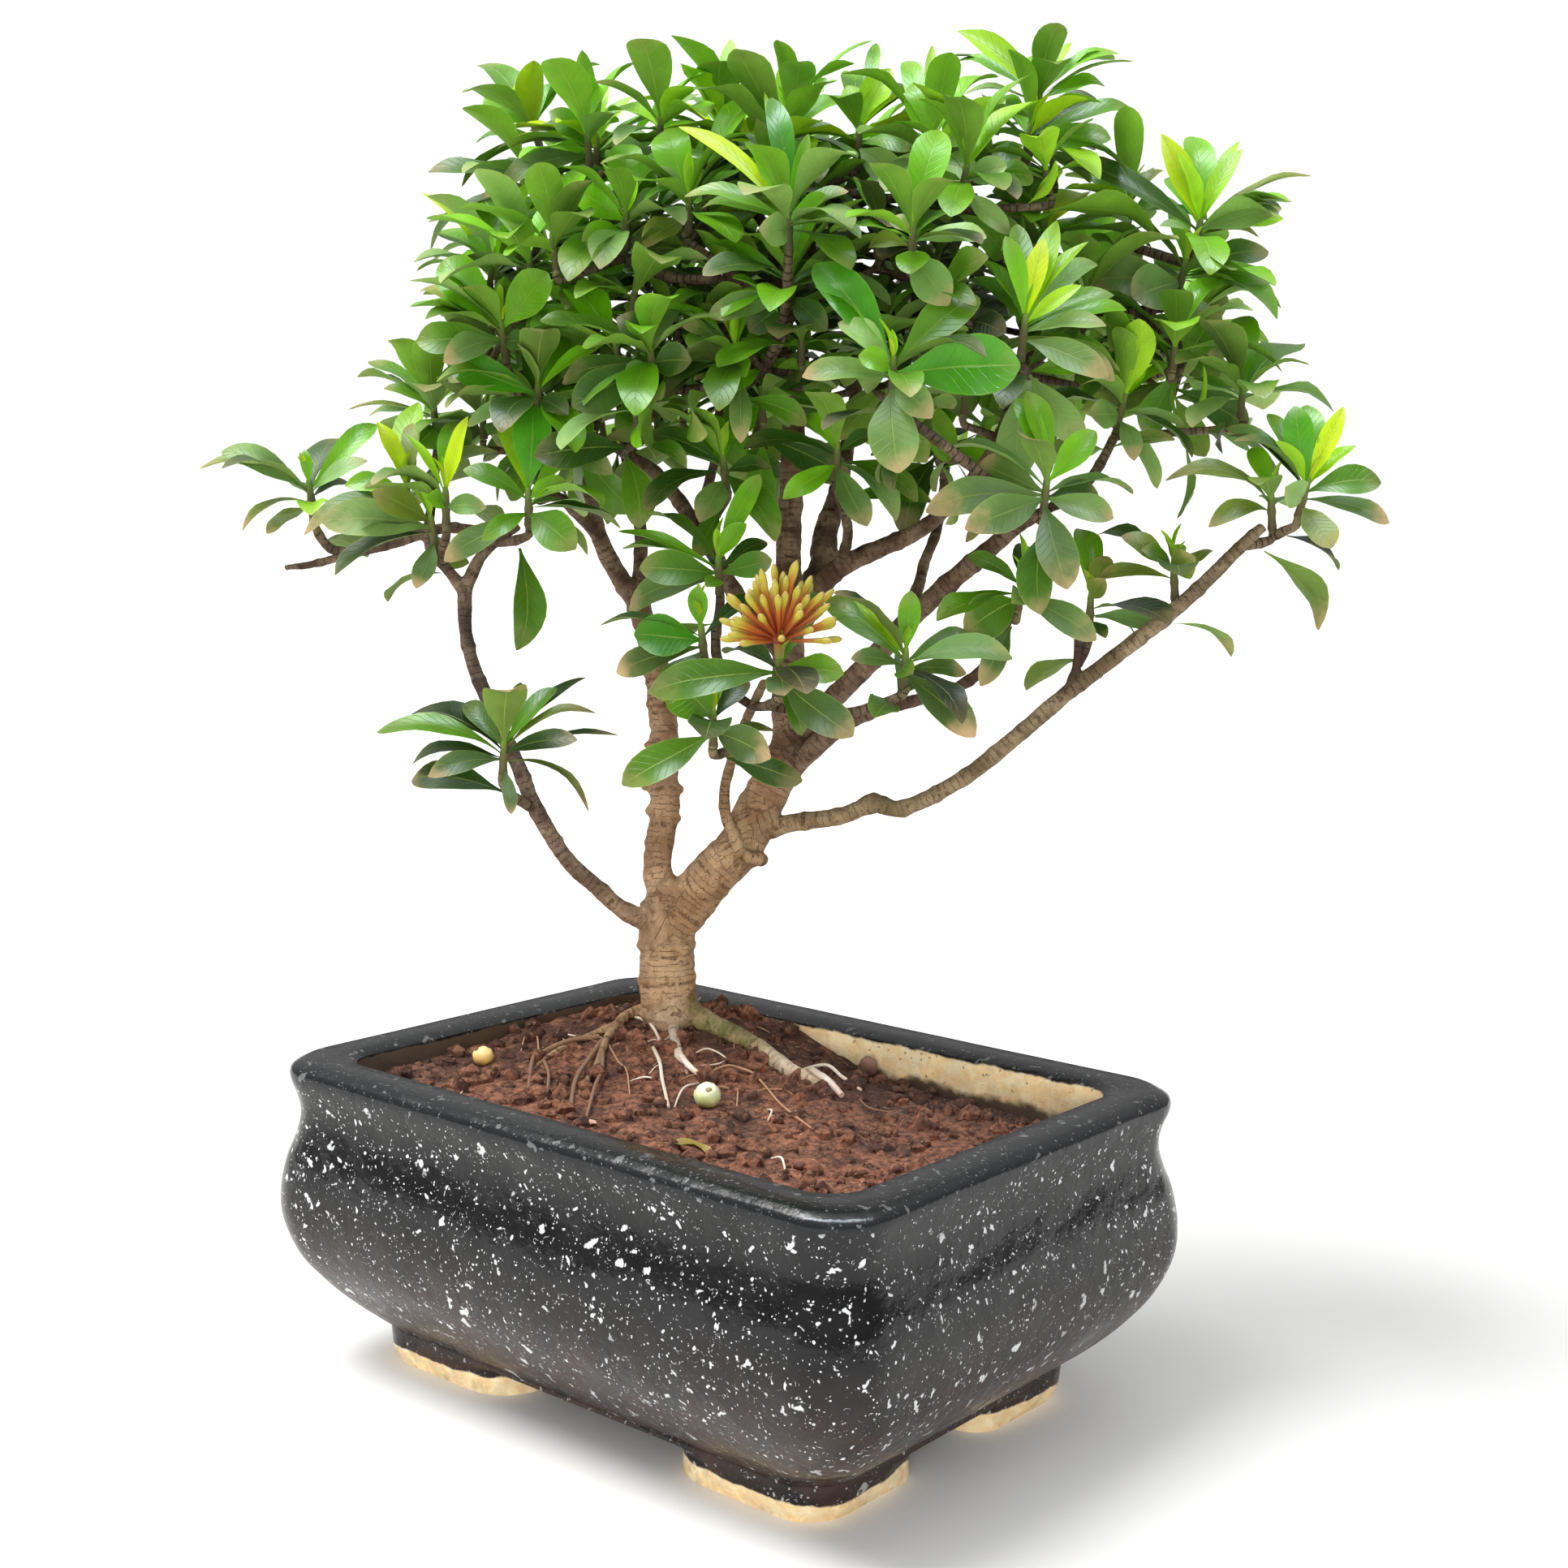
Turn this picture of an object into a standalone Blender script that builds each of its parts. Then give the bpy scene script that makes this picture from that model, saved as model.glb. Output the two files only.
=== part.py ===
"""An ixora bonsai in a speckled tray pot: pot, soil, wood, leafy shoots and one head of buds."""
import bpy
import bmesh
import math
import random
from mathutils import Matrix, Vector
from mathutils.bvhtree import BVHTree

# The plant was measured on a drawing that faces an eye point in front of the pot.
# A point on it is millimetres across and up, and millimetres nearer than the trunk.
EYE = Vector((0.5523, -0.6228, 0.3554))
LOOK_TURN = math.radians(40.0)
LOOK_DOWN = math.radians(7.77)
LOOK_ROLL = math.radians(0.78)
DRAWING_AT = 0.879
TRUNK_AT = 0.919
MM = 0.001

LOOK = Vector((
    -math.sin(LOOK_TURN) * math.cos(LOOK_DOWN),
    math.cos(LOOK_TURN) * math.cos(LOOK_DOWN),
    -math.sin(LOOK_DOWN),
))
LEVEL = Vector((math.cos(LOOK_TURN), math.sin(LOOK_TURN), 0.0))
OVER = LEVEL.cross(LOOK)
RIGHT = LEVEL * math.cos(LOOK_ROLL) + OVER * math.sin(LOOK_ROLL)
ABOVE = OVER * math.cos(LOOK_ROLL) - LEVEL * math.sin(LOOK_ROLL)
UP = Vector((0.0, 0.0, 1.0))

# Woody stems: points of across, up, nearer and radius, all in millimetres.
BRANCHES = {
    "left_stem": [(-49, -53, 0, 6.5), (-52, -36, -2, 6.2), (-51, -24, -4, 5.9), (-49, -10, -6, 6.4),
                  (-49, 5, -8, 5.6), (-50, 31, -12, 6.2), (-54, 55, -16, 5.4), (-61, 77, -20, 4.8)],
    "main_stem": [(-46, -58, 0, 10.5), (-37, -46, 2, 10.8), (-30, -38, 4, 10.4), (-18, -25, 6, 10.0),
                  (-10, -9, 6, 9.6), (-3, 4, 5, 9.2), (3, 18, 4, 8.4), (2, 37, 2, 7.4),
                  (2, 62, 0, 6.5), (2, 97, -2, 5.4), (3, 122, 0, 5.2), (4, 155, 2, 5.0),
                  (1, 175, 4, 4.8), (-3, 205, 6, 3.8), (-4, 225, 8, 2.6)],
    "right_low": [(-10, -19, 8, 5.0), (3, -16, 12, 4.0), (24, -13, 20, 3.6), (37, -8, 25, 4.1),
                  (49, -10, 30, 3.5), (73, 2, 40, 3.4), (96, 20, 50, 3.4), (116, 37, 56, 3.4),
                  (150, 63, 66, 3.3), (170, 80, 72, 3.0), (188, 98, 76, 2.6), (197, 106, 78, 2.2)],
    "left_low": [(-52, -59, 2, 5.0), (-67, -51, 10, 3.8), (-75, -44, 15, 3.6), (-89, -31, 22, 3.4),
                 (-102, -10, 28, 3.4), (-109, 7, 32, 3.3), (-122, 35, 34, 3.1), (-128, 50, 34, 2.9),
                 (-131, 65, 33, 2.9), (-131, 81, 32, 3.2)],
    "fork_right": [(-131, 79, 32, 3.0), (-126, 91, 33, 2.6), (-119, 99, 34, 2.2), (-109, 106, 38, 2.0)],
    "fork_left": [(-131, 79, 32, 3.0), (-139, 89, 30, 2.4), (-145, 95, 28, 2.2), (-146, 105, 27, 2.3)],
    "level_twig": [(-122, 104, 28, 1.8), (-140, 105, 27, 2.4), (-159, 99, 26, 2.2), (-175, 95, 24, 2.0),
                   (-195, 90, 22, 1.8), (-205, 89, 21, 1.3)],
    "left_arch": [(-61, 75, -20, 4.6), (-70, 89, -20, 4.1), (-76, 102, -18, 3.8), (-80, 119, -14, 3.5),
                  (-81, 135, -10, 3.3), (-77, 152, -6, 2.7), (-74, 168, 0, 2.2)],
    "left_arm": [(-76, 102, -18, 3.0), (-85, 111, -8, 2.6), (-93, 118, 2, 2.3), (-101, 116, 14, 2.0)],
    "left_back": [(-60, 75, -20, 3.6), (-59, 92, -30, 3.2), (-59, 105, -34, 3.0), (-63, 122, -38, 2.8),
                  (-65, 137, -40, 2.6), (-67, 155, -42, 2.3), (-69, 180, -45, 2.0)],
    "cross_arm": [(1, 52, -2, 4.2), (-19, 77, 4, 3.6), (-32, 100, 8, 3.4), (-51, 126, 10, 3.0),
                  (-64, 135, 12, 2.4), (-77, 143, 14, 2.0)],
    "dark_twig": [(-32, 98, 8, 2.6), (-33, 115, 6, 2.3), (-28, 135, 4, 2.1), (-26, 160, 12, 1.9)],
    "right_arm": [(4, 70, 2, 5.0), (22, 88, 8, 4.5), (40, 97, 14, 4.0), (57, 105, 20, 3.4),
                  (75, 122, 26, 3.0), (88, 142, 32, 2.6), (98, 168, 44, 2.3)],
    "right_bough": [(3, 18, 5, 5.2), (25, 40, 14, 4.7), (40, 55, 20, 4.5), (55, 71, 28, 4.3),
                    (79, 92, 40, 4.1), (95, 105, 50, 3.0), (107, 112, 64, 2.3)],
    "thin_upright": [(44, 58, 16, 3.0), (54, 78, 2, 2.8), (58, 92, -8, 2.5), (63, 105, -16, 2.3),
                     (66, 125, -24, 2.2), (67, 145, -32, 2.0), (71, 172, -42, 1.8)],
    "back_stem": [(3, 66, -4, 6.2), (15, 87, -14, 6.0), (17, 103, -20, 5.4), (22, 119, -26, 4.2),
                  (26, 139, -32, 3.4), (30, 162, -40, 2.6), (34, 190, -46, 2.2)],
    "low_arm": [(0, 4, 6, 5.6), (18, 20, 16, 4.3), (29, 27, 22, 3.6), (42, 32, 28, 3.0),
                (53, 34, 32, 2.7), (70, 39, 38, 2.5), (83, 49, 42, 2.4), (92, 68, 50, 2.2)],
    "wrapping": [(-14, -31, 4, 3.4), (-9, -31, 12, 3.0), (-13, -30.5, 17, 2.7), (-18, -28, 18.5, 2.6),
                 (-21, -20, 18, 2.6), (-24, -13, 16, 2.5), (-24.5, -3, 16, 2.4), (-22, 8, 24, 2.2),
                 (-18, 20, 40, 2.1), (-13, 32, 60, 2.0), (-8, 42, 78, 1.9)],
    "stub": [(116, 37, 56, 2.4), (120, 48, 56, 1.9), (121, 61, 57, 1.7)],
}

# Leafy shoots. A shoot has the place of its whorl, its lean across and toward the eye, how many
# leaves the rule adds, and the leaves that were measured one by one: the tip's place from the whorl,
# across, up and nearer, the blade's width, how far it turns to the eye, and its tone.
# Tones: y young, l lime, b bright, g glossy, m middle, p pale, v olive, d dark, o old.
SHOOTS = [
    ("far_left", (-195, 123, 25), (-0.1, 0.1), 1, [
        (-35, 16, 8, 12, .6, "p"), (-34, 12, -12, 9, .5, "o"), (-45, 7, 10, 11, .3, "v", .18),
        (-28, -16, 15, 8, .2, "v", .16), (-18, -19, 5, 9, .4, "v"), (1, -12, 20, 13, .8, "l"),
        (-2, 14, 5, 5, .4, "b"), (27, 26, -8, 12, .6, "p"), (22, 11, 8, 9, .5, "p"),
        (15, 2, -18, 7, .3, "d")]),
    ("lime_pair", (-155, 122, 30), (-0.1, 0.1), 1, [
        (-12, 27, 3, 8, .5, "y"), (-24, 3, 12, 10, .5, "b"), (-17, -2, -14, 9, .4, "d"),
        (2, 27, -8, 8, .4, "v"), (0, 14, -14, 9, .5, "m"), (-42, -16, 14, 9, .4, "o", .18)]),
    ("low_glossy", (-145, 109, 36), (-0.1, 0.3), 0, [
        (-44, 0, 10, 16, .8, "p"), (-24, 11, 20, 14, .6, "v"), (-6, -28, 8, 9, .8, "o")]),
    ("lime_fork", (-139, 120, 42), (0.0, 0.1), 1, [
        (-16, 24, 5, 5, .4, "l"), (9, 31, 6, 8, .6, "y"), (4, 30, -10, 12, .8, "p"),
        (-7, -2, 15, 8, .6, "b"), (15, -6, 14, 9, .8, "o")]),
    ("left_glossy", (-105, 120, 48), (0.0, 0.1), 1, [
        (2, 36, -6, 16, .9, "g"), (-13, 36, -14, 12, .8, "p"), (26, 32, -12, 14, .8, "p"),
        (-18, -18, 16, 8, .6, "b"), (-26, 10, 8, 10, .6, "m"), (14, 5, 12, 8, .6, "b"),
        (18, -22, 14, 16, .9, "m"), (25, -25, -2, 14, -.4, "d"), (-35, -27, 4, 11, .7, "o")]),
    ("left_olive", (-144, 156, 0), (-0.1, 0.0), 3, [
        (-20, 7, 8, 9, .4, "m"), (-35, -1, 0, 6, .2, "v"), (-27, -3, -10, 6, .3, "p"),
        (2, 16, 0, 6, .5, "y"), (12, 12, 5, 12, .5, "v"), (-7, -17, 12, 17, .9, "m"),
        (18, -11, 6, 14, .8, "d")]),
    ("low_left", (-115, 17, 50), (0.05, 0.1), 0, [
        (-52, 5, 8, 11, .4, "b", .18), (-39, -4, -14, 9, .3, "d"), (-30, -12, 16, 10, .6, "o"),
        (-16, 18, -8, 9, .7, "m"), (-25, 16, -20, 5, .3, "d"), (21, 23, -4, 9, .5, "b"),
        (33, 28, -16, 6, .3, "d"), (7, 25, -14, 6, .5, "d"), (35, 16, 4, 8, .3, "v"),
        (30, 1, 14, 10, .6, "d"), (47, 4, -6, 6, .2, "d"), (36, -24, 5, 5, .2, "v", .2),
        (3, -29, 8, 6, .3, "o")]),
    ("crown_left", (-77, 265, 10), (-0.05, 0.1), 3, [
        (-6, 36, 6, 10, -.8, "p"), (-2, 24, 12, 5, .6, "l"), (4, 24, -6, 7, .5, "l"),
        (15, 17, -6, 7, .5, "l"), (-18, 11, 14, 12, .8, "m"), (-27, 5, 4, 8, .5, "d"),
        (-39, -15, 14, 12, .5, "o"), (-11, 21, -12, 13, .8, "d"), (-42, -3, -8, 9, .3, "d"),
        (21, 2, 6, 8, .5, "p"), (22, -8, 10, 9, .6, "m")]),
    ("crown_corner", (-103, 271, -15), (-0.3, 0.0), 2, [
        (-7, 17, 4, 11, .9, "y"), (-20, 13, 0, 15, .9, "b"), (9, 17, -6, 10, .6, "m"),
        (-24, -6, -6, 10, .4, "m")]),
    ("left_dark", (-105, 251, 5), (-0.3, 0.1), 3, [
        (-41, 2, 4, 12, .4, "d"), (-43, -27, -4, 11, .3, "d"), (-18, -8, 10, 8, .4, "v"),
        (13, -3, 14, 8, -.5, "o"), (17, -15, 12, 12, -.6, "o")]),
    ("left_broad", (-116, 189, 45), (-0.1, 0.2), 2, [
        (-24, 27, -4, 22, .9, "m"), (19, 21, 6, 17, .9, "b"), (-34, 17, -14, 8, .4, "v"),
        (-35, -7, -4, 15, .7, "m"), (-23, -14, 14, 12, .6, "o"), (12, -8, 12, 10, .7, "d")]),
    ("left_upright", (-118, 212, 10), (-0.1, 0.1), 2, [
        (18, 40, 4, 7, .5, "l"), (-31, 31, -6, 6, .4, "y"), (-4, 25, -10, 14, .9, "p"),
        (11, 24, 8, 13, .9, "p"), (20, 19, 12, 6, .5, "b"), (-31, 6, -12, 6, .2, "v")]),
    ("bright_low", (-65, 234, 55), (0.0, 0.2), 5, [
        (-21, 11, 6, 14, .8, "b"), (-17, -11, 16, 14, .7, "b"), (4, 16, 2, 9, .7, "p"),
        (13, 10, -5, 7, .5, "p")]),
    ("pale_tall", (-39, 241, 65), (0.0, 0.2), 5, [
        (-9, 30, -4, 16, .9, "b"), (-18, -19, 12, 12, .5, "v"), (-14, 12, 10, 8, .5, "p")]),
    ("tall_front", (2, 235, 92), (0.0, 0.2), 3, [
        (-7, 48, -2, 10, .7, "g"), (-10, 50, -14, 4, .5, "l"), (8, 32, 8, 5, .5, "b"),
        (-45, 36, -4, 8, .5, "y"), (15, 7, 12, 7, .6, "b"), (18, -1, 6, 8, .5, "m"),
        (-12, -7, 18, 13, .9, "p"), (-41, 11, 6, 8, .4, "m"), (-36, 5, -10, 9, .4, "m"),
        (24, 9, 4, 9, .5, "o")]),
    ("under_front", (3, 209, 72), (0.0, 0.4), 5, [
        (-34, -17, 14, 11, .6, "o"), (23, 13, 5, 7, .3, "o"), (-20, -26, 8, 10, .7, "d"),
        (14, -22, 10, 11, .7, "d")]),
    ("lime_top", (-25, 270, 20), (0.0, 0.1), 3, [
        (3, 36, -6, 10, .7, "l"), (-5, 28, 4, 10, .7, "l"), (14, 9, 6, 9, .6, "l"),
        (-1, 25, 14, 9, .6, "y"), (9, 5, 16, 9, .7, "p"), (-29, 4, -4, 5, .2, "p"),
        (-10, -3, 15, 12, .6, "m")]),
    ("mid_top", (4, 272, 35), (0.0, 0.1), 3, [
        (-1, 27, 0, 12, .8, "l"), (7, 17, 8, 5, .6, "p"), (31, 35, -6, 5, .1, "m"),
        (13, 18, 6, 8, .6, "b"), (19, 10, -6, 9, .5, "b"), (-9, 18, -14, 4, .2, "v")]),
    ("lime_right", (31, 270, 38), (0.05, 0.1), 2, [
        (13, 24, 2, 13, .8, "l"), (-5, 17, -4, 10, .6, "l"), (7, 35, -14, 6, .5, "b"),
        (3, 23, -20, 9, .5, "d"), (19, 18, -8, 9, .5, "d"), (-25, -2, 10, 9, .4, "m"),
        (20, -8, 12, 9, .5, "m"), (19, -25, 24, 13, .8, "o")]),
    ("tall_right", (53, 229, 108), (0.0, 0.2), 3, [
        (11, 41, -2, 15, .9, "b"), (30, -4, 8, 10, .5, "p"), (-1, -19, 14, 13, .8, "b"),
        (14, -31, 6, 15, .9, "o"), (-9, 4, -4, 7, .5, "v"), (-19, -7, -10, 9, .5, "v")]),
    ("pale_right", (60, 263, 62), (0.05, 0.1), 4, [
        (-7, 25, 6, 17, .9, "p"), (31, 18, -4, 14, .8, "l"), (1, 41, -20, 5, .4, "l"),
        (-9, 38, -16, 11, .6, "m"), (19, -12, 12, 12, .6, "p"), (22, 2, 14, 9, .5, "m")]),
    ("crown_right", (105, 285, 30), (0.05, 0.0), 0, [
        (-34, 24, 6, 13, .6, "l"), (-33, 16, -6, 8, .5, "b"), (13, 20, -4, 7, .5, "p"),
        (32, 18, -4, 8, .4, "b"), (38, 13, 2, 5, .1, "m"), (27, 4, -6, 10, .5, "b"),
        (-30, 1, 10, 7, .3, "p"), (-43, 17, -12, 5, .1, "d"), (0, 14, 8, 6, .6, "l")]),
    ("under_crown", (101, 269, 45), (0.1, 0.1), 3, [
        (33, -3, 8, 13, .6, "m"), (-15, -12, 12, 9, .5, "m"), (43, 12, -8, 8, .5, "m"),
        (27, 13, -12, 14, .6, "d"), (27, -8, -10, 12, .5, "d")]),
    ("lime_corner", (171, 231, 40), (0.15, 0.1), 0, [
        (-16, 36, 6, 11, .7, "y"), (-3, 37, -8, 14, .7, "b"), (-9, 29, 12, 8, .6, "l"),
        (17, 30, 2, 9, .5, "l"), (16, 33, -12, 7, .4, "p"), (45, 21, -4, 8, .2, "v"),
        (33, 6, 12, 12, .7, "p"), (34, 1, -10, 12, .6, "l"), (24, -4, 4, 9, .3, "v"),
        (-53, 27, 8, 12, .6, "d"), (-16, -1, 12, 5, .4, "p"), (-14, 19, -14, 9, .6, "p")]),
    ("right_broad", (165, 214, 40), (0.2, 0.2), 2, [
        (-22, -14, 14, 20, .9, "o"), (-39, -6, 2, 18, .8, "o"), (35, -8, 10, 12, .5, "m"),
        (40, -16, 0, 10, .4, "m"), (34, 5, -10, 12, .5, "d"), (14, -40, 10, 12, .7, "o")]),
    ("right_hanging", (171, 196, 22), (0.3, 0.1), 2, [
        (6, -30, 4, 12, .7, "m"), (24, -28, 0, 12, .6, "m"), (-4, -33, -10, 9, .4, "d")]),
    ("lime_middle", (99, 191, 95), (0.05, 0.2), 2, [
        (8, 33, -2, 9, .8, "y"), (-8, 34, 4, 10, .7, "m"), (23, 14, 8, 7, .6, "l"),
        (36, 12, 2, 8, .5, "m"), (33, -1, 6, 9, .5, "p"), (33, -22, 12, 12, .8, "o"),
        (38, -23, -4, 12, .5, "o"), (13, 41, -12, 12, .5, "m"), (42, 6, -12, 8, .4, "b"),
        (26, 32, -6, 6, .3, "l"), (30, 26, -14, 9, .6, "p")]),
    ("big_pair", (45, 174, 110), (0.0, 0.3), 1, [
        (52, -2, 8, 23, .9, "g"), (-32, 41, -2, 17, .7, "g"), (-22, 16, 6, 12, .5, "p"),
        (35, 28, -4, 16, .7, "m"), (-14, 2, 10, 10, .6, "b"), (-37, -5, 2, 11, .6, "o"),
        (14, -22, 12, 12, .9, "o"), (2, -46, 10, 19, .95, "o")]),
    ("young_right", (142, 239, 30), (0.05, 0.1), 4, [
        (-2, 33, 0, 8, .7, "y"), (13, 15, -4, 5, .3, "v"), (-14, 13, 8, 11, .7, "b"),
        (12, 0, 10, 10, .5, "m"), (-6, -5, 14, 9, .5, "p")]),
    ("low_right", (108, 125, 88), (0.05, 0.3), 2, [
        (-12, 34, 2, 9, .6, "b"), (20, 20, 4, 12, .7, "b"), (-28, 7, -8, 15, .7, "o"),
        (-32, -19, 14, 15, .8, "o"), (-48, -10, 0, 15, .6, "o"), (8, -44, 10, 16, .9, "o"),
        (27, -15, 6, 12, .7, "o"), (22, -8, -10, 12, .5, "d")]),
    ("right_drooping", (140, 160, 55), (0.2, 0.1), 3, [
        (4, -26, 8, 9, .6, "o"), (14, -38, 0, 8, .5, "p"), (-14, -8, 10, 12, .7, "o"),
        (25, -13, -4, 7, .4, "p"), (9, 13, 4, 10, .6, "l"), (17, 14, -6, 8, .4, "b")]),
    ("far_right", (215, 124, 82), (0.2, 0.1), 0, [
        (-30, 22, -4, 7, .3, "d"), (-32, 26, -14, 8, .4, "p"), (-16, 29, -14, 10, .6, "p"),
        (0, 32, -6, 14, .9, "m"), (-5, 31, 6, 12, .9, "g"), (15, 31, 4, 8, .7, "y"),
        (20, 15, 2, 7, .5, "l"), (30, 1, 8, 12, .7, "m"), (34, -16, 2, 9, .5, "o"),
        (10, -27, 12, 13, .6, "v"), (-9, -2, 14, 12, .9, "p"), (-13, 17, 10, 10, .5, "d")]),
    ("right_arching", (200, 119, 76), (-0.1, 0.1), 0, [
        (-42, 8, 6, 12, .4, "v", .22), (-25, -12, 8, 9, .5, "v", .18), (-8, 20, -6, 10, .7, "p")]),
    ("olive_small", (160, 90, 68), (-0.1, 0.1), 0, [
        (-21, 12, 4, 11, .6, "v"), (-31, -3, -6, 8, .4, "v"), (8, 3, 8, 13, .9, "v"),
        (-12, 7, 10, 8, .5, "m"), (3, 9, -4, 6, .5, "b"), (16, 6, -4, 8, .3, "v")]),
    ("olive_twig", (126, 77, 58), (0.0, 0.1), 0, [
        (5, 7, 8, 9, .7, "v"), (7, 17, -4, 9, .6, "v"), (27, -13, 4, 9, .5, "p"),
        (19, -13, -6, 5, .2, "d"), (6, -16, 6, 6, .4, "d")]),
    ("low_fresh", (98, 85, 68), (0.1, 0.2), 0, [
        (30, -25, 12, 12, .7, "o"), (14, -14, -4, 8, .5, "v"), (-23, -22, 8, 18, .9, "m"),
        (-3, -9, 14, 10, .8, "b"), (-22, 9, 6, 9, .5, "m"), (9, 11, -6, 8, .5, "v")]),
    ("beside_bloom", (50, 54, 85), (0.05, 0.2), 0, [
        (2, 25, 6, 9, .8, "b"), (-22, 23, 4, 8, .6, "p"), (43, 1, 6, 12, .5, "p"),
        (28, 8, -10, 10, .5, "m"), (28, -33, 10, 14, .8, "o"), (2, -8, 18, 9, .9, "b"),
        (-22, -2, 8, 8, .5, "o"), (-33, 23, -14, 14, .8, "m"), (25, -8, -4, 10, .5, "o")]),
    ("bloom_collar", (-2, 52, 88), (0.0, 0.3), 0, [
        (-53, -12, 8, 15, .7, "m"), (26, -6, 14, 12, .6, "b"), (2, -15, 16, 13, .8, "o"),
        (30, -32, 10, 16, .9, "o"), (10, -31, -8, 8, .3, "m"), (16, 30, -24, 10, .8, "b")]),
    ("left_of_bloom", (-34, 64, 72), (-0.1, 0.2), 0, [
        (-27, -2, 8, 17, .8, "g"), (-2, 17, 6, 8, .6, "b"), (-35, -18, -4, 12, .6, "o"),
        (-17, -28, 8, 13, .7, "m")]),
    ("over_bloom", (-27, 92, 58), (-0.05, 0.1), 1, [
        (-41, 12, 4, 8, .4, "b"), (-32, -3, 12, 15, .7, "m"), (17, 35, 0, 12, .6, "m"),
        (11, 15, 12, 9, .6, "b"), (20, 8, -12, 8, .5, "d"), (-38, -18, -6, 12, .6, "o"),
        (-5, -11, 15, 7, .5, "b"), (22, 0, 2, 11, .7, "m")]),
    ("below_bloom", (-29, 29, 78), (0.0, 0.2), 0, [
        (-37, -28, 8, 15, .8, "m"), (-18, 13, 12, 20, .8, "b"), (23, -18, 14, 14, .9, "o"),
        (0, 18, -6, 8, .6, "b"), (14, 14, -8, 10, .5, "d"), (26, -7, -8, 6, .3, "v")]),
    ("under_right", (22, 139, 52), (0.0, 0.4), 3, [
        (-21, -20, 10, 10, .7, "b"), (12, -33, 12, 12, .8, "o"), (-12, 14, -6, 9, .5, "d"),
        (15, 5, 8, 9, .5, "d")]),
    ("under_middle", (-20, 179, 62), (-0.1, 0.3), 4, [
        (2, -37, 6, 9, .6, "o"), (3, -10, 14, 11, .8, "b"), (-17, -13, 4, 6, .3, "v"),
        (-8, -16, -6, 12, .6, "o"), (-22, 11, 8, 8, .5, "o")]),
    ("under_left", (-55, 180, 70), (-0.1, 0.3), 4, [
        (-32, -25, 10, 17, .8, "d"), (-8, -17, 14, 14, .9, "o"), (-37, -13, -6, 12, .5, "d"),
        (-12, 12, 10, 13, .6, "d"), (16, -6, 8, 14, .8, "d")]),
    ("left_inner", (-101, 164, 45), (0.0, 0.3), 2, [
        (-37, 10, 8, 15, .7, "g"), (-29, -16, 12, 8, .4, "p"), (27, 17, 10, 8, .5, "b"),
        (-8, 17, 12, 7, .4, "o"), (12, -12, 10, 10, .6, "d")]),
    ("inner_dark", (-25, 134, 38), (-0.1, 0.3), 3, [
        (-9, -25, 10, 12, .8, "o"), (-30, 10, 4, 12, .5, "d"), (-7, 18, -6, 14, .7, "d"),
        (8, 13, 6, 6, .4, "b"), (18, -3, 6, 9, .5, "d"), (-50, 11, -6, 9, .5, "o")]),
    ("right_inner", (75, 254, 82), (0.1, 0.2), 5, [
        (16, 0, 10, 11, .8, "p"), (17, -27, 6, 9, .7, "p"), (-12, -8, 12, 10, .6, "m"),
        (28, -4, -6, 12, .6, "m")]),
    ("back_left", (-80, 215, -62), (-0.2, -0.3), 9, []),
    ("back_middle", (-15, 250, -75), (0.0, -0.3), 9, []),
    ("back_right", (70, 245, -78), (0.1, -0.3), 9, []),
    ("back_low", (120, 205, -60), (0.2, -0.3), 9, []),
]
STEM_BELOW = 13.0 * MM
STEM_ABOVE = 2.0 * MM
STEM_RADIUS = 1.7 * MM
TWIG_END_RADIUS = 1.8 * MM
FIT_GAP = 0.3 * MM
CLEARANCE = 0.45 * MM
SEED = 4071

LEAF_ROOT_HALF = 0.8 * MM
LEAF_HALF_THICK = 0.5 * MM
LEAF_FOLD = 0.10
LEAF_BOW = 0.09
LEAF_STATIONS = ((0.36, 0.66), (0.73, 1.0))
NARROW_STATIONS = ((0.62, 1.0),)
WIDE_LEAF = 16.5 * MM
ROOT_OUT = 0.5 * MM
LEAF_END_SHARE = 0.42
FILL_LENGTH = (34.0 * MM, 45.0 * MM)
FILL_WIDTH_SHARE = 0.36
FILL_TRIES = 16
FILL_TILT = (98.0, 62.0)
GOLDEN_TURN = math.radians(137.5)
SMALL_TURN = math.radians(70.0)
TWIG_START = (0.85, 2.6 * MM)
TWIG_MIDDLE = 2.1 * MM
TWIG_STRAIGHT = 4.0 * MM
TWIG_BEND = 0.38
TWIG_SHORTEST = 7.0 * MM
TWIG_RISE = 6.0 * MM
TWIG_COSTS = (0.35, 2.5)
TWIG_CHOICES = 24
KEPT_CLEAR = 1.06
STEM_KEPT_CLEAR = 1.1
BUD_KEPT_CLEAR = 0.2 * MM
ROOT_DROP = (0.9, 6.0, 11.0)
DEPTH_TRIES = (0, 5, -5, 10, -10, 16, -16, 23, -23, 30, -30)
LENGTH_TRIES = (1.0, 0.88, 0.76)
TOWARD_EYE = Vector((math.sin(LOOK_TURN), -math.cos(LOOK_TURN), 0.0))


def drawn(across, up, nearer):
    """The place in the pot's frame of a point that was measured on the drawing."""
    on_drawing = LOOK * DRAWING_AT + RIGHT * (across * MM) + ABOVE * (up * MM)
    return EYE + on_drawing * ((TRUNK_AT - nearer * MM) / DRAWING_AT)


def square_to(vector, along):
    """The part of a vector that is square to a unit direction, as a unit vector."""
    return (vector - along * vector.dot(along)).normalized()


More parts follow.
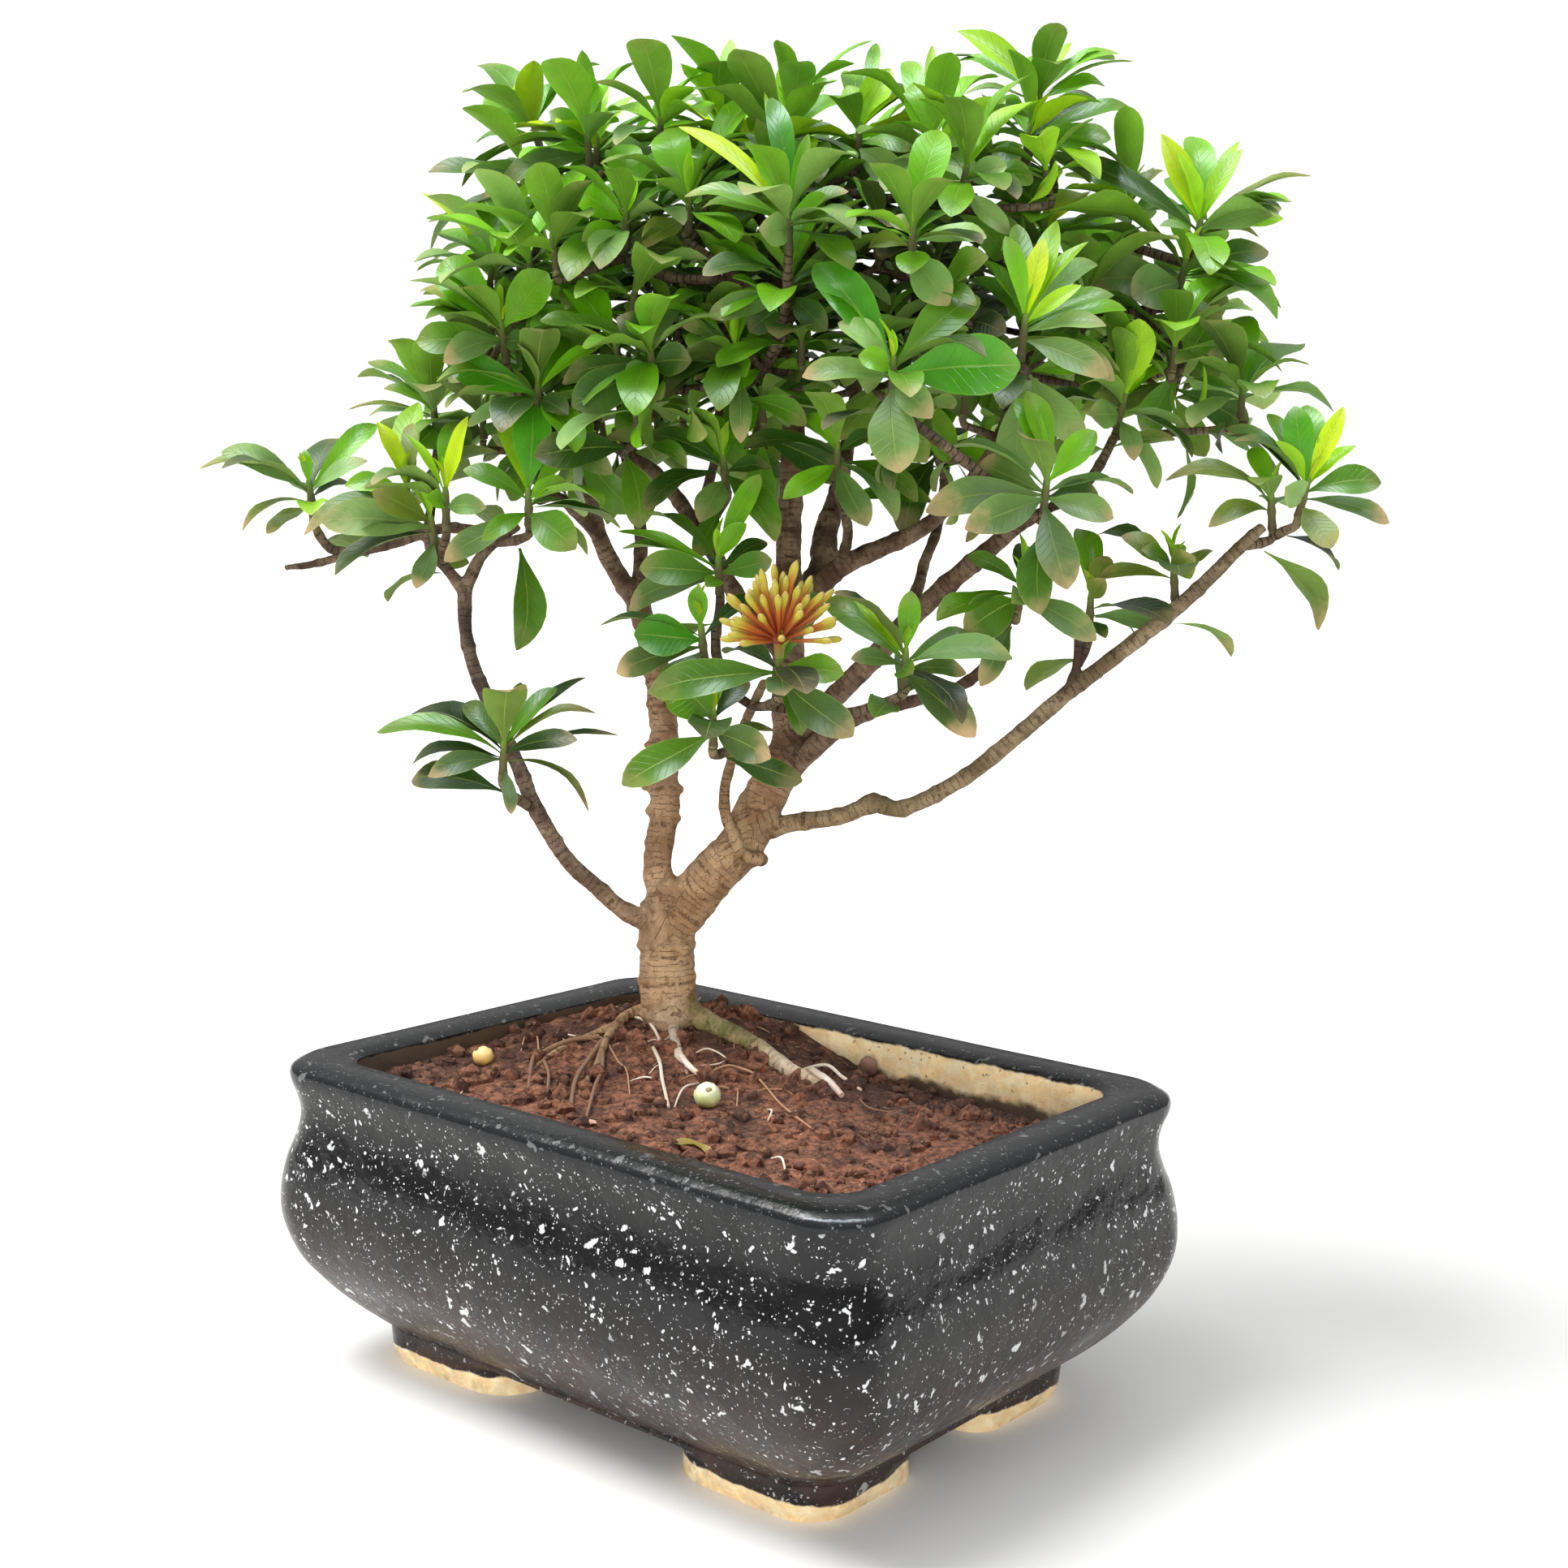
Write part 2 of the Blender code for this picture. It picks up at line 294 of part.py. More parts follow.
def leaf_mesh(leaf, grow=0.0):
    """A closed blade with a keel. A broad one has a raised midrib and one more section too."""
    chord = leaf["tip"] - leaf["root"]
    length = chord.length
    along = chord / length
    face = square_to(leaf["face"], along)
    side = along.cross(face)
    half_width = leaf["width"] / 2 + grow
    thick = LEAF_HALF_THICK + grow
    bow = leaf.get("bow", LEAF_BOW)
    broad = leaf["width"] >= WIDE_LEAF

    def section(t, half):
        middle = leaf["root"] + chord * t + face * (bow * length * 4 * t * (1 - t))
        edge = middle + face * (LEAF_FOLD * half + (0.0 if broad else thick * 0.6))
        ring = [edge - side * half, middle + face * thick, edge + side * half, middle - face * thick]
        return ring if broad else [ring[0], ring[2], ring[3]]

    count = 4 if broad else 3
    stations = LEAF_STATIONS if broad else NARROW_STATIONS
    points = section(0.0, LEAF_ROOT_HALF + grow)
    for t, share in stations:
        points += section(t, half_width * share)
    end_half = half_width * LEAF_END_SHARE
    points += [leaf["tip"] - side * end_half, leaf["tip"] + side * end_half]
    faces = [(0, 2, 1), (0, 3, 2)] if broad else [(0, 2, 1)]
    last = count * len(stations)
    for base in range(0, last, count):
        for k in range(count):
            a = base + k
            b = base + (k + 1) % count
            faces += [(a, b, b + count), (a, b + count, a + count)]
    left = last
    right = last + count - 2
    bottom = last + count - 1
    end_left = last + count
    end_right = end_left + 1
    if broad:
        faces += [(left, left + 1, end_left), (left + 1, end_right, end_left), (left + 1, right, end_right)]
    else:
        faces += [(left, right, end_right), (left, end_right, end_left)]
    faces += [(left, end_left, bottom), (bottom, end_left, end_right), (bottom, end_right, right)]
    return points, faces


def tube_mesh(points, radii, sides):
    """A plain tube, used only to keep things clear of one another."""
    verts = []
    faces = []
    for index, point in enumerate(points):
        ahead = points[min(index + 1, len(points) - 1)] - points[max(index - 1, 0)]
        along = ahead.normalized()
        first = square_to(Vector((0.31, 0.17, 0.93)) if abs(along.z) < 0.8 else Vector((1, 0, 0)), along)
        second = along.cross(first)
        for k in range(sides):
            angle = 2 * math.pi * k / sides
            verts.append(point + (first * math.cos(angle) + second * math.sin(angle)) * radii[index])
    for index in range(len(points) - 1):
        for k in range(sides):
            a = index * sides + k
            b = index * sides + (k + 1) % sides
            faces += [(a, b, b + sides), (a, b + sides, a + sides)]
    for k in range(1, sides - 1):
        faces.append((0, k + 1, k))
        last = (len(points) - 1) * sides
        faces.append((last, last + k, last + k + 1))
    return verts, faces


class Crowd:
    """What already stands, so that each new leaf or twig is bent clear of it."""

    def __init__(self):
        self.standing = []

    def add(self, owner, mesh):
        self.standing.append((owner, self.ball(mesh[0]), BVHTree.FromPolygons(*mesh)))

    def is_clear(self, owners, mesh):
        middle, reach = self.ball(mesh[0])
        tree = BVHTree.FromPolygons(*mesh)
        for owner, (other_middle, other_reach), other in self.standing:
            if owner in owners or (middle - other_middle).length > reach + other_reach:
                continue
            if tree.overlap(other):
                return False
        return True

    @staticmethod
    def ball(points):
        middle = sum(points, Vector()) / len(points)
        return middle, max((point - middle).length for point in points)


def shoot_axis(lean):
    return (UP + LEVEL * lean[0] + TOWARD_EYE * lean[1]).normalized()


def root_drop(upright):
    """How far below the shoot's top a leaf grows: the more it spreads, the lower."""
    level, rate, most = ROOT_DROP
    return min(max((level - upright) * rate, 0.0), most) * MM


def measured_leaf(whorl, axis, spec, extra_near, length_share):
    """A leaf from its measured tip; its root lies lower on the stem the more it spreads."""
    across, up, nearer, width, turn, tone = spec[:6]
    tip = drawn(whorl[0] + across * length_share, whorl[1] + up * length_share,
                whorl[2] + nearer + extra_near)
    top = drawn(*whorl)
    upright = (tip - top).normalized().dot(axis)
    root = top - axis * root_drop(upright) + square_to(tip - top, axis) * ROOT_OUT
    along = (tip - root).normalized()
    inner = axis - along * axis.dot(along)
    inner = inner.normalized() if inner.length > 0.25 else square_to(TOWARD_EYE, along)
    to_eye = square_to(EYE - root, along)
    face = inner * (1 - abs(turn)) + to_eye * turn
    bow = spec[6] if len(spec) > 6 else LEAF_BOW
    return {"root": root, "tip": tip, "face": face, "width": width * MM, "tone": tone, "bow": bow}


def added_leaf(top, axis, turn, tilt, length, tone):
    out = square_to(-TOWARD_EYE, axis)
    out = (out * math.cos(turn) + axis.cross(out) * math.sin(turn)).normalized()
    along = axis * math.cos(tilt) + out * math.sin(tilt)
    root = top - axis * root_drop(math.cos(tilt)) + out * ROOT_OUT
    return {"root": root, "tip": root + along * length, "face": square_to(axis, along),
            "width": length * FILL_WIDTH_SHARE, "tone": tone}


def branch_line(name):
    points = [drawn(*spec[:3]) for spec in BRANCHES[name]]
    radii = [spec[3] * MM for spec in BRANCHES[name]]
    return points, radii


def bent_twig(start, start_way, end, axis):
    """Points from a branch to a shoot's foot, the last stretch straight along the shoot."""
    foot = end - axis * TWIG_STRAIGHT
    reach = (foot - start).length * TWIG_BEND
    first = start + start_way * reach
    second = foot - axis * reach
    points = []
    for t in (0.0, 0.5):
        u = 1 - t
        points.append(start * u ** 3 + first * (3 * u * u * t) + second * (3 * u * t * t) + foot * t ** 3)
    return points + [foot, end]


def grow_twig(crowd, network, shoot):
    """A twig from the best place on the branches, or on an earlier twig, to a shoot's foot."""
    end = shoot["stem"][0] - shoot["axis"] * FIT_GAP

    def cost(node):
        away = (end - node[0]).length
        turn = 1 - node[1].dot((end - node[0]).normalized())
        short = max(0.0, TWIG_RISE - (end.z - node[0].z))
        return away * (1 + TWIG_COSTS[0] * turn) + short * TWIG_COSTS[1]

    choices = [node for node in sorted(network, key=cost) if (node[0] - end).length > TWIG_SHORTEST]
    for point, way, radius in choices[:TWIG_CHOICES]:
        points = bent_twig(point, way, end, shoot["axis"])
        radii = [min(radius * TWIG_START[0], TWIG_START[1]), TWIG_MIDDLE, TWIG_END_RADIUS, TWIG_END_RADIUS]
        grown = tube_mesh(points, [value + CLEARANCE for value in radii], 8)
        if crowd.is_clear(("wood", shoot["name"]), grown):
            break
    crowd.add("wood", tube_mesh(points, [value * KEPT_CLEAR for value in radii], 8))
    for index in (1, 2):
        way = (points[index + 1] - points[index]).normalized()
        network.append((points[index], way, radii[index]))
    return points, radii


def grow_measured(crowd, shoot):
    """The measured leaves of a shoot, each at the first depth and length where it is clear."""
    for spec in shoot["measured"]:
        for share in LENGTH_TRIES:
            tries = [measured_leaf(shoot["whorl"], shoot["axis"], spec, near, share) for near in DEPTH_TRIES]
            leaf = next((leaf for leaf in tries
                         if crowd.is_clear((shoot["name"],), leaf_mesh(leaf, CLEARANCE))), None)
            if leaf:
                crowd.add(shoot["name"], leaf_mesh(leaf))
                shoot["leaves"].append(leaf)
                break


def grow_added(crowd, shoot, rng):
    """The leaves that the rule adds to a shoot, spread round it and clear of the rest."""
    count = shoot["fill"]
    spread = GOLDEN_TURN if count > 2 else SMALL_TURN
    for index in range(count):
        share = index / max(count - 1, 1)
        for attempt in range(FILL_TRIES):
            turn = (index + 0.5 - count / 2) * spread + rng.uniform(-0.5, 0.5) * (1 + attempt)
            tilt = math.radians(FILL_TILT[0] - FILL_TILT[1] * share) + rng.uniform(-0.2, 0.2)
            length = rng.uniform(*FILL_LENGTH) * (1 - 0.025 * attempt)
            tone = rng.choice("mmdp" if share < 0.5 else "mmbb")
            leaf = added_leaf(shoot["top"], shoot["axis"], turn, tilt, length, tone)
            if crowd.is_clear((shoot["name"],), leaf_mesh(leaf, CLEARANCE)):
                crowd.add(shoot["name"], leaf_mesh(leaf))
                shoot["leaves"].append(leaf)
                break


def grow_plant():
    """Every twig and every shoot of the plant, each bent clear of what already stands."""
    crowd = Crowd()
    network = []
    for name in BRANCHES:
        points, radii = branch_line(name)
        crowd.add("wood", tube_mesh(points, [radius * KEPT_CLEAR for radius in radii], 8))
        for index in range(1, len(points)):
            way = (points[index] - points[index - 1]).normalized()
            network.append((points[index], way, radii[index]))
    shoots = []
    for name, whorl, lean, fill, leaves in SHOOTS:
        top = drawn(*whorl)
        axis = shoot_axis(lean)
        stem = (top - axis * STEM_BELOW, top + axis * STEM_ABOVE)
        shoots.append({"name": name, "whorl": whorl, "top": top, "axis": axis, "fill": fill,
                       "measured": leaves, "leaves": [], "stem": stem})
        crowd.add(name, tube_mesh(list(stem), [STEM_RADIUS * STEM_KEPT_CLEAR] * 2, 8))
    buds = bloom_buds()
    for points, radii in buds:
        crowd.add("bloom_head", tube_mesh(points, [radius + BUD_KEPT_CLEAR for radius in radii], 5))
    twigs = []
    waiting = list(shoots)
    while waiting:
        shoot = min(waiting, key=lambda other: min((node[0] - other["stem"][0]).length for node in network))
        waiting.remove(shoot)
        twigs.append(grow_twig(crowd, network, shoot))
    for shoot in shoots:
        grow_measured(crowd, shoot)
    for number, shoot in enumerate(shoots):
        grow_added(crowd, shoot, random.Random(SEED + number))
    return shoots, twigs, buds, crowd, network

# The model is built about the middle of the pot's foot and then moved, so that
# the middle of the whole part, on the ground, is the origin.
MODEL_SHIFT = Vector((0.0135, -0.0759, 0.0))

# Pot: half length, half width, corner radius and height of each level, in millimetres.
POT_OUTSIDE = [
    (115.8, 80.0, 18.0, 0.0), (118.6, 82.0, 19.5, 5.0), (119.4, 82.6, 20.0, 13.2),
    (119.0, 82.2, 19.5, 14.4), (122.8, 85.4, 21.0, 17.6), (132.0, 93.6, 22.0, 25.2),
    (141.0, 101.8, 23.0, 34.8), (148.6, 108.8, 23.5, 46.2), (153.0, 112.9, 24.0, 60.0),
    (153.6, 113.6, 24.0, 72.0), (152.0, 112.1, 23.5, 84.0), (148.8, 108.9, 23.0, 95.0),
    (147.0, 107.1, 22.5, 104.0), (147.9, 108.0, 22.5, 111.5), (149.9, 109.9, 23.0, 118.5),
    (149.6, 109.6, 23.0, 122.8), (145.5, 105.5, 22.0, 125.6),
]
POT_INSIDE = [
    (131.5, 91.5, 15.5, 125.4), (128.5, 88.5, 14.0, 123.4), (127.5, 87.5, 13.5, 117.0),
    (127.0, 87.0, 13.5, 80.0), (112.0, 74.0, 15.0, 30.0),
    (106.0, 68.0, 13.0, 22.5),
]
CORNER_STEPS = 4

# The feet: gaps between them through the long and the short sides, in millimetres. A gap has
# where it begins and ends, the rounding of the feet at its mouths, and how far the mouths flare.
GAP_LONG = (-41.0, 42.0, 20.0)
GAP_SHORT = (-18.0, 19.0, 13.0)
GAP_FLARE = (14.0, 3.0)
GAP_STEPS = 3
GAP_REACH = 200.0
GAP_STEP = 0.3
GAP_HEIGHT = 13.0
GAP_ROUNDING = 5.0
GAP_ROUNDING_STEPS = 2
FOOT_WALL = 23.0
DRAIN_RADIUS = 7.0 * MM
DRAIN_SPREAD = 55.0 * MM
DRAIN_CUT = 80.0 * MM

# Soil
SOIL_GAP = 0.4
SOIL_LEVEL = 115.5
SOIL_MOUND = 14.5
SOIL_MOUND_SPREAD = 40.0
SOIL_BACK_DIP = 9.5
SOIL_RIGHT_DIP = 2.5
SOIL_RINGS = (0.84, 0.64, 0.44, 0.22)
TRUNK_FOOT = (-67.0, 42.0)

# Trunk on the drawing, and its stump under the soil as depth and radius.
TRUNK = [(-47, -90, 0, 12.2), (-48, -75, 0, 11.7), (-48, -58, 0, 11.8), (-46, -46, 0, 11.0),
         (-44, -41, 2, 8.0)]
STUMP = [(14, 11.0), (42, 6.0)]

# Roots that lie half sunk: place along and across the pot, height over the soil, radius.
ROOTS = [
    [(-62, 42, 5, 6.0), (-47, 40, 3, 4.8), (-33, 42, 2, 4.2), (-19, 42, 2, 3.9), (-6, 39, 1.5, 3.7),
     (6, 36, 1, 3.4), (19, 35, 0, 2.8), (32, 34, -4, 2.0)],
    [(-62, 38, 5, 4.2), (-53, 28, 2, 2.8), (-44, 19, 1, 2.2), (-30, 8, 0.5, 1.9), (-15, -2, -3, 1.3)],
    [(-69, 38, 4, 3.8), (-80, 30, 2, 2.4), (-74, 13, 1.5, 2.1), (-66, -1, 1, 1.8), (-54, -18, 0.5, 1.5),
     (-43, -37, 0.2, 1.2), (-36, -47, -3, 1.0)],
    [(-76, 17, 1.5, 1.8), (-80, 3, 1, 1.5), (-82, -13, 0.7, 1.3), (-78, -28, 0.3, 1.1), (-74, -42, -3, 0.9)],
]
ROOT_CUT_GROW = 0.45

# Things that lie on the soil: place, size and how deep each is pressed in.
YELLOW_FRUIT = ((-101.5, -36.5), 4.6, 1.2)
GREEN_FRUIT = ((6.5, -16.5), 5.6, 1.4)
PEBBLE = ((12.0, 79.0), (4.6, 3.6, 4.8), 1.0)
FALLEN_LEAF = ((27.0, -66.0), (50.0, -60.0), 9.0)
LEAF_LIFT = 0.8
FRUIT_SQUAT = 0.94
PRESS_GAP = 0.4

# Head of buds
BUD_COUNT = 34
BUD_OPEN = math.radians(88.0)
BUD_LENGTHS = (34.0 * MM, 26.0 * MM)
BUD_SHAPE = ((0.1, 0.55), (0.84, 1.1), (1.0, 0.4))
BLOOM_RISE = 7.0 * MM
BLOOM_CORE = 4.0 * MM
BUD_UNEVEN = 1.2 * MM
BLOOM_STALK = [1.5 * MM, 1.8 * MM]

STEM_TAPER = 0.85
THICK_STEM = 8.0 * MM
WELD = 1e-6

COLOURS = {
    "glaze": ((0.012, 0.012, 0.014, 1.0), 0.18), "soil": ((0.10, 0.030, 0.016, 1.0), 0.95),
    "bark": ((0.16, 0.10, 0.06, 1.0), 0.8), "leaf": ((0.05, 0.16, 0.02, 1.0), 0.35),
    "bud": ((0.62, 0.22, 0.03, 1.0), 0.5), "yellow_fruit": ((0.62, 0.45, 0.16, 1.0), 0.5),
    "green_fruit": ((0.42, 0.50, 0.22, 1.0), 0.5), "pebble": ((0.20, 0.10, 0.08, 1.0), 0.8),
    "fallen_leaf": ((0.40, 0.33, 0.05, 1.0), 0.6),
}


def bloom_buds():
    """Lines and radii of the closed buds, spread evenly over a wide dome."""
    name, whorl, lean, fill, leaves = next(shoot for shoot in SHOOTS if shoot[0] == "bloom_collar")
    axis = shoot_axis(lean)
    core = drawn(*whorl) + axis * BLOOM_RISE
    first = square_to(Vector((1.0, 0.0, 0.0)), axis)
    second = axis.cross(first)
    buds = []
    for index in range(BUD_COUNT):
        share = (index + 0.5) / BUD_COUNT
        polar = math.acos(1 - share * (1 - math.cos(BUD_OPEN)))
        turn = index * GOLDEN_TURN
        way = axis * math.cos(polar) + (first * math.cos(turn) + second * math.sin(turn)) * math.sin(polar)
        length = BUD_LENGTHS[0] + (BUD_LENGTHS[1] - BUD_LENGTHS[0]) * share - (index % 3) * BUD_UNEVEN
        points = [core + way * (length * at) for at, radius in BUD_SHAPE]
        buds.append((points, [radius * MM for at, radius in BUD_SHAPE]))
    return buds


def clear_scene():
    for old in list(bpy.data.objects):
        bpy.data.objects.remove(old, do_unlink=True)


def new_collection(name):
    collection = bpy.data.collections.new(name)
    bpy.context.scene.collection.children.link(collection)
    return collection


def material(name):
    colour, roughness = COLOURS[name]
    made = bpy.data.materials.get(name)
    if made is None:
        made = bpy.data.materials.new(name)
        made.use_nodes = True
        shader = made.node_tree.nodes["Principled BSDF"]
        shader.inputs["Base Color"].default_value = colour
        shader.inputs["Roughness"].default_value = roughness
        shader.inputs["Metallic"].default_value = 0.0
    return made


def add_mesh(name, mesh, collection):
    made = bpy.data.objects.new(name, mesh)
    collection.objects.link(made)
    return made


def mesh_from(name, verts, faces, collection):
    """A closed mesh object from a loft or a blade, its faces turned outward."""
    mesh = bpy.data.meshes.new(name)
    mesh.from_pydata([tuple(vert) for vert in verts], [], faces)
    shape = bmesh.new()
    shape.from_mesh(mesh)
    bmesh.ops.recalc_face_normals(shape, faces=shape.faces)
    shape.to_mesh(mesh)
    shape.free()
    return add_mesh(name, mesh, collection)


def tube(name, points, radii, fineness, collection):
    """A capped tube along a poly curve, turned into a welded mesh."""
    curve = bpy.data.curves.new(name, "CURVE")
    curve.dimensions = "3D"
    curve.bevel_depth = 1.0
    curve.bevel_resolution = fineness
    curve.use_fill_caps = True
    spline = curve.splines.new("POLY")
    spline.points.add(len(points) - 1)
    for place, point, radius in zip(spline.points, points, radii):
        place.co = (*point, 1.0)
        place.radius = radius
    holder = bpy.data.objects.new(name + "_curve", curve)
    collection.objects.link(holder)
    bpy.context.view_layer.update()
    evaluated = holder.evaluated_get(bpy.context.evaluated_depsgraph_get())
    mesh = bpy.data.meshes.new_from_object(evaluated)
    bpy.data.objects.remove(holder, do_unlink=True)
    bpy.data.curves.remove(curve)
    shape = bmesh.new()
    shape.from_mesh(mesh)
    bmesh.ops.remove_doubles(shape, verts=shape.verts, dist=WELD)
    bmesh.ops.recalc_face_normals(shape, faces=shape.faces)
    shape.to_mesh(mesh)
    shape.free()
    return add_mesh(name, mesh, collection)


def apply_boolean(base, operation, collection, solver):
    """One Boolean of a base with everything in a collection, whose objects then go."""
    modifier = base.modifiers.new("join", "BOOLEAN")
    modifier.operation = operation
    modifier.operand_type = "COLLECTION"
    modifier.collection = collection
    modifier.solver = solver
    bpy.context.view_layer.update()
    evaluated = base.evaluated_get(bpy.context.evaluated_depsgraph_get())
    mesh = bpy.data.meshes.new_from_object(evaluated)
    base.modifiers.clear()
    old = base.data
    base.data = mesh
    bpy.data.meshes.remove(old)
    for other in list(collection.objects):
        bpy.data.objects.remove(other, do_unlink=True)
    bpy.data.collections.remove(collection)
    keep_largest(base)
    return base


def keep_largest(base):
    """Drops loose scraps that a cut or a join leaves, and seals no hollow."""
    shape = bmesh.new()
    shape.from_mesh(base.data)
    bmesh.ops.remove_doubles(shape, verts=shape.verts, dist=WELD)
    bmesh.ops.triangulate(shape, faces=shape.faces)
    waiting = set(shape.verts)
    islands = []
    while waiting:
        island = set()
        edge_of_search = [waiting.pop()]
        while edge_of_search:
            vert = edge_of_search.pop()
            island.add(vert)
            for edge in vert.link_edges:
                other = edge.other_vert(vert)
                if other in waiting:
                    waiting.remove(other)
                    edge_of_search.append(other)
        islands.append(island)
    largest = max(islands, key=len)
    scraps = [vert for island in islands if island is not largest for vert in island]
    bmesh.ops.delete(shape, geom=scraps, context="VERTS")
    shape.to_mesh(base.data)
    shape.free()


def finish(made, name, slot, smooth):
    made.name = name
    made.data.name = name
    made.data.materials.clear()
    made.data.materials.append(material(slot))
    made.data.shade_smooth() if smooth else made.data.shade_flat()
    return made


def rounded_ring(half_x, half_y, corner, height, steps=CORNER_STEPS, sides=(0, 0)):
    """One level of a rounded rectangle, in millimetres, turning to the left."""
    ring = []
    corners = ((1, 1, 0.0), (-1, 1, 90.0), (-1, -1, 180.0), (1, -1, 270.0))
    for number, (sign_x, sign_y, begin) in enumerate(corners):
        middle = (sign_x * (half_x - corner), sign_y * (half_y - corner))
        for step in range(steps + 1):
            angle = math.radians(begin + 90.0 * step / steps)
            ring.append((middle[0] + corner * math.cos(angle), middle[1] + corner * math.sin(angle)))
        more = sides[number % 2]
        start = ring[-1]
        onward = corners[(number + 1) % 4]
        end_angle = math.radians(onward[2])
        end = (onward[0] * (half_x - corner) + corner * math.cos(end_angle),
               onward[1] * (half_y - corner) + corner * math.sin(end_angle))
        for step in range(1, more + 1):
            t = step / (more + 1)
            ring.append((start[0] + (end[0] - start[0]) * t, start[1] + (end[1] - start[1]) * t))
    return [Vector((x, y, height)) * MM for x, y in ring]


def loft(rings):
    """Verts and faces between rings of one count, closed with a flat face at each end."""
    count = len(rings[0])
    verts = [point for ring in rings for point in ring]
    faces = []
    for level in range(len(rings) - 1):
        for k in range(count):
            a = level * count + k
            b = level * count + (k + 1) % count
            faces.append((a, b, b + count, a + count))
    faces.append(tuple(range(count))[::-1])
    faces.append(tuple(range((len(rings) - 1) * count, len(rings) * count)))
    return verts, faces


def gap_outline(begin, end, rounding, face):
    """Plan of the gap between two feet, in millimetres across it and along it."""
    side = []
    for step in range(GAP_STEPS + 1):
        angle = math.radians(90.0 * step / GAP_STEPS)
        side.append((rounding * (1 - math.cos(angle)), face - rounding * (1 - math.sin(angle))))
    side.append((rounding + GAP_FLARE[0], face + GAP_FLARE[1]))
    side.append((rounding + GAP_FLARE[0], GAP_REACH))
    outline = [(end + out, -along) for out, along in reversed(side)]
    outline += [(end + out, along) for out, along in side]
    outline += [(begin - out, along) for out, along in reversed(side)]
    return outline + [(begin - out, -along) for out, along in side]


def gap_cutter(outline, height):
    """The gap as a closed shape, with its upper edges rounded except at its far ends."""
    shape = bmesh.new()
    floor = shape.faces.new([shape.verts.new(Vector((x, y, -height)) * MM) for x, y in outline])
    top = bmesh.ops.extrude_face_region(shape, geom=[floor])["geom"]
    moved = [part for part in top if isinstance(part, bmesh.types.BMVert)]
    bmesh.ops.translate(shape, verts=moved, vec=Vector((0, 0, 2 * height * MM)))
    far = (GAP_REACH - 1) * MM
    rounded = [edge for edge in shape.edges if min(vert.co.z for vert in edge.verts) > 0
               and min(max(abs(vert.co.x), abs(vert.co.y)) for vert in edge.verts) < far]
    bmesh.ops.bevel(shape, geom=rounded, offset=GAP_ROUNDING * MM, segments=GAP_ROUNDING_STEPS,
                    profile=0.5, affect="EDGES")
    bmesh.ops.recalc_face_normals(shape, faces=shape.faces)
    return shape


def add_shape(name, shape, collection):
    mesh = bpy.data.meshes.new(name)
    shape.to_mesh(mesh)
    shape.free()
    return add_mesh(name, mesh, collection)


def move_to(made, collection):
    for holder in list(made.users_collection):
        holder.objects.unlink(made)
    collection.objects.link(made)


def build_pot(parts):
    rings = [rounded_ring(*level) for level in POT_OUTSIDE + POT_INSIDE]
    pot = mesh_from("pot", *loft(rings), parts)
    cutters = new_collection("pot_cutters")
    foot_x, foot_y = POT_OUTSIDE[0][:2]
    add_shape("gap_long", gap_cutter(gap_outline(*GAP_LONG, foot_y), GAP_HEIGHT), cutters)
    turned = [(across, along) for along, across in gap_outline(*GAP_SHORT, foot_x)]
    add_shape("gap_short", gap_cutter(turned, GAP_HEIGHT - GAP_STEP), cutters)
    bpy.ops.mesh.primitive_cube_add(size=2.0)
    hollow = bpy.context.active_object
    size = Vector((foot_x - FOOT_WALL, foot_y - FOOT_WALL, GAP_HEIGHT - GAP_STEP / 2)) * MM
    hollow.data.transform(Matrix.Diagonal((*size, 1.0)))
    move_to(hollow, cutters)
    for side in (-1, 1):
        bpy.ops.mesh.primitive_cylinder_add(vertices=16, radius=DRAIN_RADIUS, depth=DRAIN_CUT,
                                            location=(side * DRAIN_SPREAD, 0.0, 0.0))
        drain = bpy.context.active_object
        drain.data.transform(drain.matrix_world)
        drain.matrix_world = Matrix.Identity(4)
        move_to(drain, cutters)
    apply_boolean(pot, "DIFFERENCE", cutters, "EXACT")
    return finish(pot, "pot", "glaze", True)


def smooth_step(value):
    value = min(max(value, 0.0), 1.0)
    return value * value * (3 - 2 * value)


def soil_height(x, y):
    """Height of the soil in millimetres over the ground, mounded at the trunk."""
    away = (x - TRUNK_FOOT[0]) ** 2 + (y - TRUNK_FOOT[1]) ** 2
    mound = SOIL_MOUND * math.exp(-away / (2 * SOIL_MOUND_SPREAD ** 2))
    back = smooth_step((x + 50) / 80) * smooth_step((y - 35) / 60)
    right = smooth_step((x - 10) / 100)
    return SOIL_LEVEL + mound - SOIL_BACK_DIP * back - SOIL_RIGHT_DIP * right


def soil_rings():
    sides = (2, 1)
    rings = []
    for half_x, half_y, corner, height in reversed(POT_INSIDE[3:]):
        rings.append(rounded_ring(half_x - SOIL_GAP, half_y - SOIL_GAP, corner - SOIL_GAP,
                                  height + (SOIL_GAP if height == POT_INSIDE[-1][3] else 0.0),
                                  CORNER_STEPS, sides))
    half_x, half_y, corner, height = POT_INSIDE[3]
    edge = rounded_ring(half_x - SOIL_GAP, half_y - SOIL_GAP, corner - SOIL_GAP, 0.0, CORNER_STEPS, sides)
    for share in (1.0,) + SOIL_RINGS:
        ring = []
        for point in edge:
            x = TRUNK_FOOT[0] + (point.x / MM - TRUNK_FOOT[0]) * share
            y = TRUNK_FOOT[1] + (point.y / MM - TRUNK_FOOT[1]) * share
            ring.append(Vector((x, y, soil_height(x, y))) * MM)
        rings.append(ring)
    return rings


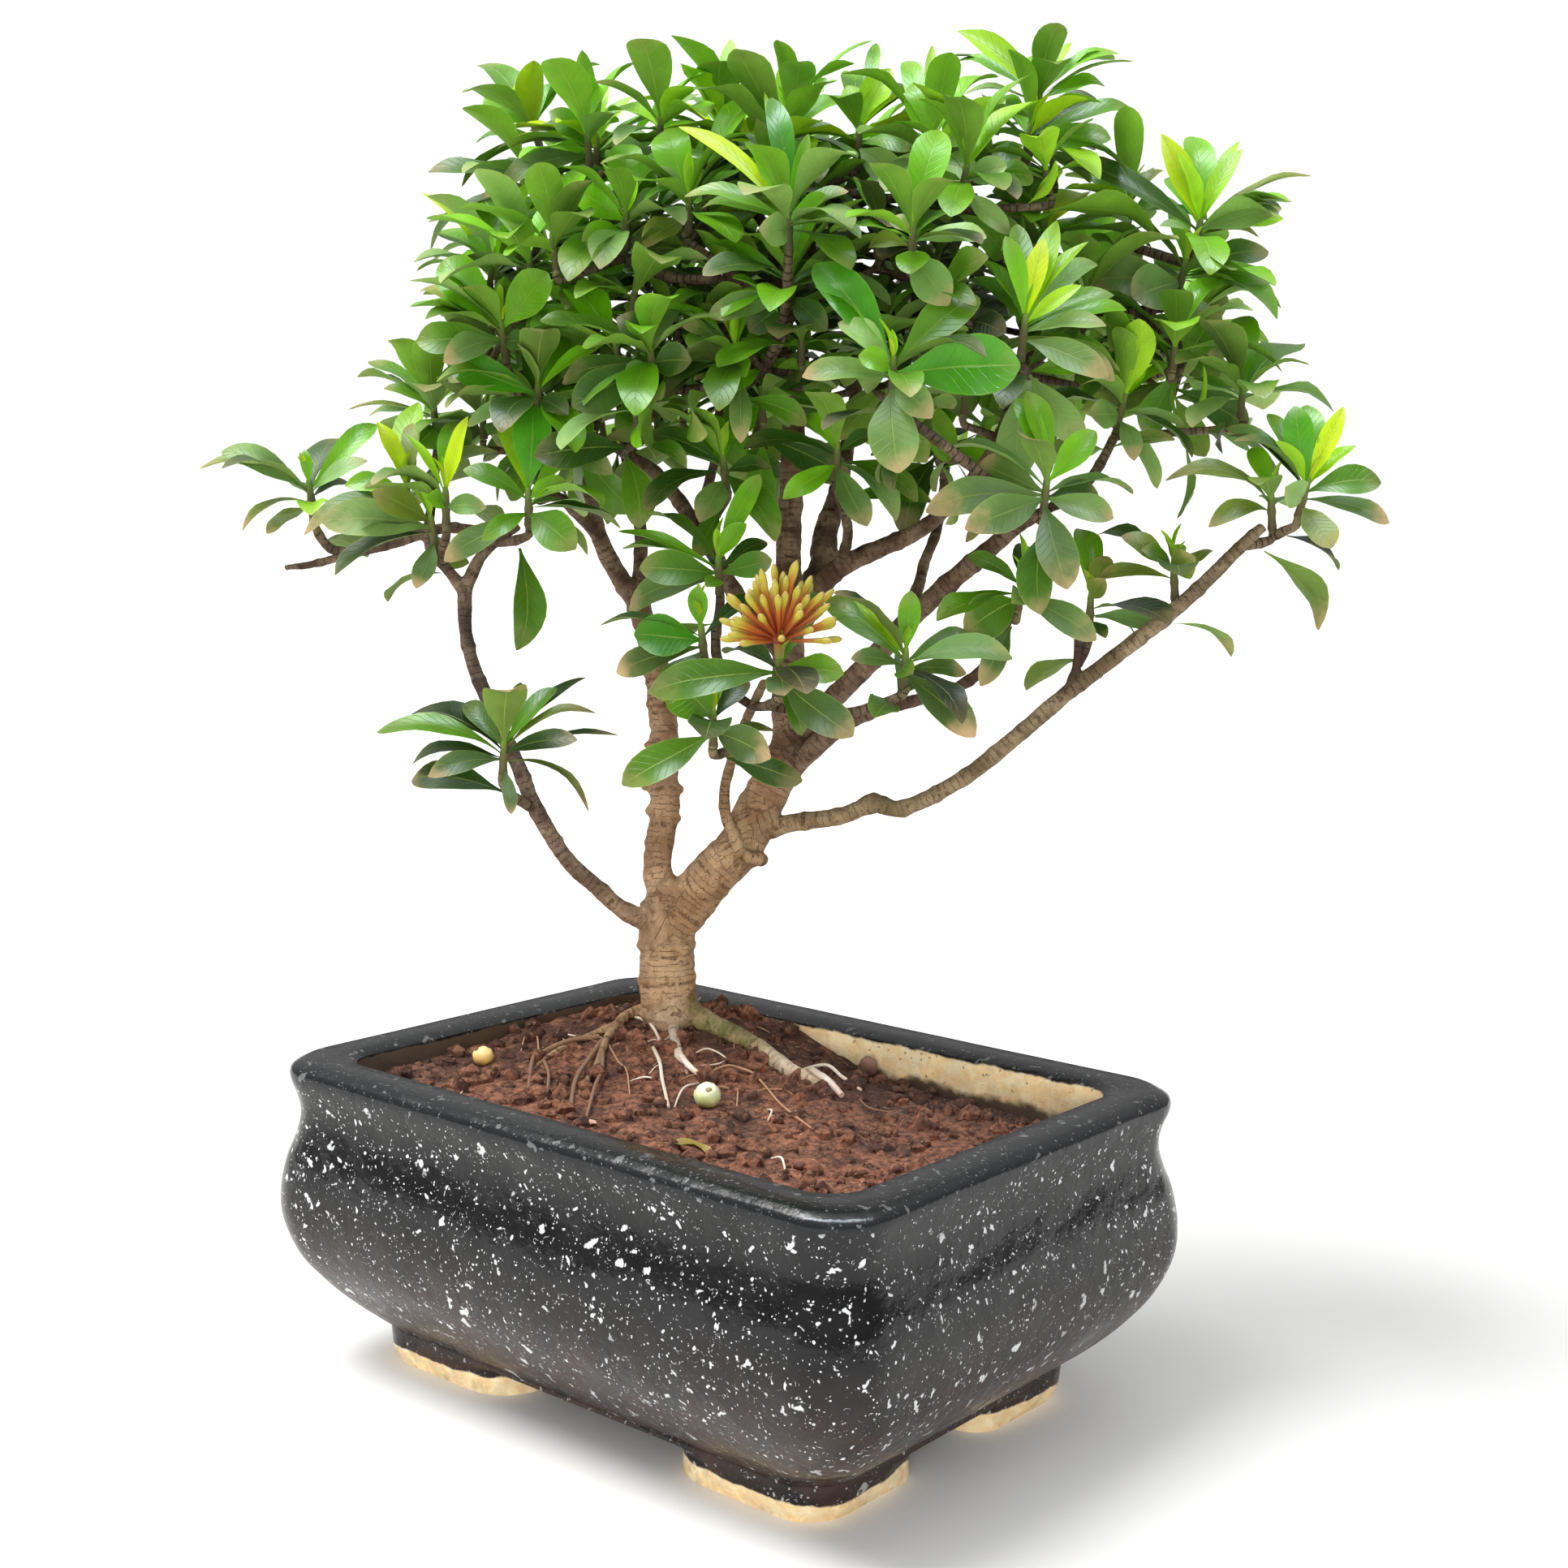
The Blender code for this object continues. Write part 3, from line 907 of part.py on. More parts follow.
def trunk_line(grow=0.0):
    points = [drawn(*spec[:3]) for spec in TRUNK]
    radii = [(spec[3] + grow) * MM for spec in TRUNK]
    for depth, radius in STUMP:
        points.insert(0, drawn(*TRUNK[0][:3]) - UP * ((depth + (grow if depth == STUMP[-1][0] else 0)) * MM))
        radii.insert(0, (radius + grow) * MM)
    return points, radii


def root_line(root, grow=0.0):
    points = [Vector((x, y, soil_height(x, y) + lift)) * MM for x, y, lift, radius in root]
    radii = [(spec[3] + grow) * MM for spec in root]
    if grow:
        points[-1] = points[-1] + (points[-1] - points[-2]).normalized() * (grow * MM)
    return points, radii


def ball(name, place, sizes, collection, rows):
    bpy.ops.mesh.primitive_uv_sphere_add(segments=rows * 2, ring_count=rows, radius=1.0)
    made = bpy.context.active_object
    made.name = name
    shape = Matrix.Translation(place) @ Matrix.Diagonal((*(Vector(sizes) * MM), 1.0))
    made.data.transform(shape)
    move_to(made, collection)
    return made


def pressed_place(place, size, depth):
    return Vector((*place, soil_height(*place) + size - depth)) * MM


def fallen_blade(grow=0.0):
    (root_x, root_y), (tip_x, tip_y), width = FALLEN_LEAF
    leaf = {"root": Vector((root_x, root_y, soil_height(root_x, root_y) + LEAF_LIFT)) * MM,
            "tip": Vector((tip_x, tip_y, soil_height(tip_x, tip_y) + LEAF_LIFT)) * MM,
            "face": UP, "width": width * MM}
    return leaf_mesh(leaf, grow * MM)


def build_litter(parts):
    """The fallen fruits, the pebble and the fallen leaf, each pressed a little into the soil."""
    for name, slot, (place, size, depth) in (("fallen_fruit_yellow", "yellow_fruit", YELLOW_FRUIT),
                                             ("fallen_fruit_green", "green_fruit", GREEN_FRUIT)):
        fruit = ball(name, pressed_place(place, size, depth), (size, size, size * FRUIT_SQUAT), parts, 6)
        finish(fruit, name, slot, True)
    place, sizes, depth = PEBBLE
    finish(ball("pebble", pressed_place(place, sizes[2], depth), sizes, parts, 5), "pebble", "pebble", True)
    finish(mesh_from("fallen_leaf", *fallen_blade(), parts), "fallen_leaf", "fallen_leaf", True)


def build_soil(parts):
    soil = mesh_from("soil", *loft(soil_rings()), parts)
    cutters = new_collection("soil_cutters")
    tube("trunk_hole", *trunk_line(ROOT_CUT_GROW), 3, cutters)
    for number, root in enumerate(ROOTS):
        tube("root_groove_%d" % number, *root_line(root, ROOT_CUT_GROW), 1, cutters)
    for place, size, depth in (YELLOW_FRUIT, GREEN_FRUIT):
        grown = size + PRESS_GAP
        sizes = (grown, grown, grown * FRUIT_SQUAT)
        ball("fruit_hollow", pressed_place(place, size, depth), sizes, cutters, 6)
    place, sizes, depth = PEBBLE
    grown = [size + PRESS_GAP for size in sizes]
    ball("pebble_hollow", pressed_place(place, sizes[2], depth), grown, cutters, 5)
    mesh_from("leaf_hollow", *fallen_blade(PRESS_GAP), cutters)
    apply_boolean(soil, "DIFFERENCE", cutters, "EXACT")
    return finish(soil, "soil", "soil", False)


def build_wood(parts, twigs):
    wood = tube("wood", *trunk_line(), 3, parts)
    pieces = new_collection("wood_pieces")
    for name in BRANCHES:
        points, radii = branch_line(name)
        tube(name, points, radii, 2 if max(radii) > THICK_STEM else 1, pieces)
    for number, (points, radii) in enumerate(twigs):
        tube("twig_%d" % number, points, radii, 0, pieces)
    for number, root in enumerate(ROOTS):
        tube("root_%d" % number, *root_line(root), 1, pieces)
    apply_boolean(wood, "UNION", pieces, "MANIFOLD")
    return finish(wood, "wood", "bark", True)


def build_shoot(parts, shoot):
    name = "shoot_" + shoot["name"]
    stem = tube(name, list(shoot["stem"]), [STEM_RADIUS, STEM_RADIUS * STEM_TAPER], 0, parts)
    blades = new_collection(name + "_blades")
    for number, leaf in enumerate(shoot["leaves"]):
        mesh_from("blade_%d" % number, *leaf_mesh(leaf), blades)
    apply_boolean(stem, "UNION", blades, "MANIFOLD")
    return finish(stem, name, "leaf", False)


def build_bloom(parts, shoots, buds):
    """The head of buds on a short stalk, which begins just over the leaves round it."""
    collar = next(shoot for shoot in shoots if shoot["name"] == "bloom_collar")
    axis = collar["axis"]
    foot = collar["stem"][1] + axis * FIT_GAP
    core = collar["top"] + axis * BLOOM_RISE
    bloom = ball("bloom_head", core, [BLOOM_CORE / MM] * 3, parts, 5)
    pieces = new_collection("bloom_pieces")
    tube("stalk", [foot, core], BLOOM_STALK, 1, pieces)
    for number, (points, radii) in enumerate(buds):
        tube("bud_%d" % number, points, radii, 0, pieces)
    apply_boolean(bloom, "UNION", pieces, "MANIFOLD")
    return finish(bloom, "bloom_head", "bud", False)


def main():
    """Builds every piece about the middle of the pot's foot and then moves them all together."""
    clear_scene()
    parts = new_collection("ixora_bonsai")
    shoots, twigs, buds = grow_plant()[:3]
    build_pot(parts)
    build_soil(parts)
    build_litter(parts)
    build_wood(parts, twigs)
    for shoot in shoots:
        build_shoot(parts, shoot)
    build_bloom(parts, shoots, buds)
    for made in parts.objects:
        made.location = MODEL_SHIFT
    bpy.context.view_layer.update()


main()
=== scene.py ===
"""An ixora bonsai in a speckled tray pot: fine leaves, bark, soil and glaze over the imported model."""
import math
import random

import bmesh
import bpy
from mathutils import Matrix, Vector, noise
from mathutils.bvhtree import BVHTree
from mathutils.kdtree import KDTree


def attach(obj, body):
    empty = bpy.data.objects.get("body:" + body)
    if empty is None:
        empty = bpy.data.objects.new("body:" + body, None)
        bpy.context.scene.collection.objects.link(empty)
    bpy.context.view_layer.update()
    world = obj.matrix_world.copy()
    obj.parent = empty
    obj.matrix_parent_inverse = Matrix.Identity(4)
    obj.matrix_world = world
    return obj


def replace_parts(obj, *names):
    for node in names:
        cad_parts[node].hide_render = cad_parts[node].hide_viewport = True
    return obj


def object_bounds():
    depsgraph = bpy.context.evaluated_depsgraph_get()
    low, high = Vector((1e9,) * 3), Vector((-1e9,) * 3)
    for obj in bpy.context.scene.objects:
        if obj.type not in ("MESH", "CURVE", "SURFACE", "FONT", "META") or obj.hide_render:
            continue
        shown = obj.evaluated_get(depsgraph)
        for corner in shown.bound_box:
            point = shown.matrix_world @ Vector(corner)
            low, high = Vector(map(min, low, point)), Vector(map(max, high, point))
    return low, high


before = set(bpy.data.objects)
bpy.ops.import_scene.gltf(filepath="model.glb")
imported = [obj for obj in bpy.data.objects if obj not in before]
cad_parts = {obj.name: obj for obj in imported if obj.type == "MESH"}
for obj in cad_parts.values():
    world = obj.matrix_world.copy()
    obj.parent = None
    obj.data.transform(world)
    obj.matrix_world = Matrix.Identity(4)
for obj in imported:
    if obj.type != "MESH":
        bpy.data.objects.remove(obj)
CAD_LOW, CAD_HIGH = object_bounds()

# The plant was measured on a drawing that faces an eye point in front of the pot.
# A point on it is millimetres across and up, and millimetres nearer than the trunk.
EYE = Vector((0.5523, -0.6228, 0.3554))
LOOK_TURN = math.radians(40.0)
LOOK_DOWN = math.radians(7.77)
LOOK_ROLL = math.radians(0.78)
DRAWING_AT = 0.879
TRUNK_AT = 0.919
MM = 0.001

LOOK = Vector((
    -math.sin(LOOK_TURN) * math.cos(LOOK_DOWN),
    math.cos(LOOK_TURN) * math.cos(LOOK_DOWN),
    -math.sin(LOOK_DOWN),
))
LEVEL = Vector((math.cos(LOOK_TURN), math.sin(LOOK_TURN), 0.0))
OVER = LEVEL.cross(LOOK)
RIGHT = LEVEL * math.cos(LOOK_ROLL) + OVER * math.sin(LOOK_ROLL)
ABOVE = OVER * math.cos(LOOK_ROLL) - LEVEL * math.sin(LOOK_ROLL)
UP = Vector((0.0, 0.0, 1.0))

# Woody stems: points of across, up, nearer and radius, all in millimetres.
BRANCHES = {
    "left_stem": [(-49, -53, 0, 6.5), (-52, -36, -2, 6.2), (-51, -24, -4, 5.9), (-49, -10, -6, 6.4),
                  (-49, 5, -8, 5.6), (-50, 31, -12, 6.2), (-54, 55, -16, 5.4), (-61, 77, -20, 4.8)],
    "main_stem": [(-46, -58, 0, 10.5), (-37, -46, 2, 10.8), (-30, -38, 4, 10.4), (-18, -25, 6, 10.0),
                  (-10, -9, 6, 9.6), (-3, 4, 5, 9.2), (3, 18, 4, 8.4), (2, 37, 2, 7.4),
                  (2, 62, 0, 6.5), (2, 97, -2, 5.4), (3, 122, 0, 5.2), (4, 155, 2, 5.0),
                  (1, 175, 4, 4.8), (-3, 205, 6, 3.8), (-4, 225, 8, 2.6)],
    "right_low": [(-10, -19, 8, 5.0), (3, -16, 12, 4.0), (24, -13, 20, 3.6), (37, -8, 25, 4.1),
                  (49, -10, 30, 3.5), (73, 2, 40, 3.4), (96, 20, 50, 3.4), (116, 37, 56, 3.4),
                  (150, 63, 66, 3.3), (170, 80, 72, 3.0), (188, 98, 76, 2.6), (197, 106, 78, 2.2)],
    "left_low": [(-52, -59, 2, 5.0), (-67, -51, 10, 3.8), (-75, -44, 15, 3.6), (-89, -31, 22, 3.4),
                 (-102, -10, 28, 3.4), (-109, 7, 32, 3.3), (-122, 35, 34, 3.1), (-128, 50, 34, 2.9),
                 (-131, 65, 33, 2.9), (-131, 81, 32, 3.2)],
    "fork_right": [(-131, 79, 32, 3.0), (-126, 91, 33, 2.6), (-119, 99, 34, 2.2), (-109, 106, 38, 2.0)],
    "fork_left": [(-131, 79, 32, 3.0), (-139, 89, 30, 2.4), (-145, 95, 28, 2.2), (-146, 105, 27, 2.3)],
    "level_twig": [(-122, 104, 28, 1.8), (-140, 105, 27, 2.4), (-159, 99, 26, 2.2), (-175, 95, 24, 2.0),
                   (-195, 90, 22, 1.8), (-205, 89, 21, 1.3)],
    "left_arch": [(-61, 75, -20, 4.6), (-70, 89, -20, 4.1), (-76, 102, -18, 3.8), (-80, 119, -14, 3.5),
                  (-81, 135, -10, 3.3), (-77, 152, -6, 2.7), (-74, 168, 0, 2.2)],
    "left_arm": [(-76, 102, -18, 3.0), (-85, 111, -8, 2.6), (-93, 118, 2, 2.3), (-101, 116, 14, 2.0)],
    "left_back": [(-60, 75, -20, 3.6), (-59, 92, -30, 3.2), (-59, 105, -34, 3.0), (-63, 122, -38, 2.8),
                  (-65, 137, -40, 2.6), (-67, 155, -42, 2.3), (-69, 180, -45, 2.0)],
    "cross_arm": [(1, 52, -2, 4.2), (-19, 77, 4, 3.6), (-32, 100, 8, 3.4), (-51, 126, 10, 3.0),
                  (-64, 135, 12, 2.4), (-77, 143, 14, 2.0)],
    "dark_twig": [(-32, 98, 8, 2.6), (-33, 115, 6, 2.3), (-28, 135, 4, 2.1), (-26, 160, 12, 1.9)],
    "right_arm": [(4, 70, 2, 5.0), (22, 88, 8, 4.5), (40, 97, 14, 4.0), (57, 105, 20, 3.4),
                  (75, 122, 26, 3.0), (88, 142, 32, 2.6), (98, 168, 44, 2.3)],
    "right_bough": [(3, 18, 5, 5.2), (25, 40, 14, 4.7), (40, 55, 20, 4.5), (55, 71, 28, 4.3),
                    (79, 92, 40, 4.1), (95, 105, 50, 3.0), (107, 112, 64, 2.3)],
    "thin_upright": [(44, 58, 16, 3.0), (54, 78, 2, 2.8), (58, 92, -8, 2.5), (63, 105, -16, 2.3),
                     (66, 125, -24, 2.2), (67, 145, -32, 2.0), (71, 172, -42, 1.8)],
    "back_stem": [(3, 66, -4, 6.2), (15, 87, -14, 6.0), (17, 103, -20, 5.4), (22, 119, -26, 4.2),
                  (26, 139, -32, 3.4), (30, 162, -40, 2.6), (34, 190, -46, 2.2)],
    "low_arm": [(0, 4, 6, 5.6), (18, 20, 16, 4.3), (29, 27, 22, 3.6), (42, 32, 28, 3.0),
                (53, 34, 32, 2.7), (70, 39, 38, 2.5), (83, 49, 42, 2.4), (92, 68, 50, 2.2)],
    "wrapping": [(-14, -31, 4, 3.4), (-9, -31, 12, 3.0), (-13, -30.5, 17, 2.7), (-18, -28, 18.5, 2.6),
                 (-21, -20, 18, 2.6), (-24, -13, 16, 2.5), (-24.5, -3, 16, 2.4), (-22, 8, 24, 2.2),
                 (-18, 20, 40, 2.1), (-13, 32, 60, 2.0), (-8, 42, 78, 1.9)],
    "stub": [(116, 37, 56, 2.4), (120, 48, 56, 1.9), (121, 61, 57, 1.7)],
}

# Leafy shoots. A shoot has the place of its whorl, its lean across and toward the eye, how many
# leaves the rule adds, and the leaves that were measured one by one: the tip's place from the whorl,
# across, up and nearer, the blade's width, how far it turns to the eye, its tone, and for some
# how much they bow. All are in millimetres.
# Tones: y young, l lime, b bright, g glossy, m middle, p pale, v olive, d dark, partly painted shade, o
# old.
# The added leaves have n too, the darkest, as painted shade inside and low in the crown.
SHOOTS = [
    ("far_left", (-195, 123, 25), (-0.1, 0.1), 1, [
        (-35, 16, 8, 12, .6, "p"), (-34, 12, -12, 9, .5, "o"), (-45, 7, 10, 11, .3, "v", .18),
        (-28, -16, 15, 8, .2, "v", .16), (-18, -19, 5, 9, .4, "v"), (1, -12, 20, 13, .8, "l"),
        (-2, 14, 5, 5, .4, "b"), (27, 26, -8, 12, .6, "p"), (22, 11, 8, 9, .5, "p"),
        (15, 2, -18, 7, .3, "d")]),
    ("lime_pair", (-155, 122, 30), (-0.1, 0.1), 1, [
        (-12, 27, 3, 8, .5, "y"), (-24, 3, 12, 10, .5, "b"), (-17, -2, -14, 9, .4, "d"),
        (2, 27, -8, 8, .4, "v"), (0, 14, -14, 9, .5, "m"), (-42, -16, 14, 9, .4, "o", .18)]),
    ("low_glossy", (-145, 109, 36), (-0.1, 0.3), 0, [
        (-44, 0, 10, 16, .8, "p"), (-24, 11, 20, 14, .6, "v"), (-6, -28, 8, 9, .8, "o")]),
    ("lime_fork", (-139, 120, 42), (0.0, 0.1), 1, [
        (-16, 24, 5, 5, .4, "l"), (9, 31, 6, 8, .6, "y"), (4, 30, -10, 12, .8, "p"),
        (-7, -2, 15, 8, .6, "b"), (15, -6, 14, 9, .8, "o")]),
    ("left_glossy", (-105, 120, 48), (0.0, 0.1), 1, [
        (2, 36, -6, 16, .9, "g"), (-13, 36, -14, 12, .8, "p"), (26, 32, -12, 14, .8, "p"),
        (-18, -18, 16, 8, .6, "b"), (-26, 10, 8, 10, .6, "m"), (14, 5, 12, 8, .6, "b"),
        (18, -22, 14, 16, .9, "m"), (25, -25, -2, 14, -.4, "d"), (-35, -27, 4, 11, .7, "o")]),
    ("left_olive", (-144, 156, 0), (-0.1, 0.0), 3, [
        (-20, 7, 8, 9, .4, "m"), (-35, -1, 0, 6, .2, "v"), (-27, -3, -10, 6, .3, "p"),
        (2, 16, 0, 6, .5, "y"), (12, 12, 5, 12, .5, "v"), (-7, -17, 12, 17, .9, "m"),
        (18, -11, 6, 14, .8, "d")]),
    ("low_left", (-115, 17, 50), (0.05, 0.1), 0, [
        (-52, 5, 8, 11, .4, "b", .18), (-39, -4, -14, 9, .3, "d"), (-30, -12, 16, 10, .6, "o"),
        (-16, 18, -8, 9, .7, "m"), (-25, 16, -20, 5, .3, "d"), (21, 23, -4, 9, .5, "b"),
        (33, 28, -16, 6, .3, "d"), (7, 25, -14, 6, .5, "d"), (35, 16, 4, 8, .3, "v"),
        (30, 1, 14, 10, .6, "d"), (47, 4, -6, 6, .2, "d"), (36, -24, 5, 5, .2, "v", .2),
        (3, -29, 8, 6, .3, "o")]),
    ("crown_left", (-77, 265, 10), (-0.05, 0.1), 3, [
        (-6, 36, 6, 10, -.8, "p"), (-2, 24, 12, 5, .6, "l"), (4, 24, -6, 7, .5, "l"),
        (15, 17, -6, 7, .5, "l"), (-18, 11, 14, 12, .8, "m"), (-27, 5, 4, 8, .5, "d"),
        (-39, -15, 14, 12, .5, "o"), (-11, 21, -12, 13, .8, "d"), (-42, -3, -8, 9, .3, "d"),
        (21, 2, 6, 8, .5, "p"), (22, -8, 10, 9, .6, "m")]),
    ("crown_corner", (-103, 271, -15), (-0.3, 0.0), 2, [
        (-7, 17, 4, 11, .9, "y"), (-20, 13, 0, 15, .9, "b"), (9, 17, -6, 10, .6, "m"),
        (-24, -6, -6, 10, .4, "m")]),
    ("left_dark", (-105, 251, 5), (-0.3, 0.1), 3, [
        (-41, 2, 4, 12, .4, "d"), (-43, -27, -4, 11, .3, "d"), (-18, -8, 10, 8, .4, "v"),
        (13, -3, 14, 8, -.5, "o"), (17, -15, 12, 12, -.6, "o")]),
    ("left_broad", (-116, 189, 45), (-0.1, 0.2), 2, [
        (-24, 27, -4, 22, .9, "m"), (19, 21, 6, 17, .9, "b"), (-34, 17, -14, 8, .4, "v"),
        (-35, -7, -4, 15, .7, "m"), (-23, -14, 14, 12, .6, "o"), (12, -8, 12, 10, .7, "d")]),
    ("left_upright", (-118, 212, 10), (-0.1, 0.1), 2, [
        (18, 40, 4, 7, .5, "l"), (-31, 31, -6, 6, .4, "y"), (-4, 25, -10, 14, .9, "p"),
        (11, 24, 8, 13, .9, "p"), (20, 19, 12, 6, .5, "b"), (-31, 6, -12, 6, .2, "v")]),
    ("bright_low", (-65, 234, 55), (0.0, 0.2), 5, [
        (-21, 11, 6, 14, .8, "b"), (-17, -11, 16, 14, .7, "b"), (4, 16, 2, 9, .7, "p"),
        (13, 10, -5, 7, .5, "p")]),
    ("pale_tall", (-39, 241, 65), (0.0, 0.2), 5, [
        (-9, 30, -4, 16, .9, "b"), (-18, -19, 12, 12, .5, "v"), (-14, 12, 10, 8, .5, "p")]),
    ("tall_front", (2, 235, 92), (0.0, 0.2), 3, [
        (-7, 48, -2, 10, .7, "g"), (-10, 50, -14, 4, .5, "l"), (8, 32, 8, 5, .5, "b"),
        (-45, 36, -4, 8, .5, "y"), (15, 7, 12, 7, .6, "b"), (18, -1, 6, 8, .5, "m"),
        (-12, -7, 18, 13, .9, "p"), (-41, 11, 6, 8, .4, "m"), (-36, 5, -10, 9, .4, "m"),
        (24, 9, 4, 9, .5, "o")]),
    ("under_front", (3, 209, 72), (0.0, 0.4), 5, [
        (-34, -17, 14, 11, .6, "o"), (23, 13, 5, 7, .3, "o"), (-20, -26, 8, 10, .7, "d"),
        (14, -22, 10, 11, .7, "d")]),
    ("lime_top", (-25, 270, 20), (0.0, 0.1), 3, [
        (3, 36, -6, 10, .7, "l"), (-5, 28, 4, 10, .7, "l"), (14, 9, 6, 9, .6, "l"),
        (-1, 25, 14, 9, .6, "y"), (9, 5, 16, 9, .7, "p"), (-29, 4, -4, 5, .2, "p"),
        (-10, -3, 15, 12, .6, "m")]),
    ("mid_top", (4, 272, 35), (0.0, 0.1), 3, [
        (-1, 27, 0, 12, .8, "l"), (7, 17, 8, 5, .6, "p"), (31, 35, -6, 5, .1, "m"),
        (13, 18, 6, 8, .6, "b"), (19, 10, -6, 9, .5, "b"), (-9, 18, -14, 4, .2, "v")]),
    ("lime_right", (31, 270, 38), (0.05, 0.1), 2, [
        (13, 24, 2, 13, .8, "l"), (-5, 17, -4, 10, .6, "l"), (7, 35, -14, 6, .5, "b"),
        (3, 23, -20, 9, .5, "d"), (19, 18, -8, 9, .5, "d"), (-25, -2, 10, 9, .4, "m"),
        (20, -8, 12, 9, .5, "m"), (19, -25, 24, 13, .8, "o")]),
    ("tall_right", (53, 229, 108), (0.0, 0.2), 3, [
        (11, 41, -2, 15, .9, "b"), (30, -4, 8, 10, .5, "p"), (-1, -19, 14, 13, .8, "b"),
        (14, -31, 6, 15, .9, "o"), (-9, 4, -4, 7, .5, "v"), (-19, -7, -10, 9, .5, "v")]),
    ("pale_right", (60, 263, 62), (0.05, 0.1), 4, [
        (-7, 25, 6, 17, .9, "p"), (31, 18, -4, 14, .8, "l"), (1, 41, -20, 5, .4, "l"),
        (-9, 38, -16, 11, .6, "m"), (19, -12, 12, 12, .6, "p"), (22, 2, 14, 9, .5, "m")]),
    ("crown_right", (105, 285, 30), (0.05, 0.0), 0, [
        (-34, 24, 6, 13, .6, "l"), (-33, 16, -6, 8, .5, "b"), (13, 20, -4, 7, .5, "p"),
        (32, 18, -4, 8, .4, "b"), (38, 13, 2, 5, .1, "m"), (27, 4, -6, 10, .5, "b"),
        (-30, 1, 10, 7, .3, "p"), (-43, 17, -12, 5, .1, "d"), (0, 14, 8, 6, .6, "l")]),
    ("under_crown", (101, 269, 45), (0.1, 0.1), 3, [
        (33, -3, 8, 13, .6, "m"), (-15, -12, 12, 9, .5, "m"), (43, 12, -8, 8, .5, "m"),
        (27, 13, -12, 14, .6, "d"), (27, -8, -10, 12, .5, "d")]),
    ("lime_corner", (171, 231, 40), (0.15, 0.1), 0, [
        (-16, 36, 6, 11, .7, "y"), (-3, 37, -8, 14, .7, "b"), (-9, 29, 12, 8, .6, "l"),
        (17, 30, 2, 9, .5, "l"), (16, 33, -12, 7, .4, "p"), (45, 21, -4, 8, .2, "v"),
        (33, 6, 12, 12, .7, "p"), (34, 1, -10, 12, .6, "l"), (24, -4, 4, 9, .3, "v"),
        (-53, 27, 8, 12, .6, "d"), (-16, -1, 12, 5, .4, "p"), (-14, 19, -14, 9, .6, "p")]),
    ("right_broad", (165, 214, 40), (0.2, 0.2), 2, [
        (-22, -14, 14, 20, .9, "o"), (-39, -6, 2, 18, .8, "o"), (35, -8, 10, 12, .5, "m"),
        (40, -16, 0, 10, .4, "m"), (34, 5, -10, 12, .5, "d"), (14, -40, 10, 12, .7, "o")]),
    ("right_hanging", (171, 196, 22), (0.3, 0.1), 2, [
        (6, -30, 4, 12, .7, "m"), (24, -28, 0, 12, .6, "m"), (-4, -33, -10, 9, .4, "d")]),
    ("lime_middle", (99, 191, 95), (0.05, 0.2), 2, [
        (8, 33, -2, 9, .8, "y"), (-8, 34, 4, 10, .7, "m"), (23, 14, 8, 7, .6, "l"),
        (36, 12, 2, 8, .5, "m"), (33, -1, 6, 9, .5, "p"), (33, -22, 12, 12, .8, "o"),
        (38, -23, -4, 12, .5, "o"), (13, 41, -12, 12, .5, "m"), (42, 6, -12, 8, .4, "b"),
        (26, 32, -6, 6, .3, "l"), (30, 26, -14, 9, .6, "p")]),
    ("big_pair", (45, 174, 110), (0.0, 0.3), 1, [
        (52, -2, 8, 23, .9, "g"), (-32, 41, -2, 17, .7, "g"), (-22, 16, 6, 12, .5, "p"),
        (35, 28, -4, 16, .7, "m"), (-14, 2, 10, 10, .6, "b"), (-37, -5, 2, 11, .6, "o"),
        (14, -22, 12, 12, .9, "o"), (2, -46, 10, 19, .95, "o")]),
    ("young_right", (142, 239, 30), (0.05, 0.1), 4, [
        (-2, 33, 0, 8, .7, "y"), (13, 15, -4, 5, .3, "v"), (-14, 13, 8, 11, .7, "b"),
        (12, 0, 10, 10, .5, "m"), (-6, -5, 14, 9, .5, "p")]),
    ("low_right", (108, 125, 88), (0.05, 0.3), 2, [
        (-12, 34, 2, 9, .6, "b"), (20, 20, 4, 12, .7, "b"), (-28, 7, -8, 15, .7, "o"),
        (-32, -19, 14, 15, .8, "o"), (-48, -10, 0, 15, .6, "o"), (8, -44, 10, 16, .9, "o"),
        (27, -15, 6, 12, .7, "o"), (22, -8, -10, 12, .5, "d")]),
    ("right_drooping", (140, 160, 55), (0.2, 0.1), 3, [
        (4, -26, 8, 9, .6, "o"), (14, -38, 0, 8, .5, "p"), (-14, -8, 10, 12, .7, "o"),
        (25, -13, -4, 7, .4, "p"), (9, 13, 4, 10, .6, "l"), (17, 14, -6, 8, .4, "b")]),
    ("far_right", (215, 124, 82), (0.2, 0.1), 0, [
        (-30, 22, -4, 7, .3, "d"), (-32, 26, -14, 8, .4, "p"), (-16, 29, -14, 10, .6, "p"),
        (0, 32, -6, 14, .9, "m"), (-5, 31, 6, 12, .9, "g"), (15, 31, 4, 8, .7, "y"),
        (20, 15, 2, 7, .5, "l"), (30, 1, 8, 12, .7, "m"), (34, -16, 2, 9, .5, "o"),
        (10, -27, 12, 13, .6, "v"), (-9, -2, 14, 12, .9, "p"), (-13, 17, 10, 10, .5, "d")]),
    ("right_arching", (200, 119, 76), (-0.1, 0.1), 0, [
        (-42, 8, 6, 12, .4, "v", .22), (-25, -12, 8, 9, .5, "v", .18), (-8, 20, -6, 10, .7, "p")]),
    ("olive_small", (160, 90, 68), (-0.1, 0.1), 0, [
        (-21, 12, 4, 11, .6, "v"), (-31, -3, -6, 8, .4, "v"), (8, 3, 8, 13, .9, "v"),
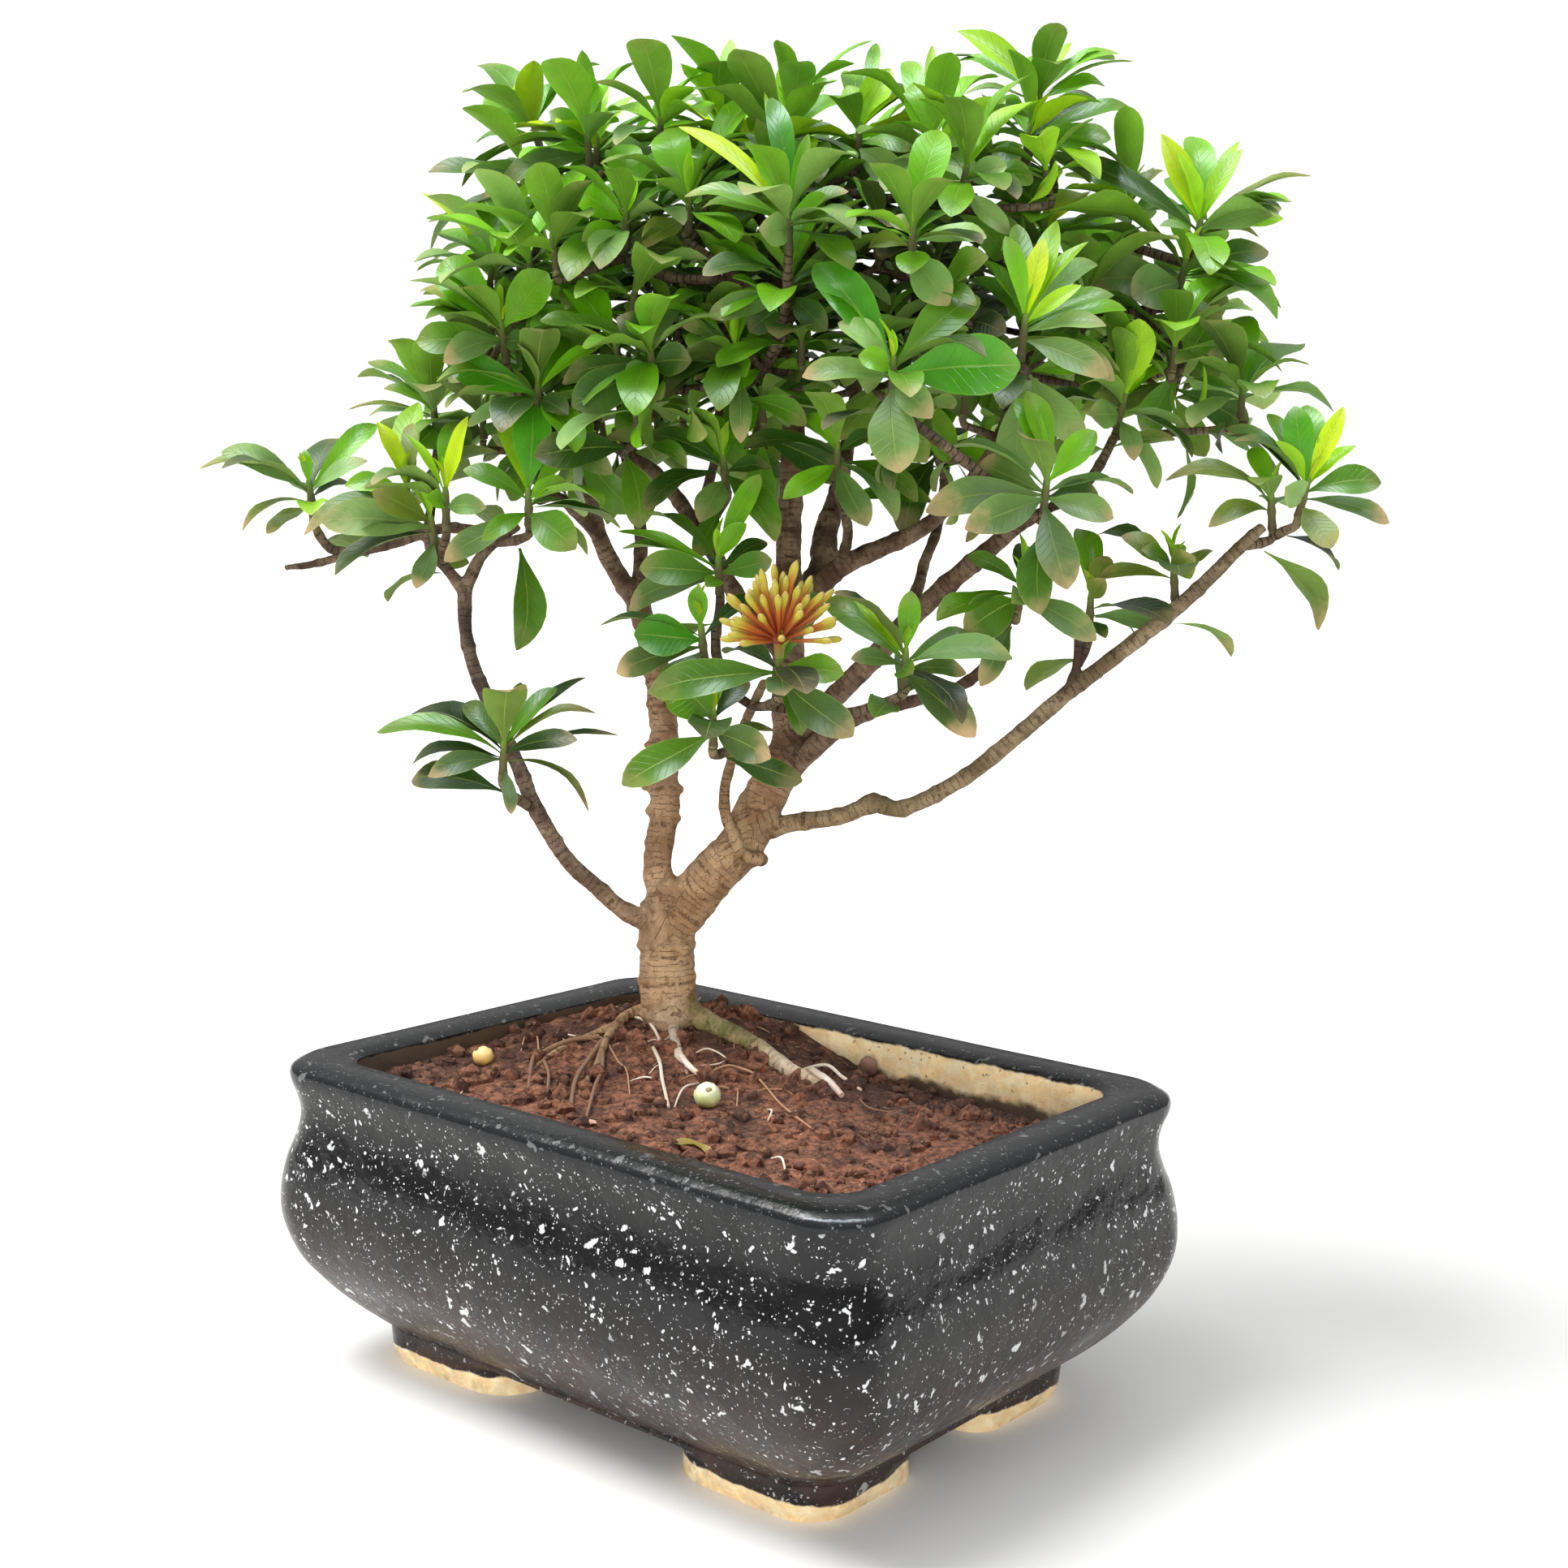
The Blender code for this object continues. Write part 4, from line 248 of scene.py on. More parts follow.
        (-12, 7, 10, 8, .5, "m"), (3, 9, -4, 6, .5, "b"), (16, 6, -4, 8, .3, "v")]),
    ("olive_twig", (126, 77, 58), (0.0, 0.1), 0, [
        (5, 7, 8, 9, .7, "v"), (7, 17, -4, 9, .6, "v"), (27, -13, 4, 9, .5, "p"),
        (19, -13, -6, 5, .2, "d"), (6, -16, 6, 6, .4, "d")]),
    ("low_fresh", (98, 85, 68), (0.1, 0.2), 0, [
        (30, -25, 12, 12, .7, "o"), (14, -14, -4, 8, .5, "v"), (-23, -22, 8, 18, .9, "m"),
        (-3, -9, 14, 10, .8, "b"), (-22, 9, 6, 9, .5, "m"), (9, 11, -6, 8, .5, "v")]),
    ("beside_bloom", (50, 54, 85), (0.05, 0.2), 0, [
        (2, 25, 6, 9, .8, "b"), (-22, 23, 4, 8, .6, "p"), (43, 1, 6, 12, .5, "p"),
        (28, 8, -10, 10, .5, "m"), (28, -33, 10, 14, .8, "o"), (2, -8, 18, 9, .9, "b"),
        (-22, -2, 8, 8, .5, "o"), (-33, 23, -14, 14, .8, "m"), (25, -8, -4, 10, .5, "o")]),
    ("bloom_collar", (-2, 52, 88), (0.0, 0.3), 0, [
        (-53, -12, 8, 15, .7, "m"), (26, -6, 14, 12, .6, "b"), (2, -15, 16, 13, .8, "o"),
        (30, -32, 10, 16, .9, "o"), (10, -31, -8, 8, .3, "m"), (16, 30, -24, 10, .8, "b")]),
    ("left_of_bloom", (-34, 64, 72), (-0.1, 0.2), 0, [
        (-27, -2, 8, 17, .8, "g"), (-2, 17, 6, 8, .6, "b"), (-35, -18, -4, 12, .6, "o"),
        (-17, -28, 8, 13, .7, "m")]),
    ("over_bloom", (-27, 92, 58), (-0.05, 0.1), 1, [
        (-41, 12, 4, 8, .4, "b"), (-32, -3, 12, 15, .7, "m"), (17, 35, 0, 12, .6, "m"),
        (11, 15, 12, 9, .6, "b"), (20, 8, -12, 8, .5, "d"), (-38, -18, -6, 12, .6, "o"),
        (-5, -11, 15, 7, .5, "b"), (22, 0, 2, 11, .7, "m")]),
    ("below_bloom", (-29, 29, 78), (0.0, 0.2), 0, [
        (-37, -28, 8, 15, .8, "m"), (-18, 13, 12, 20, .8, "b"), (23, -18, 14, 14, .9, "o"),
        (0, 18, -6, 8, .6, "b"), (14, 14, -8, 10, .5, "d"), (26, -7, -8, 6, .3, "v")]),
    ("under_right", (22, 139, 52), (0.0, 0.4), 3, [
        (-21, -20, 10, 10, .7, "b"), (12, -33, 12, 12, .8, "o"), (-12, 14, -6, 9, .5, "d"),
        (15, 5, 8, 9, .5, "d")]),
    ("under_middle", (-20, 179, 62), (-0.1, 0.3), 4, [
        (2, -37, 6, 9, .6, "o"), (3, -10, 14, 11, .8, "b"), (-17, -13, 4, 6, .3, "v"),
        (-8, -16, -6, 12, .6, "o"), (-22, 11, 8, 8, .5, "o")]),
    ("under_left", (-55, 180, 70), (-0.1, 0.3), 4, [
        (-32, -25, 10, 17, .8, "d"), (-8, -17, 14, 14, .9, "o"), (-37, -13, -6, 12, .5, "d"),
        (-12, 12, 10, 13, .6, "d"), (16, -6, 8, 14, .8, "d")]),
    ("left_inner", (-101, 164, 45), (0.0, 0.3), 2, [
        (-37, 10, 8, 15, .7, "g"), (-29, -16, 12, 8, .4, "p"), (27, 17, 10, 8, .5, "b"),
        (-8, 17, 12, 7, .4, "o"), (12, -12, 10, 10, .6, "d")]),
    ("inner_dark", (-25, 134, 38), (-0.1, 0.3), 3, [
        (-9, -25, 10, 12, .8, "o"), (-30, 10, 4, 12, .5, "d"), (-7, 18, -6, 14, .7, "d"),
        (8, 13, 6, 6, .4, "b"), (18, -3, 6, 9, .5, "d"), (-50, 11, -6, 9, .5, "o")]),
    ("right_inner", (75, 254, 82), (0.1, 0.2), 5, [
        (16, 0, 10, 11, .8, "p"), (17, -27, 6, 9, .7, "p"), (-12, -8, 12, 10, .6, "m"),
        (28, -4, -6, 12, .6, "m")]),
    ("back_left", (-80, 215, -62), (-0.2, -0.3), 9, []),
    ("back_middle", (-15, 250, -75), (0.0, -0.3), 9, []),
    ("back_right", (70, 245, -78), (0.1, -0.3), 9, []),
    ("back_low", (120, 205, -60), (0.2, -0.3), 9, []),
]

# A shoot's own stem reaches below and above its whorl. Clearances keep the pieces apart.
STEM_BELOW = 13.0 * MM
STEM_ABOVE = 2.0 * MM
STEM_RADIUS = 1.7 * MM
TWIG_END_RADIUS = 1.8 * MM
FIT_GAP = 0.3 * MM
CLEARANCE = 0.45 * MM
SEED = 4071

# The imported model's blades
LEAF_ROOT_HALF = 0.8 * MM
LEAF_HALF_THICK = 0.5 * MM
LEAF_FOLD = 0.10
LEAF_BOW = 0.09
LEAF_STATIONS = ((0.36, 0.66), (0.73, 1.0))
NARROW_STATIONS = ((0.62, 1.0),)
WIDE_LEAF = 16.5 * MM
ROOT_OUT = 0.5 * MM
LEAF_END_SHARE = 0.42
# Leaves that the rule adds
FILL_LENGTH = (34.0 * MM, 45.0 * MM)
FILL_WIDTH_SHARE = 0.36
FILL_TRIES = 16
FILL_TILT = (98.0, 62.0)
GOLDEN_TURN = math.radians(137.5)
SMALL_TURN = math.radians(70.0)
# Twigs
TWIG_START = (0.85, 2.6 * MM)
TWIG_MIDDLE = 2.1 * MM
TWIG_STRAIGHT = 4.0 * MM
TWIG_BEND = 0.38
TWIG_SHORTEST = 7.0 * MM
TWIG_RISE = 6.0 * MM
TWIG_COSTS = (0.35, 2.5)
TWIG_CHOICES = 24
KEPT_CLEAR = 1.06
STEM_KEPT_CLEAR = 1.1
BUD_KEPT_CLEAR = 0.2 * MM
ROOT_DROP = (0.9, 6.0, 11.0)
DEPTH_TRIES = (0, 5, -5, 10, -10, 16, -16, 23, -23, 30, -30)
LENGTH_TRIES = (1.0, 0.88, 0.76)
TOWARD_EYE = Vector((math.sin(LOOK_TURN), -math.cos(LOOK_TURN), 0.0))


def drawn(across, up, nearer):
    """The place in the pot's frame of a point that was measured on the drawing."""
    on_drawing = LOOK * DRAWING_AT + RIGHT * (across * MM) + ABOVE * (up * MM)
    return EYE + on_drawing * ((TRUNK_AT - nearer * MM) / DRAWING_AT)


def square_to(vector, along):
    """The part of a vector that is square to a unit direction, as a unit vector."""
    return (vector - along * vector.dot(along)).normalized()


def any_side(along):
    """A unit direction square to another, for a tube's first side."""
    other = Vector((0.31, 0.17, 0.93)) if abs(along.z) < 0.8 else Vector((1, 0, 0))
    return square_to(other, along)


def leaf_mesh(leaf, grow=0.0):
    """A closed blade with a keel. A broad one has a raised midrib and one more section too."""
    chord = leaf["tip"] - leaf["root"]
    length = chord.length
    along = chord / length
    face = square_to(leaf["face"], along)
    side = along.cross(face)
    half_width = leaf["width"] / 2 + grow
    thick = LEAF_HALF_THICK + grow
    bow = leaf.get("bow", LEAF_BOW)
    broad = leaf["width"] >= WIDE_LEAF

    def section(t, half):
        middle = leaf["root"] + chord * t + face * (bow * length * 4 * t * (1 - t))
        edge = middle + face * (LEAF_FOLD * half + (0.0 if broad else thick * 0.6))
        ring = [edge - side * half, middle + face * thick, edge + side * half, middle - face * thick]
        return ring if broad else [ring[0], ring[2], ring[3]]

    count = 4 if broad else 3
    stations = LEAF_STATIONS if broad else NARROW_STATIONS
    points = section(0.0, LEAF_ROOT_HALF + grow)
    for t, share in stations:
        points += section(t, half_width * share)
    end_half = half_width * LEAF_END_SHARE
    points += [leaf["tip"] - side * end_half, leaf["tip"] + side * end_half]
    faces = [(0, 2, 1), (0, 3, 2)] if broad else [(0, 2, 1)]
    last = count * len(stations)
    for base in range(0, last, count):
        for k in range(count):
            a = base + k
            b = base + (k + 1) % count
            faces += [(a, b, b + count), (a, b + count, a + count)]
    left = last
    right = last + count - 2
    bottom = last + count - 1
    end_left = last + count
    end_right = end_left + 1
    if broad:
        faces += [(left, left + 1, end_left), (left + 1, end_right, end_left), (left + 1, right, end_right)]
    else:
        faces += [(left, right, end_right), (left, end_right, end_left)]
    faces += [(left, end_left, bottom), (bottom, end_left, end_right), (bottom, end_right, right)]
    return points, faces


def tube_mesh(points, radii, sides):
    """A plain tube, used only to keep things clear of one another."""
    verts = []
    faces = []
    for index, point in enumerate(points):
        ahead = points[min(index + 1, len(points) - 1)] - points[max(index - 1, 0)]
        along = ahead.normalized()
        first = any_side(along)
        second = along.cross(first)
        for k in range(sides):
            angle = 2 * math.pi * k / sides
            verts.append(point + (first * math.cos(angle) + second * math.sin(angle)) * radii[index])
    for index in range(len(points) - 1):
        for k in range(sides):
            a = index * sides + k
            b = index * sides + (k + 1) % sides
            faces += [(a, b, b + sides), (a, b + sides, a + sides)]
    for k in range(1, sides - 1):
        faces.append((0, k + 1, k))
        last = (len(points) - 1) * sides
        faces.append((last, last + k, last + k + 1))
    return verts, faces


class Crowd:
    """What already stands, so that each new leaf or twig is bent clear of it."""

    def __init__(self):
        self.standing = []

    def add(self, owner, mesh):
        self.standing.append((owner, self.ball(mesh[0]), BVHTree.FromPolygons(*mesh)))

    def is_clear(self, owners, mesh):
        middle, reach = self.ball(mesh[0])
        tree = BVHTree.FromPolygons(*mesh)
        for owner, (other_middle, other_reach), other in self.standing:
            if owner in owners or (middle - other_middle).length > reach + other_reach:
                continue
            if tree.overlap(other):
                return False
        return True

    @staticmethod
    def ball(points):
        middle = sum(points, Vector()) / len(points)
        return middle, max((point - middle).length for point in points)


def shoot_axis(lean):
    return (UP + LEVEL * lean[0] + TOWARD_EYE * lean[1]).normalized()


def root_drop(upright):
    """How far below the shoot's top a leaf grows: the more it spreads, the lower."""
    level, rate, most = ROOT_DROP
    return min(max((level - upright) * rate, 0.0), most) * MM


def measured_leaf(whorl, axis, spec, extra_near, length_share):
    """A leaf from its measured tip; its root lies lower on the stem the more it spreads."""
    across, up, nearer, width, turn, tone = spec[:6]
    tip = drawn(whorl[0] + across * length_share, whorl[1] + up * length_share,
                whorl[2] + nearer + extra_near)
    top = drawn(*whorl)
    upright = (tip - top).normalized().dot(axis)
    root = top - axis * root_drop(upright) + square_to(tip - top, axis) * ROOT_OUT
    along = (tip - root).normalized()
    inner = axis - along * axis.dot(along)
    inner = inner.normalized() if inner.length > 0.25 else square_to(TOWARD_EYE, along)
    to_eye = square_to(EYE - root, along)
    face = inner * (1 - abs(turn)) + to_eye * turn
    bow = spec[6] if len(spec) > 6 else LEAF_BOW
    return {"root": root, "tip": tip, "face": face, "width": width * MM, "tone": tone, "bow": bow}


def added_leaf(top, axis, turn, tilt, length, tone):
    out = square_to(-TOWARD_EYE, axis)
    out = (out * math.cos(turn) + axis.cross(out) * math.sin(turn)).normalized()
    along = axis * math.cos(tilt) + out * math.sin(tilt)
    root = top - axis * root_drop(math.cos(tilt)) + out * ROOT_OUT
    return {"root": root, "tip": root + along * length, "face": square_to(axis, along),
            "width": length * FILL_WIDTH_SHARE, "tone": tone}


def branch_line(name):
    points = [drawn(*spec[:3]) for spec in BRANCHES[name]]
    radii = [spec[3] * MM for spec in BRANCHES[name]]
    return points, radii


def bent_twig(start, start_way, end, axis):
    """Points from a branch to a shoot's foot, the last stretch straight along the shoot."""
    foot = end - axis * TWIG_STRAIGHT
    reach = (foot - start).length * TWIG_BEND
    first = start + start_way * reach
    second = foot - axis * reach
    points = []
    for t in (0.0, 0.5):
        u = 1 - t
        points.append(start * u ** 3 + first * (3 * u * u * t) + second * (3 * u * t * t) + foot * t ** 3)
    return points + [foot, end]


def grow_twig(crowd, network, shoot):
    """A twig from the best place on the branches, or on an earlier twig, to a shoot's foot."""
    end = shoot["stem"][0] - shoot["axis"] * FIT_GAP

    def cost(node):
        away = (end - node[0]).length
        turn = 1 - node[1].dot((end - node[0]).normalized())
        short = max(0.0, TWIG_RISE - (end.z - node[0].z))
        return away * (1 + TWIG_COSTS[0] * turn) + short * TWIG_COSTS[1]

    choices = [node for node in sorted(network, key=cost) if (node[0] - end).length > TWIG_SHORTEST]
    for point, way, radius in choices[:TWIG_CHOICES]:
        points = bent_twig(point, way, end, shoot["axis"])
        radii = [min(radius * TWIG_START[0], TWIG_START[1]), TWIG_MIDDLE, TWIG_END_RADIUS, TWIG_END_RADIUS]
        grown = tube_mesh(points, [value + CLEARANCE for value in radii], 8)
        if crowd.is_clear(("wood", shoot["name"]), grown):
            break
    crowd.add("wood", tube_mesh(points, [value * KEPT_CLEAR for value in radii], 8))
    for index in (1, 2):
        way = (points[index + 1] - points[index]).normalized()
        network.append((points[index], way, radii[index]))
    return points, radii


def grow_measured(crowd, shoot):
    """The measured leaves of a shoot, each at the first depth and length where it is clear."""
    for spec in shoot["measured"]:
        for share in LENGTH_TRIES:
            tries = [measured_leaf(shoot["whorl"], shoot["axis"], spec, near, share)
                     for near in DEPTH_TRIES]
            leaf = next((leaf for leaf in tries
                         if crowd.is_clear((shoot["name"],), leaf_mesh(leaf, CLEARANCE))), None)
            if leaf:
                crowd.add(shoot["name"], leaf_mesh(leaf))
                shoot["leaves"].append(leaf)
                break


def grow_added(crowd, shoot, rng):
    """The leaves that the rule adds, spread round a shoot, clear of the wood and other shoots."""
    count = shoot["fill"]
    spread = GOLDEN_TURN if count > 2 else SMALL_TURN
    for index in range(count):
        share = index / max(count - 1, 1)
        for attempt in range(FILL_TRIES):
            turn = (index + 0.5 - count / 2) * spread + rng.uniform(-0.5, 0.5) * (1 + attempt)
            tilt = math.radians(FILL_TILT[0] - FILL_TILT[1] * share) + rng.uniform(-0.2, 0.2)
            length = rng.uniform(*FILL_LENGTH) * (1 - 0.025 * attempt)
            tone = rng.choice("mmdp" if share < 0.5 else "mmbb")
            leaf = added_leaf(shoot["top"], shoot["axis"], turn, tilt, length, tone)
            if crowd.is_clear((shoot["name"],), leaf_mesh(leaf, CLEARANCE)):
                crowd.add(shoot["name"], leaf_mesh(leaf))
                shoot["leaves"].append(leaf)
                break


def grow_plant():
    """Every twig and every shoot of the plant, each bent clear of what already stands."""
    crowd = Crowd()
    network = []
    for name in BRANCHES:
        points, radii = branch_line(name)
        crowd.add("wood", tube_mesh(points, [radius * KEPT_CLEAR for radius in radii], 8))
        for index in range(1, len(points)):
            way = (points[index] - points[index - 1]).normalized()
            network.append((points[index], way, radii[index]))
    shoots = []
    for name, whorl, lean, fill, leaves in SHOOTS:
        top = drawn(*whorl)
        axis = shoot_axis(lean)
        stem = (top - axis * STEM_BELOW, top + axis * STEM_ABOVE)
        shoots.append({"name": name, "whorl": whorl, "top": top, "axis": axis, "fill": fill,
                       "measured": leaves, "leaves": [], "stem": stem})
        crowd.add(name, tube_mesh(list(stem), [STEM_RADIUS * STEM_KEPT_CLEAR] * 2, 8))
    for points, radii in bloom_buds():
        crowd.add("bloom_head", tube_mesh(points, [radius + BUD_KEPT_CLEAR for radius in radii], 5))
    twigs = []
    waiting = list(shoots)
    while waiting:
        shoot = min(waiting, key=lambda other: min((node[0] - other["stem"][0]).length for node in network))
        waiting.remove(shoot)
        twigs.append(grow_twig(crowd, network, shoot))
    for shoot in shoots:
        grow_measured(crowd, shoot)
    for number, shoot in enumerate(shoots):
        grow_added(crowd, shoot, random.Random(SEED + number))
    return shoots, twigs, crowd, network


# The model is built about the middle of the pot's foot and then moved, so that
# the middle of the whole part, on the ground, is the origin.
MODEL_SHIFT = Vector((0.0135, -0.0759, 0.0))

# Pot: half length, half width, corner radius and height of each level, in millimetres.
POT_OUTSIDE = [
    (115.8, 80.0, 18.0, 0.0), (118.6, 82.0, 19.5, 5.0), (119.4, 82.6, 20.0, 13.2),
    (119.0, 82.2, 19.5, 14.4), (122.8, 85.4, 21.0, 17.6), (132.0, 93.6, 22.0, 25.2),
    (141.0, 101.8, 23.0, 34.8), (148.6, 108.8, 23.5, 46.2), (153.0, 112.9, 24.0, 60.0),
    (153.6, 113.6, 24.0, 72.0), (152.0, 112.1, 23.5, 84.0), (148.8, 108.9, 23.0, 95.0),
    (147.0, 107.1, 22.5, 104.0), (147.9, 108.0, 22.5, 111.5), (149.9, 109.9, 23.0, 118.5),
    (149.6, 109.6, 23.0, 122.8), (145.5, 105.5, 22.0, 125.6),
]
POT_INSIDE = [
    (131.5, 91.5, 15.5, 125.4), (128.5, 88.5, 14.0, 123.4), (127.5, 87.5, 13.5, 117.0),
    (127.0, 87.0, 13.5, 80.0), (112.0, 74.0, 15.0, 30.0), (106.0, 68.0, 13.0, 22.5),
]
SHARP_LEVELS = 2
POT_STEPS = (2.6, 5.0)
POT_CORNER_STEPS = 12
POT_SIDES = (34, 24)

# The glaze waves a little above this height, and only inward of the drawn outline.
WAVER_FROM = 21.0
WAVER_COARSE = (16, 16, 42)
WAVER_FINE = (60, 60, 95)
WAVER_MOST = 0.4
WAVER_DEPTH = 0.55
WAVER_INWARD = 0.25

# The feet: gaps between them through the long and the short sides, in millimetres. A gap has
# where it begins and ends, the rounding of the feet at its mouths, and how far the mouths flare.
GAP_LONG = (-41.0, 42.0, 20.0)
GAP_SHORT = (-18.0, 19.0, 13.0)
GAP_FLARE = (14.0, 3.0)
GAP_STEPS = 8
GAP_REACH = 200.0
GAP_STEP = 0.3
GAP_HEIGHT = 13.0
GAP_ROUNDING = 5.0
GAP_ROUNDING_STEPS = 6
FOOT_WALL = 23.0
DRAIN_RADIUS = 7.0 * MM
DRAIN_SPREAD = 55.0 * MM
DRAIN_CUT = 80.0 * MM

# Soil, in millimetres
SOIL_GAP = 0.4
SOIL_LEVEL = 115.5
SOIL_MOUND = 14.5
SOIL_MOUND_SPREAD = 40.0
SOIL_BACK_DIP = 9.5
SOIL_RIGHT_DIP = 2.5
TRUNK_FOOT = (-67.0, 42.0)

# Trunk on the drawing, and its stump under the soil as depth and radius.
TRUNK = [(-47, -90, 0, 12.2), (-48, -75, 0, 11.7), (-48, -58, 0, 11.8), (-46, -46, 0, 11.0),
         (-44, -41, 2, 8.0)]
STUMP = [(14, 11.0), (42, 6.0)]

# Roots that lie half sunk: place along and across the pot, height over the soil, radius.
ROOTS = [
    [(-62, 42, 5, 6.0), (-47, 40, 3, 4.8), (-33, 42, 2, 4.2), (-19, 42, 2, 3.9), (-6, 39, 1.5, 3.7),
     (6, 36, 1, 3.4), (19, 35, 0, 2.8), (32, 34, -4, 2.0)],
    [(-62, 38, 5, 4.2), (-53, 28, 2, 2.8), (-44, 19, 1, 2.2), (-30, 8, 0.5, 1.9), (-15, -2, -3, 1.3)],
    [(-69, 38, 4, 3.8), (-80, 30, 2, 2.4), (-74, 13, 1.5, 2.1), (-66, -1, 1, 1.8), (-54, -18, 0.5, 1.5),
     (-43, -37, 0.2, 1.2), (-36, -47, -3, 1.0)],
    [(-76, 17, 1.5, 1.8), (-80, 3, 1, 1.5), (-82, -13, 0.7, 1.3), (-78, -28, 0.3, 1.1),
     (-74, -42, -3, 0.9)],
]

# Things that lie on the soil: place, size and how deep each is pressed in.
YELLOW_FRUIT = ((-101.5, -36.5), 4.6, 1.2)
GREEN_FRUIT = ((6.5, -16.5), 5.6, 1.4)
PEBBLE = ((12.0, 79.0), (4.6, 3.6, 4.8), 1.0)
# Where the fallen leaf's root and tip lie, and its width.
FALLEN_LEAF = ((27.0, -66.0), (50.0, -60.0), 9.0)

# Head of buds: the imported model's count, the dome's opening, lengths in the middle and at the rim.
BUD_COUNT = 34
BUD_OPEN = math.radians(88.0)
BUD_LENGTHS = (34.0 * MM, 26.0 * MM)
BUD_SHAPE = ((0.1, 0.55), (0.84, 1.1), (1.0, 0.4))
BLOOM_RISE = 7.0 * MM
BLOOM_CORE = 4.0 * MM
BUD_UNEVEN = 1.2 * MM


def bloom_axis():
    name, whorl, lean, fill, leaves = next(shoot for shoot in SHOOTS if shoot[0] == "bloom_collar")
    return drawn(*whorl), shoot_axis(lean)


def bud_ways(count):
    """Directions of the closed buds, spread evenly over a wide dome, and their share from the middle."""
    top, axis = bloom_axis()
    first = square_to(Vector((1.0, 0.0, 0.0)), axis)
    second = axis.cross(first)
    ways = []
    for index in range(count):
        share = (index + 0.5) / count
        polar = math.acos(1 - share * (1 - math.cos(BUD_OPEN)))
        turn = index * GOLDEN_TURN
        way = axis * math.cos(polar) + (first * math.cos(turn) + second * math.sin(turn)) * math.sin(polar)
        ways.append((way, share))
    return ways


def bud_length(index, share):
    return BUD_LENGTHS[0] + (BUD_LENGTHS[1] - BUD_LENGTHS[0]) * share - (index % 3) * BUD_UNEVEN


def bloom_buds():
    """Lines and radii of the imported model's buds, which keep twigs and leaves clear of the head."""
    top, axis = bloom_axis()
    core = top + axis * BLOOM_RISE
    buds = []
    for index, (way, share) in enumerate(bud_ways(BUD_COUNT)):
        length = bud_length(index, share)
        points = [core + way * (length * at) for at, radius in BUD_SHAPE]
        buds.append((points, [radius * MM for at, radius in BUD_SHAPE]))
    return buds


def rounded_ring(half_x, half_y, corner, height, steps, sides):
    """One level of a rounded rectangle, in millimetres, turning to the left."""
    ring = []
    corners = ((1, 1, 0.0), (-1, 1, 90.0), (-1, -1, 180.0), (1, -1, 270.0))
    for number, (sign_x, sign_y, begin) in enumerate(corners):
        middle = (sign_x * (half_x - corner), sign_y * (half_y - corner))
        for step in range(steps + 1):
            angle = math.radians(begin + 90.0 * step / steps)
            ring.append((middle[0] + corner * math.cos(angle), middle[1] + corner * math.sin(angle)))
        start = ring[-1]
        onward = corners[(number + 1) % 4]
        end_angle = math.radians(onward[2])
        end = (onward[0] * (half_x - corner) + corner * math.cos(end_angle),
               onward[1] * (half_y - corner) + corner * math.sin(end_angle))
        more = sides[number % 2]
        for step in range(1, more + 1):
            t = step / (more + 1)
            ring.append((start[0] + (end[0] - start[0]) * t, start[1] + (end[1] - start[1]) * t))
    return [Vector((x, y, height)) * MM for x, y in ring]


def loft(rings):
    """Verts and faces between rings of one count, closed with a flat face at each end."""
    count = len(rings[0])
    verts = [point for ring in rings for point in ring]
    faces = []
    for level in range(len(rings) - 1):
        for k in range(count):
            a = level * count + k
            b = level * count + (k + 1) % count
            faces.append((a, b, b + count, a + count))
    faces.append(tuple(range(count))[::-1])
    faces.append(tuple(range((len(rings) - 1) * count, len(rings) * count)))
    return verts, faces


def smooth_step(value):
    value = min(max(value, 0.0), 1.0)
    return value * value * (3 - 2 * value)


def soil_height(x, y):
    """Height of the soil in millimetres over the ground: a mound at the trunk, dips behind and right."""
    away = (x - TRUNK_FOOT[0]) ** 2 + (y - TRUNK_FOOT[1]) ** 2
    mound = SOIL_MOUND * math.exp(-away / (2 * SOIL_MOUND_SPREAD ** 2))
    back = smooth_step((x + 50) / 80) * smooth_step((y - 35) / 60)
    right = smooth_step((x - 10) / 100)
    return SOIL_LEVEL + mound - SOIL_BACK_DIP * back - SOIL_RIGHT_DIP * right


def trunk_line():
    points = [drawn(*spec[:3]) for spec in TRUNK]
    radii = [spec[3] * MM for spec in TRUNK]
    for depth, radius in STUMP:
        points.insert(0, drawn(*TRUNK[0][:3]) - UP * (depth * MM))
        radii.insert(0, radius * MM)
    return points, radii


def root_line(root):
    points = [Vector((x, y, soil_height(x, y) + lift)) * MM for x, y, lift, radius in root]
    return points, [spec[3] * MM for spec in root]


def pressed_place(place, size, depth):
    """The middle of a thing that is pressed a little into the soil."""
    return Vector((*place, soil_height(*place) + size - depth)) * MM


def gap_outline(begin, end, rounding, face):
    """Plan of the gap between two feet, in millimetres across it and along it."""
    side = []
    for step in range(GAP_STEPS + 1):
        angle = math.radians(90.0 * step / GAP_STEPS)
        side.append((rounding * (1 - math.cos(angle)), face - rounding * (1 - math.sin(angle))))
    side.append((rounding + GAP_FLARE[0], face + GAP_FLARE[1]))
    side.append((rounding + GAP_FLARE[0], GAP_REACH))
    outline = [(end + out, -along) for out, along in reversed(side)]
    outline += [(end + out, along) for out, along in side]
    outline += [(begin - out, along) for out, along in reversed(side)]
    return outline + [(begin - out, -along) for out, along in side]


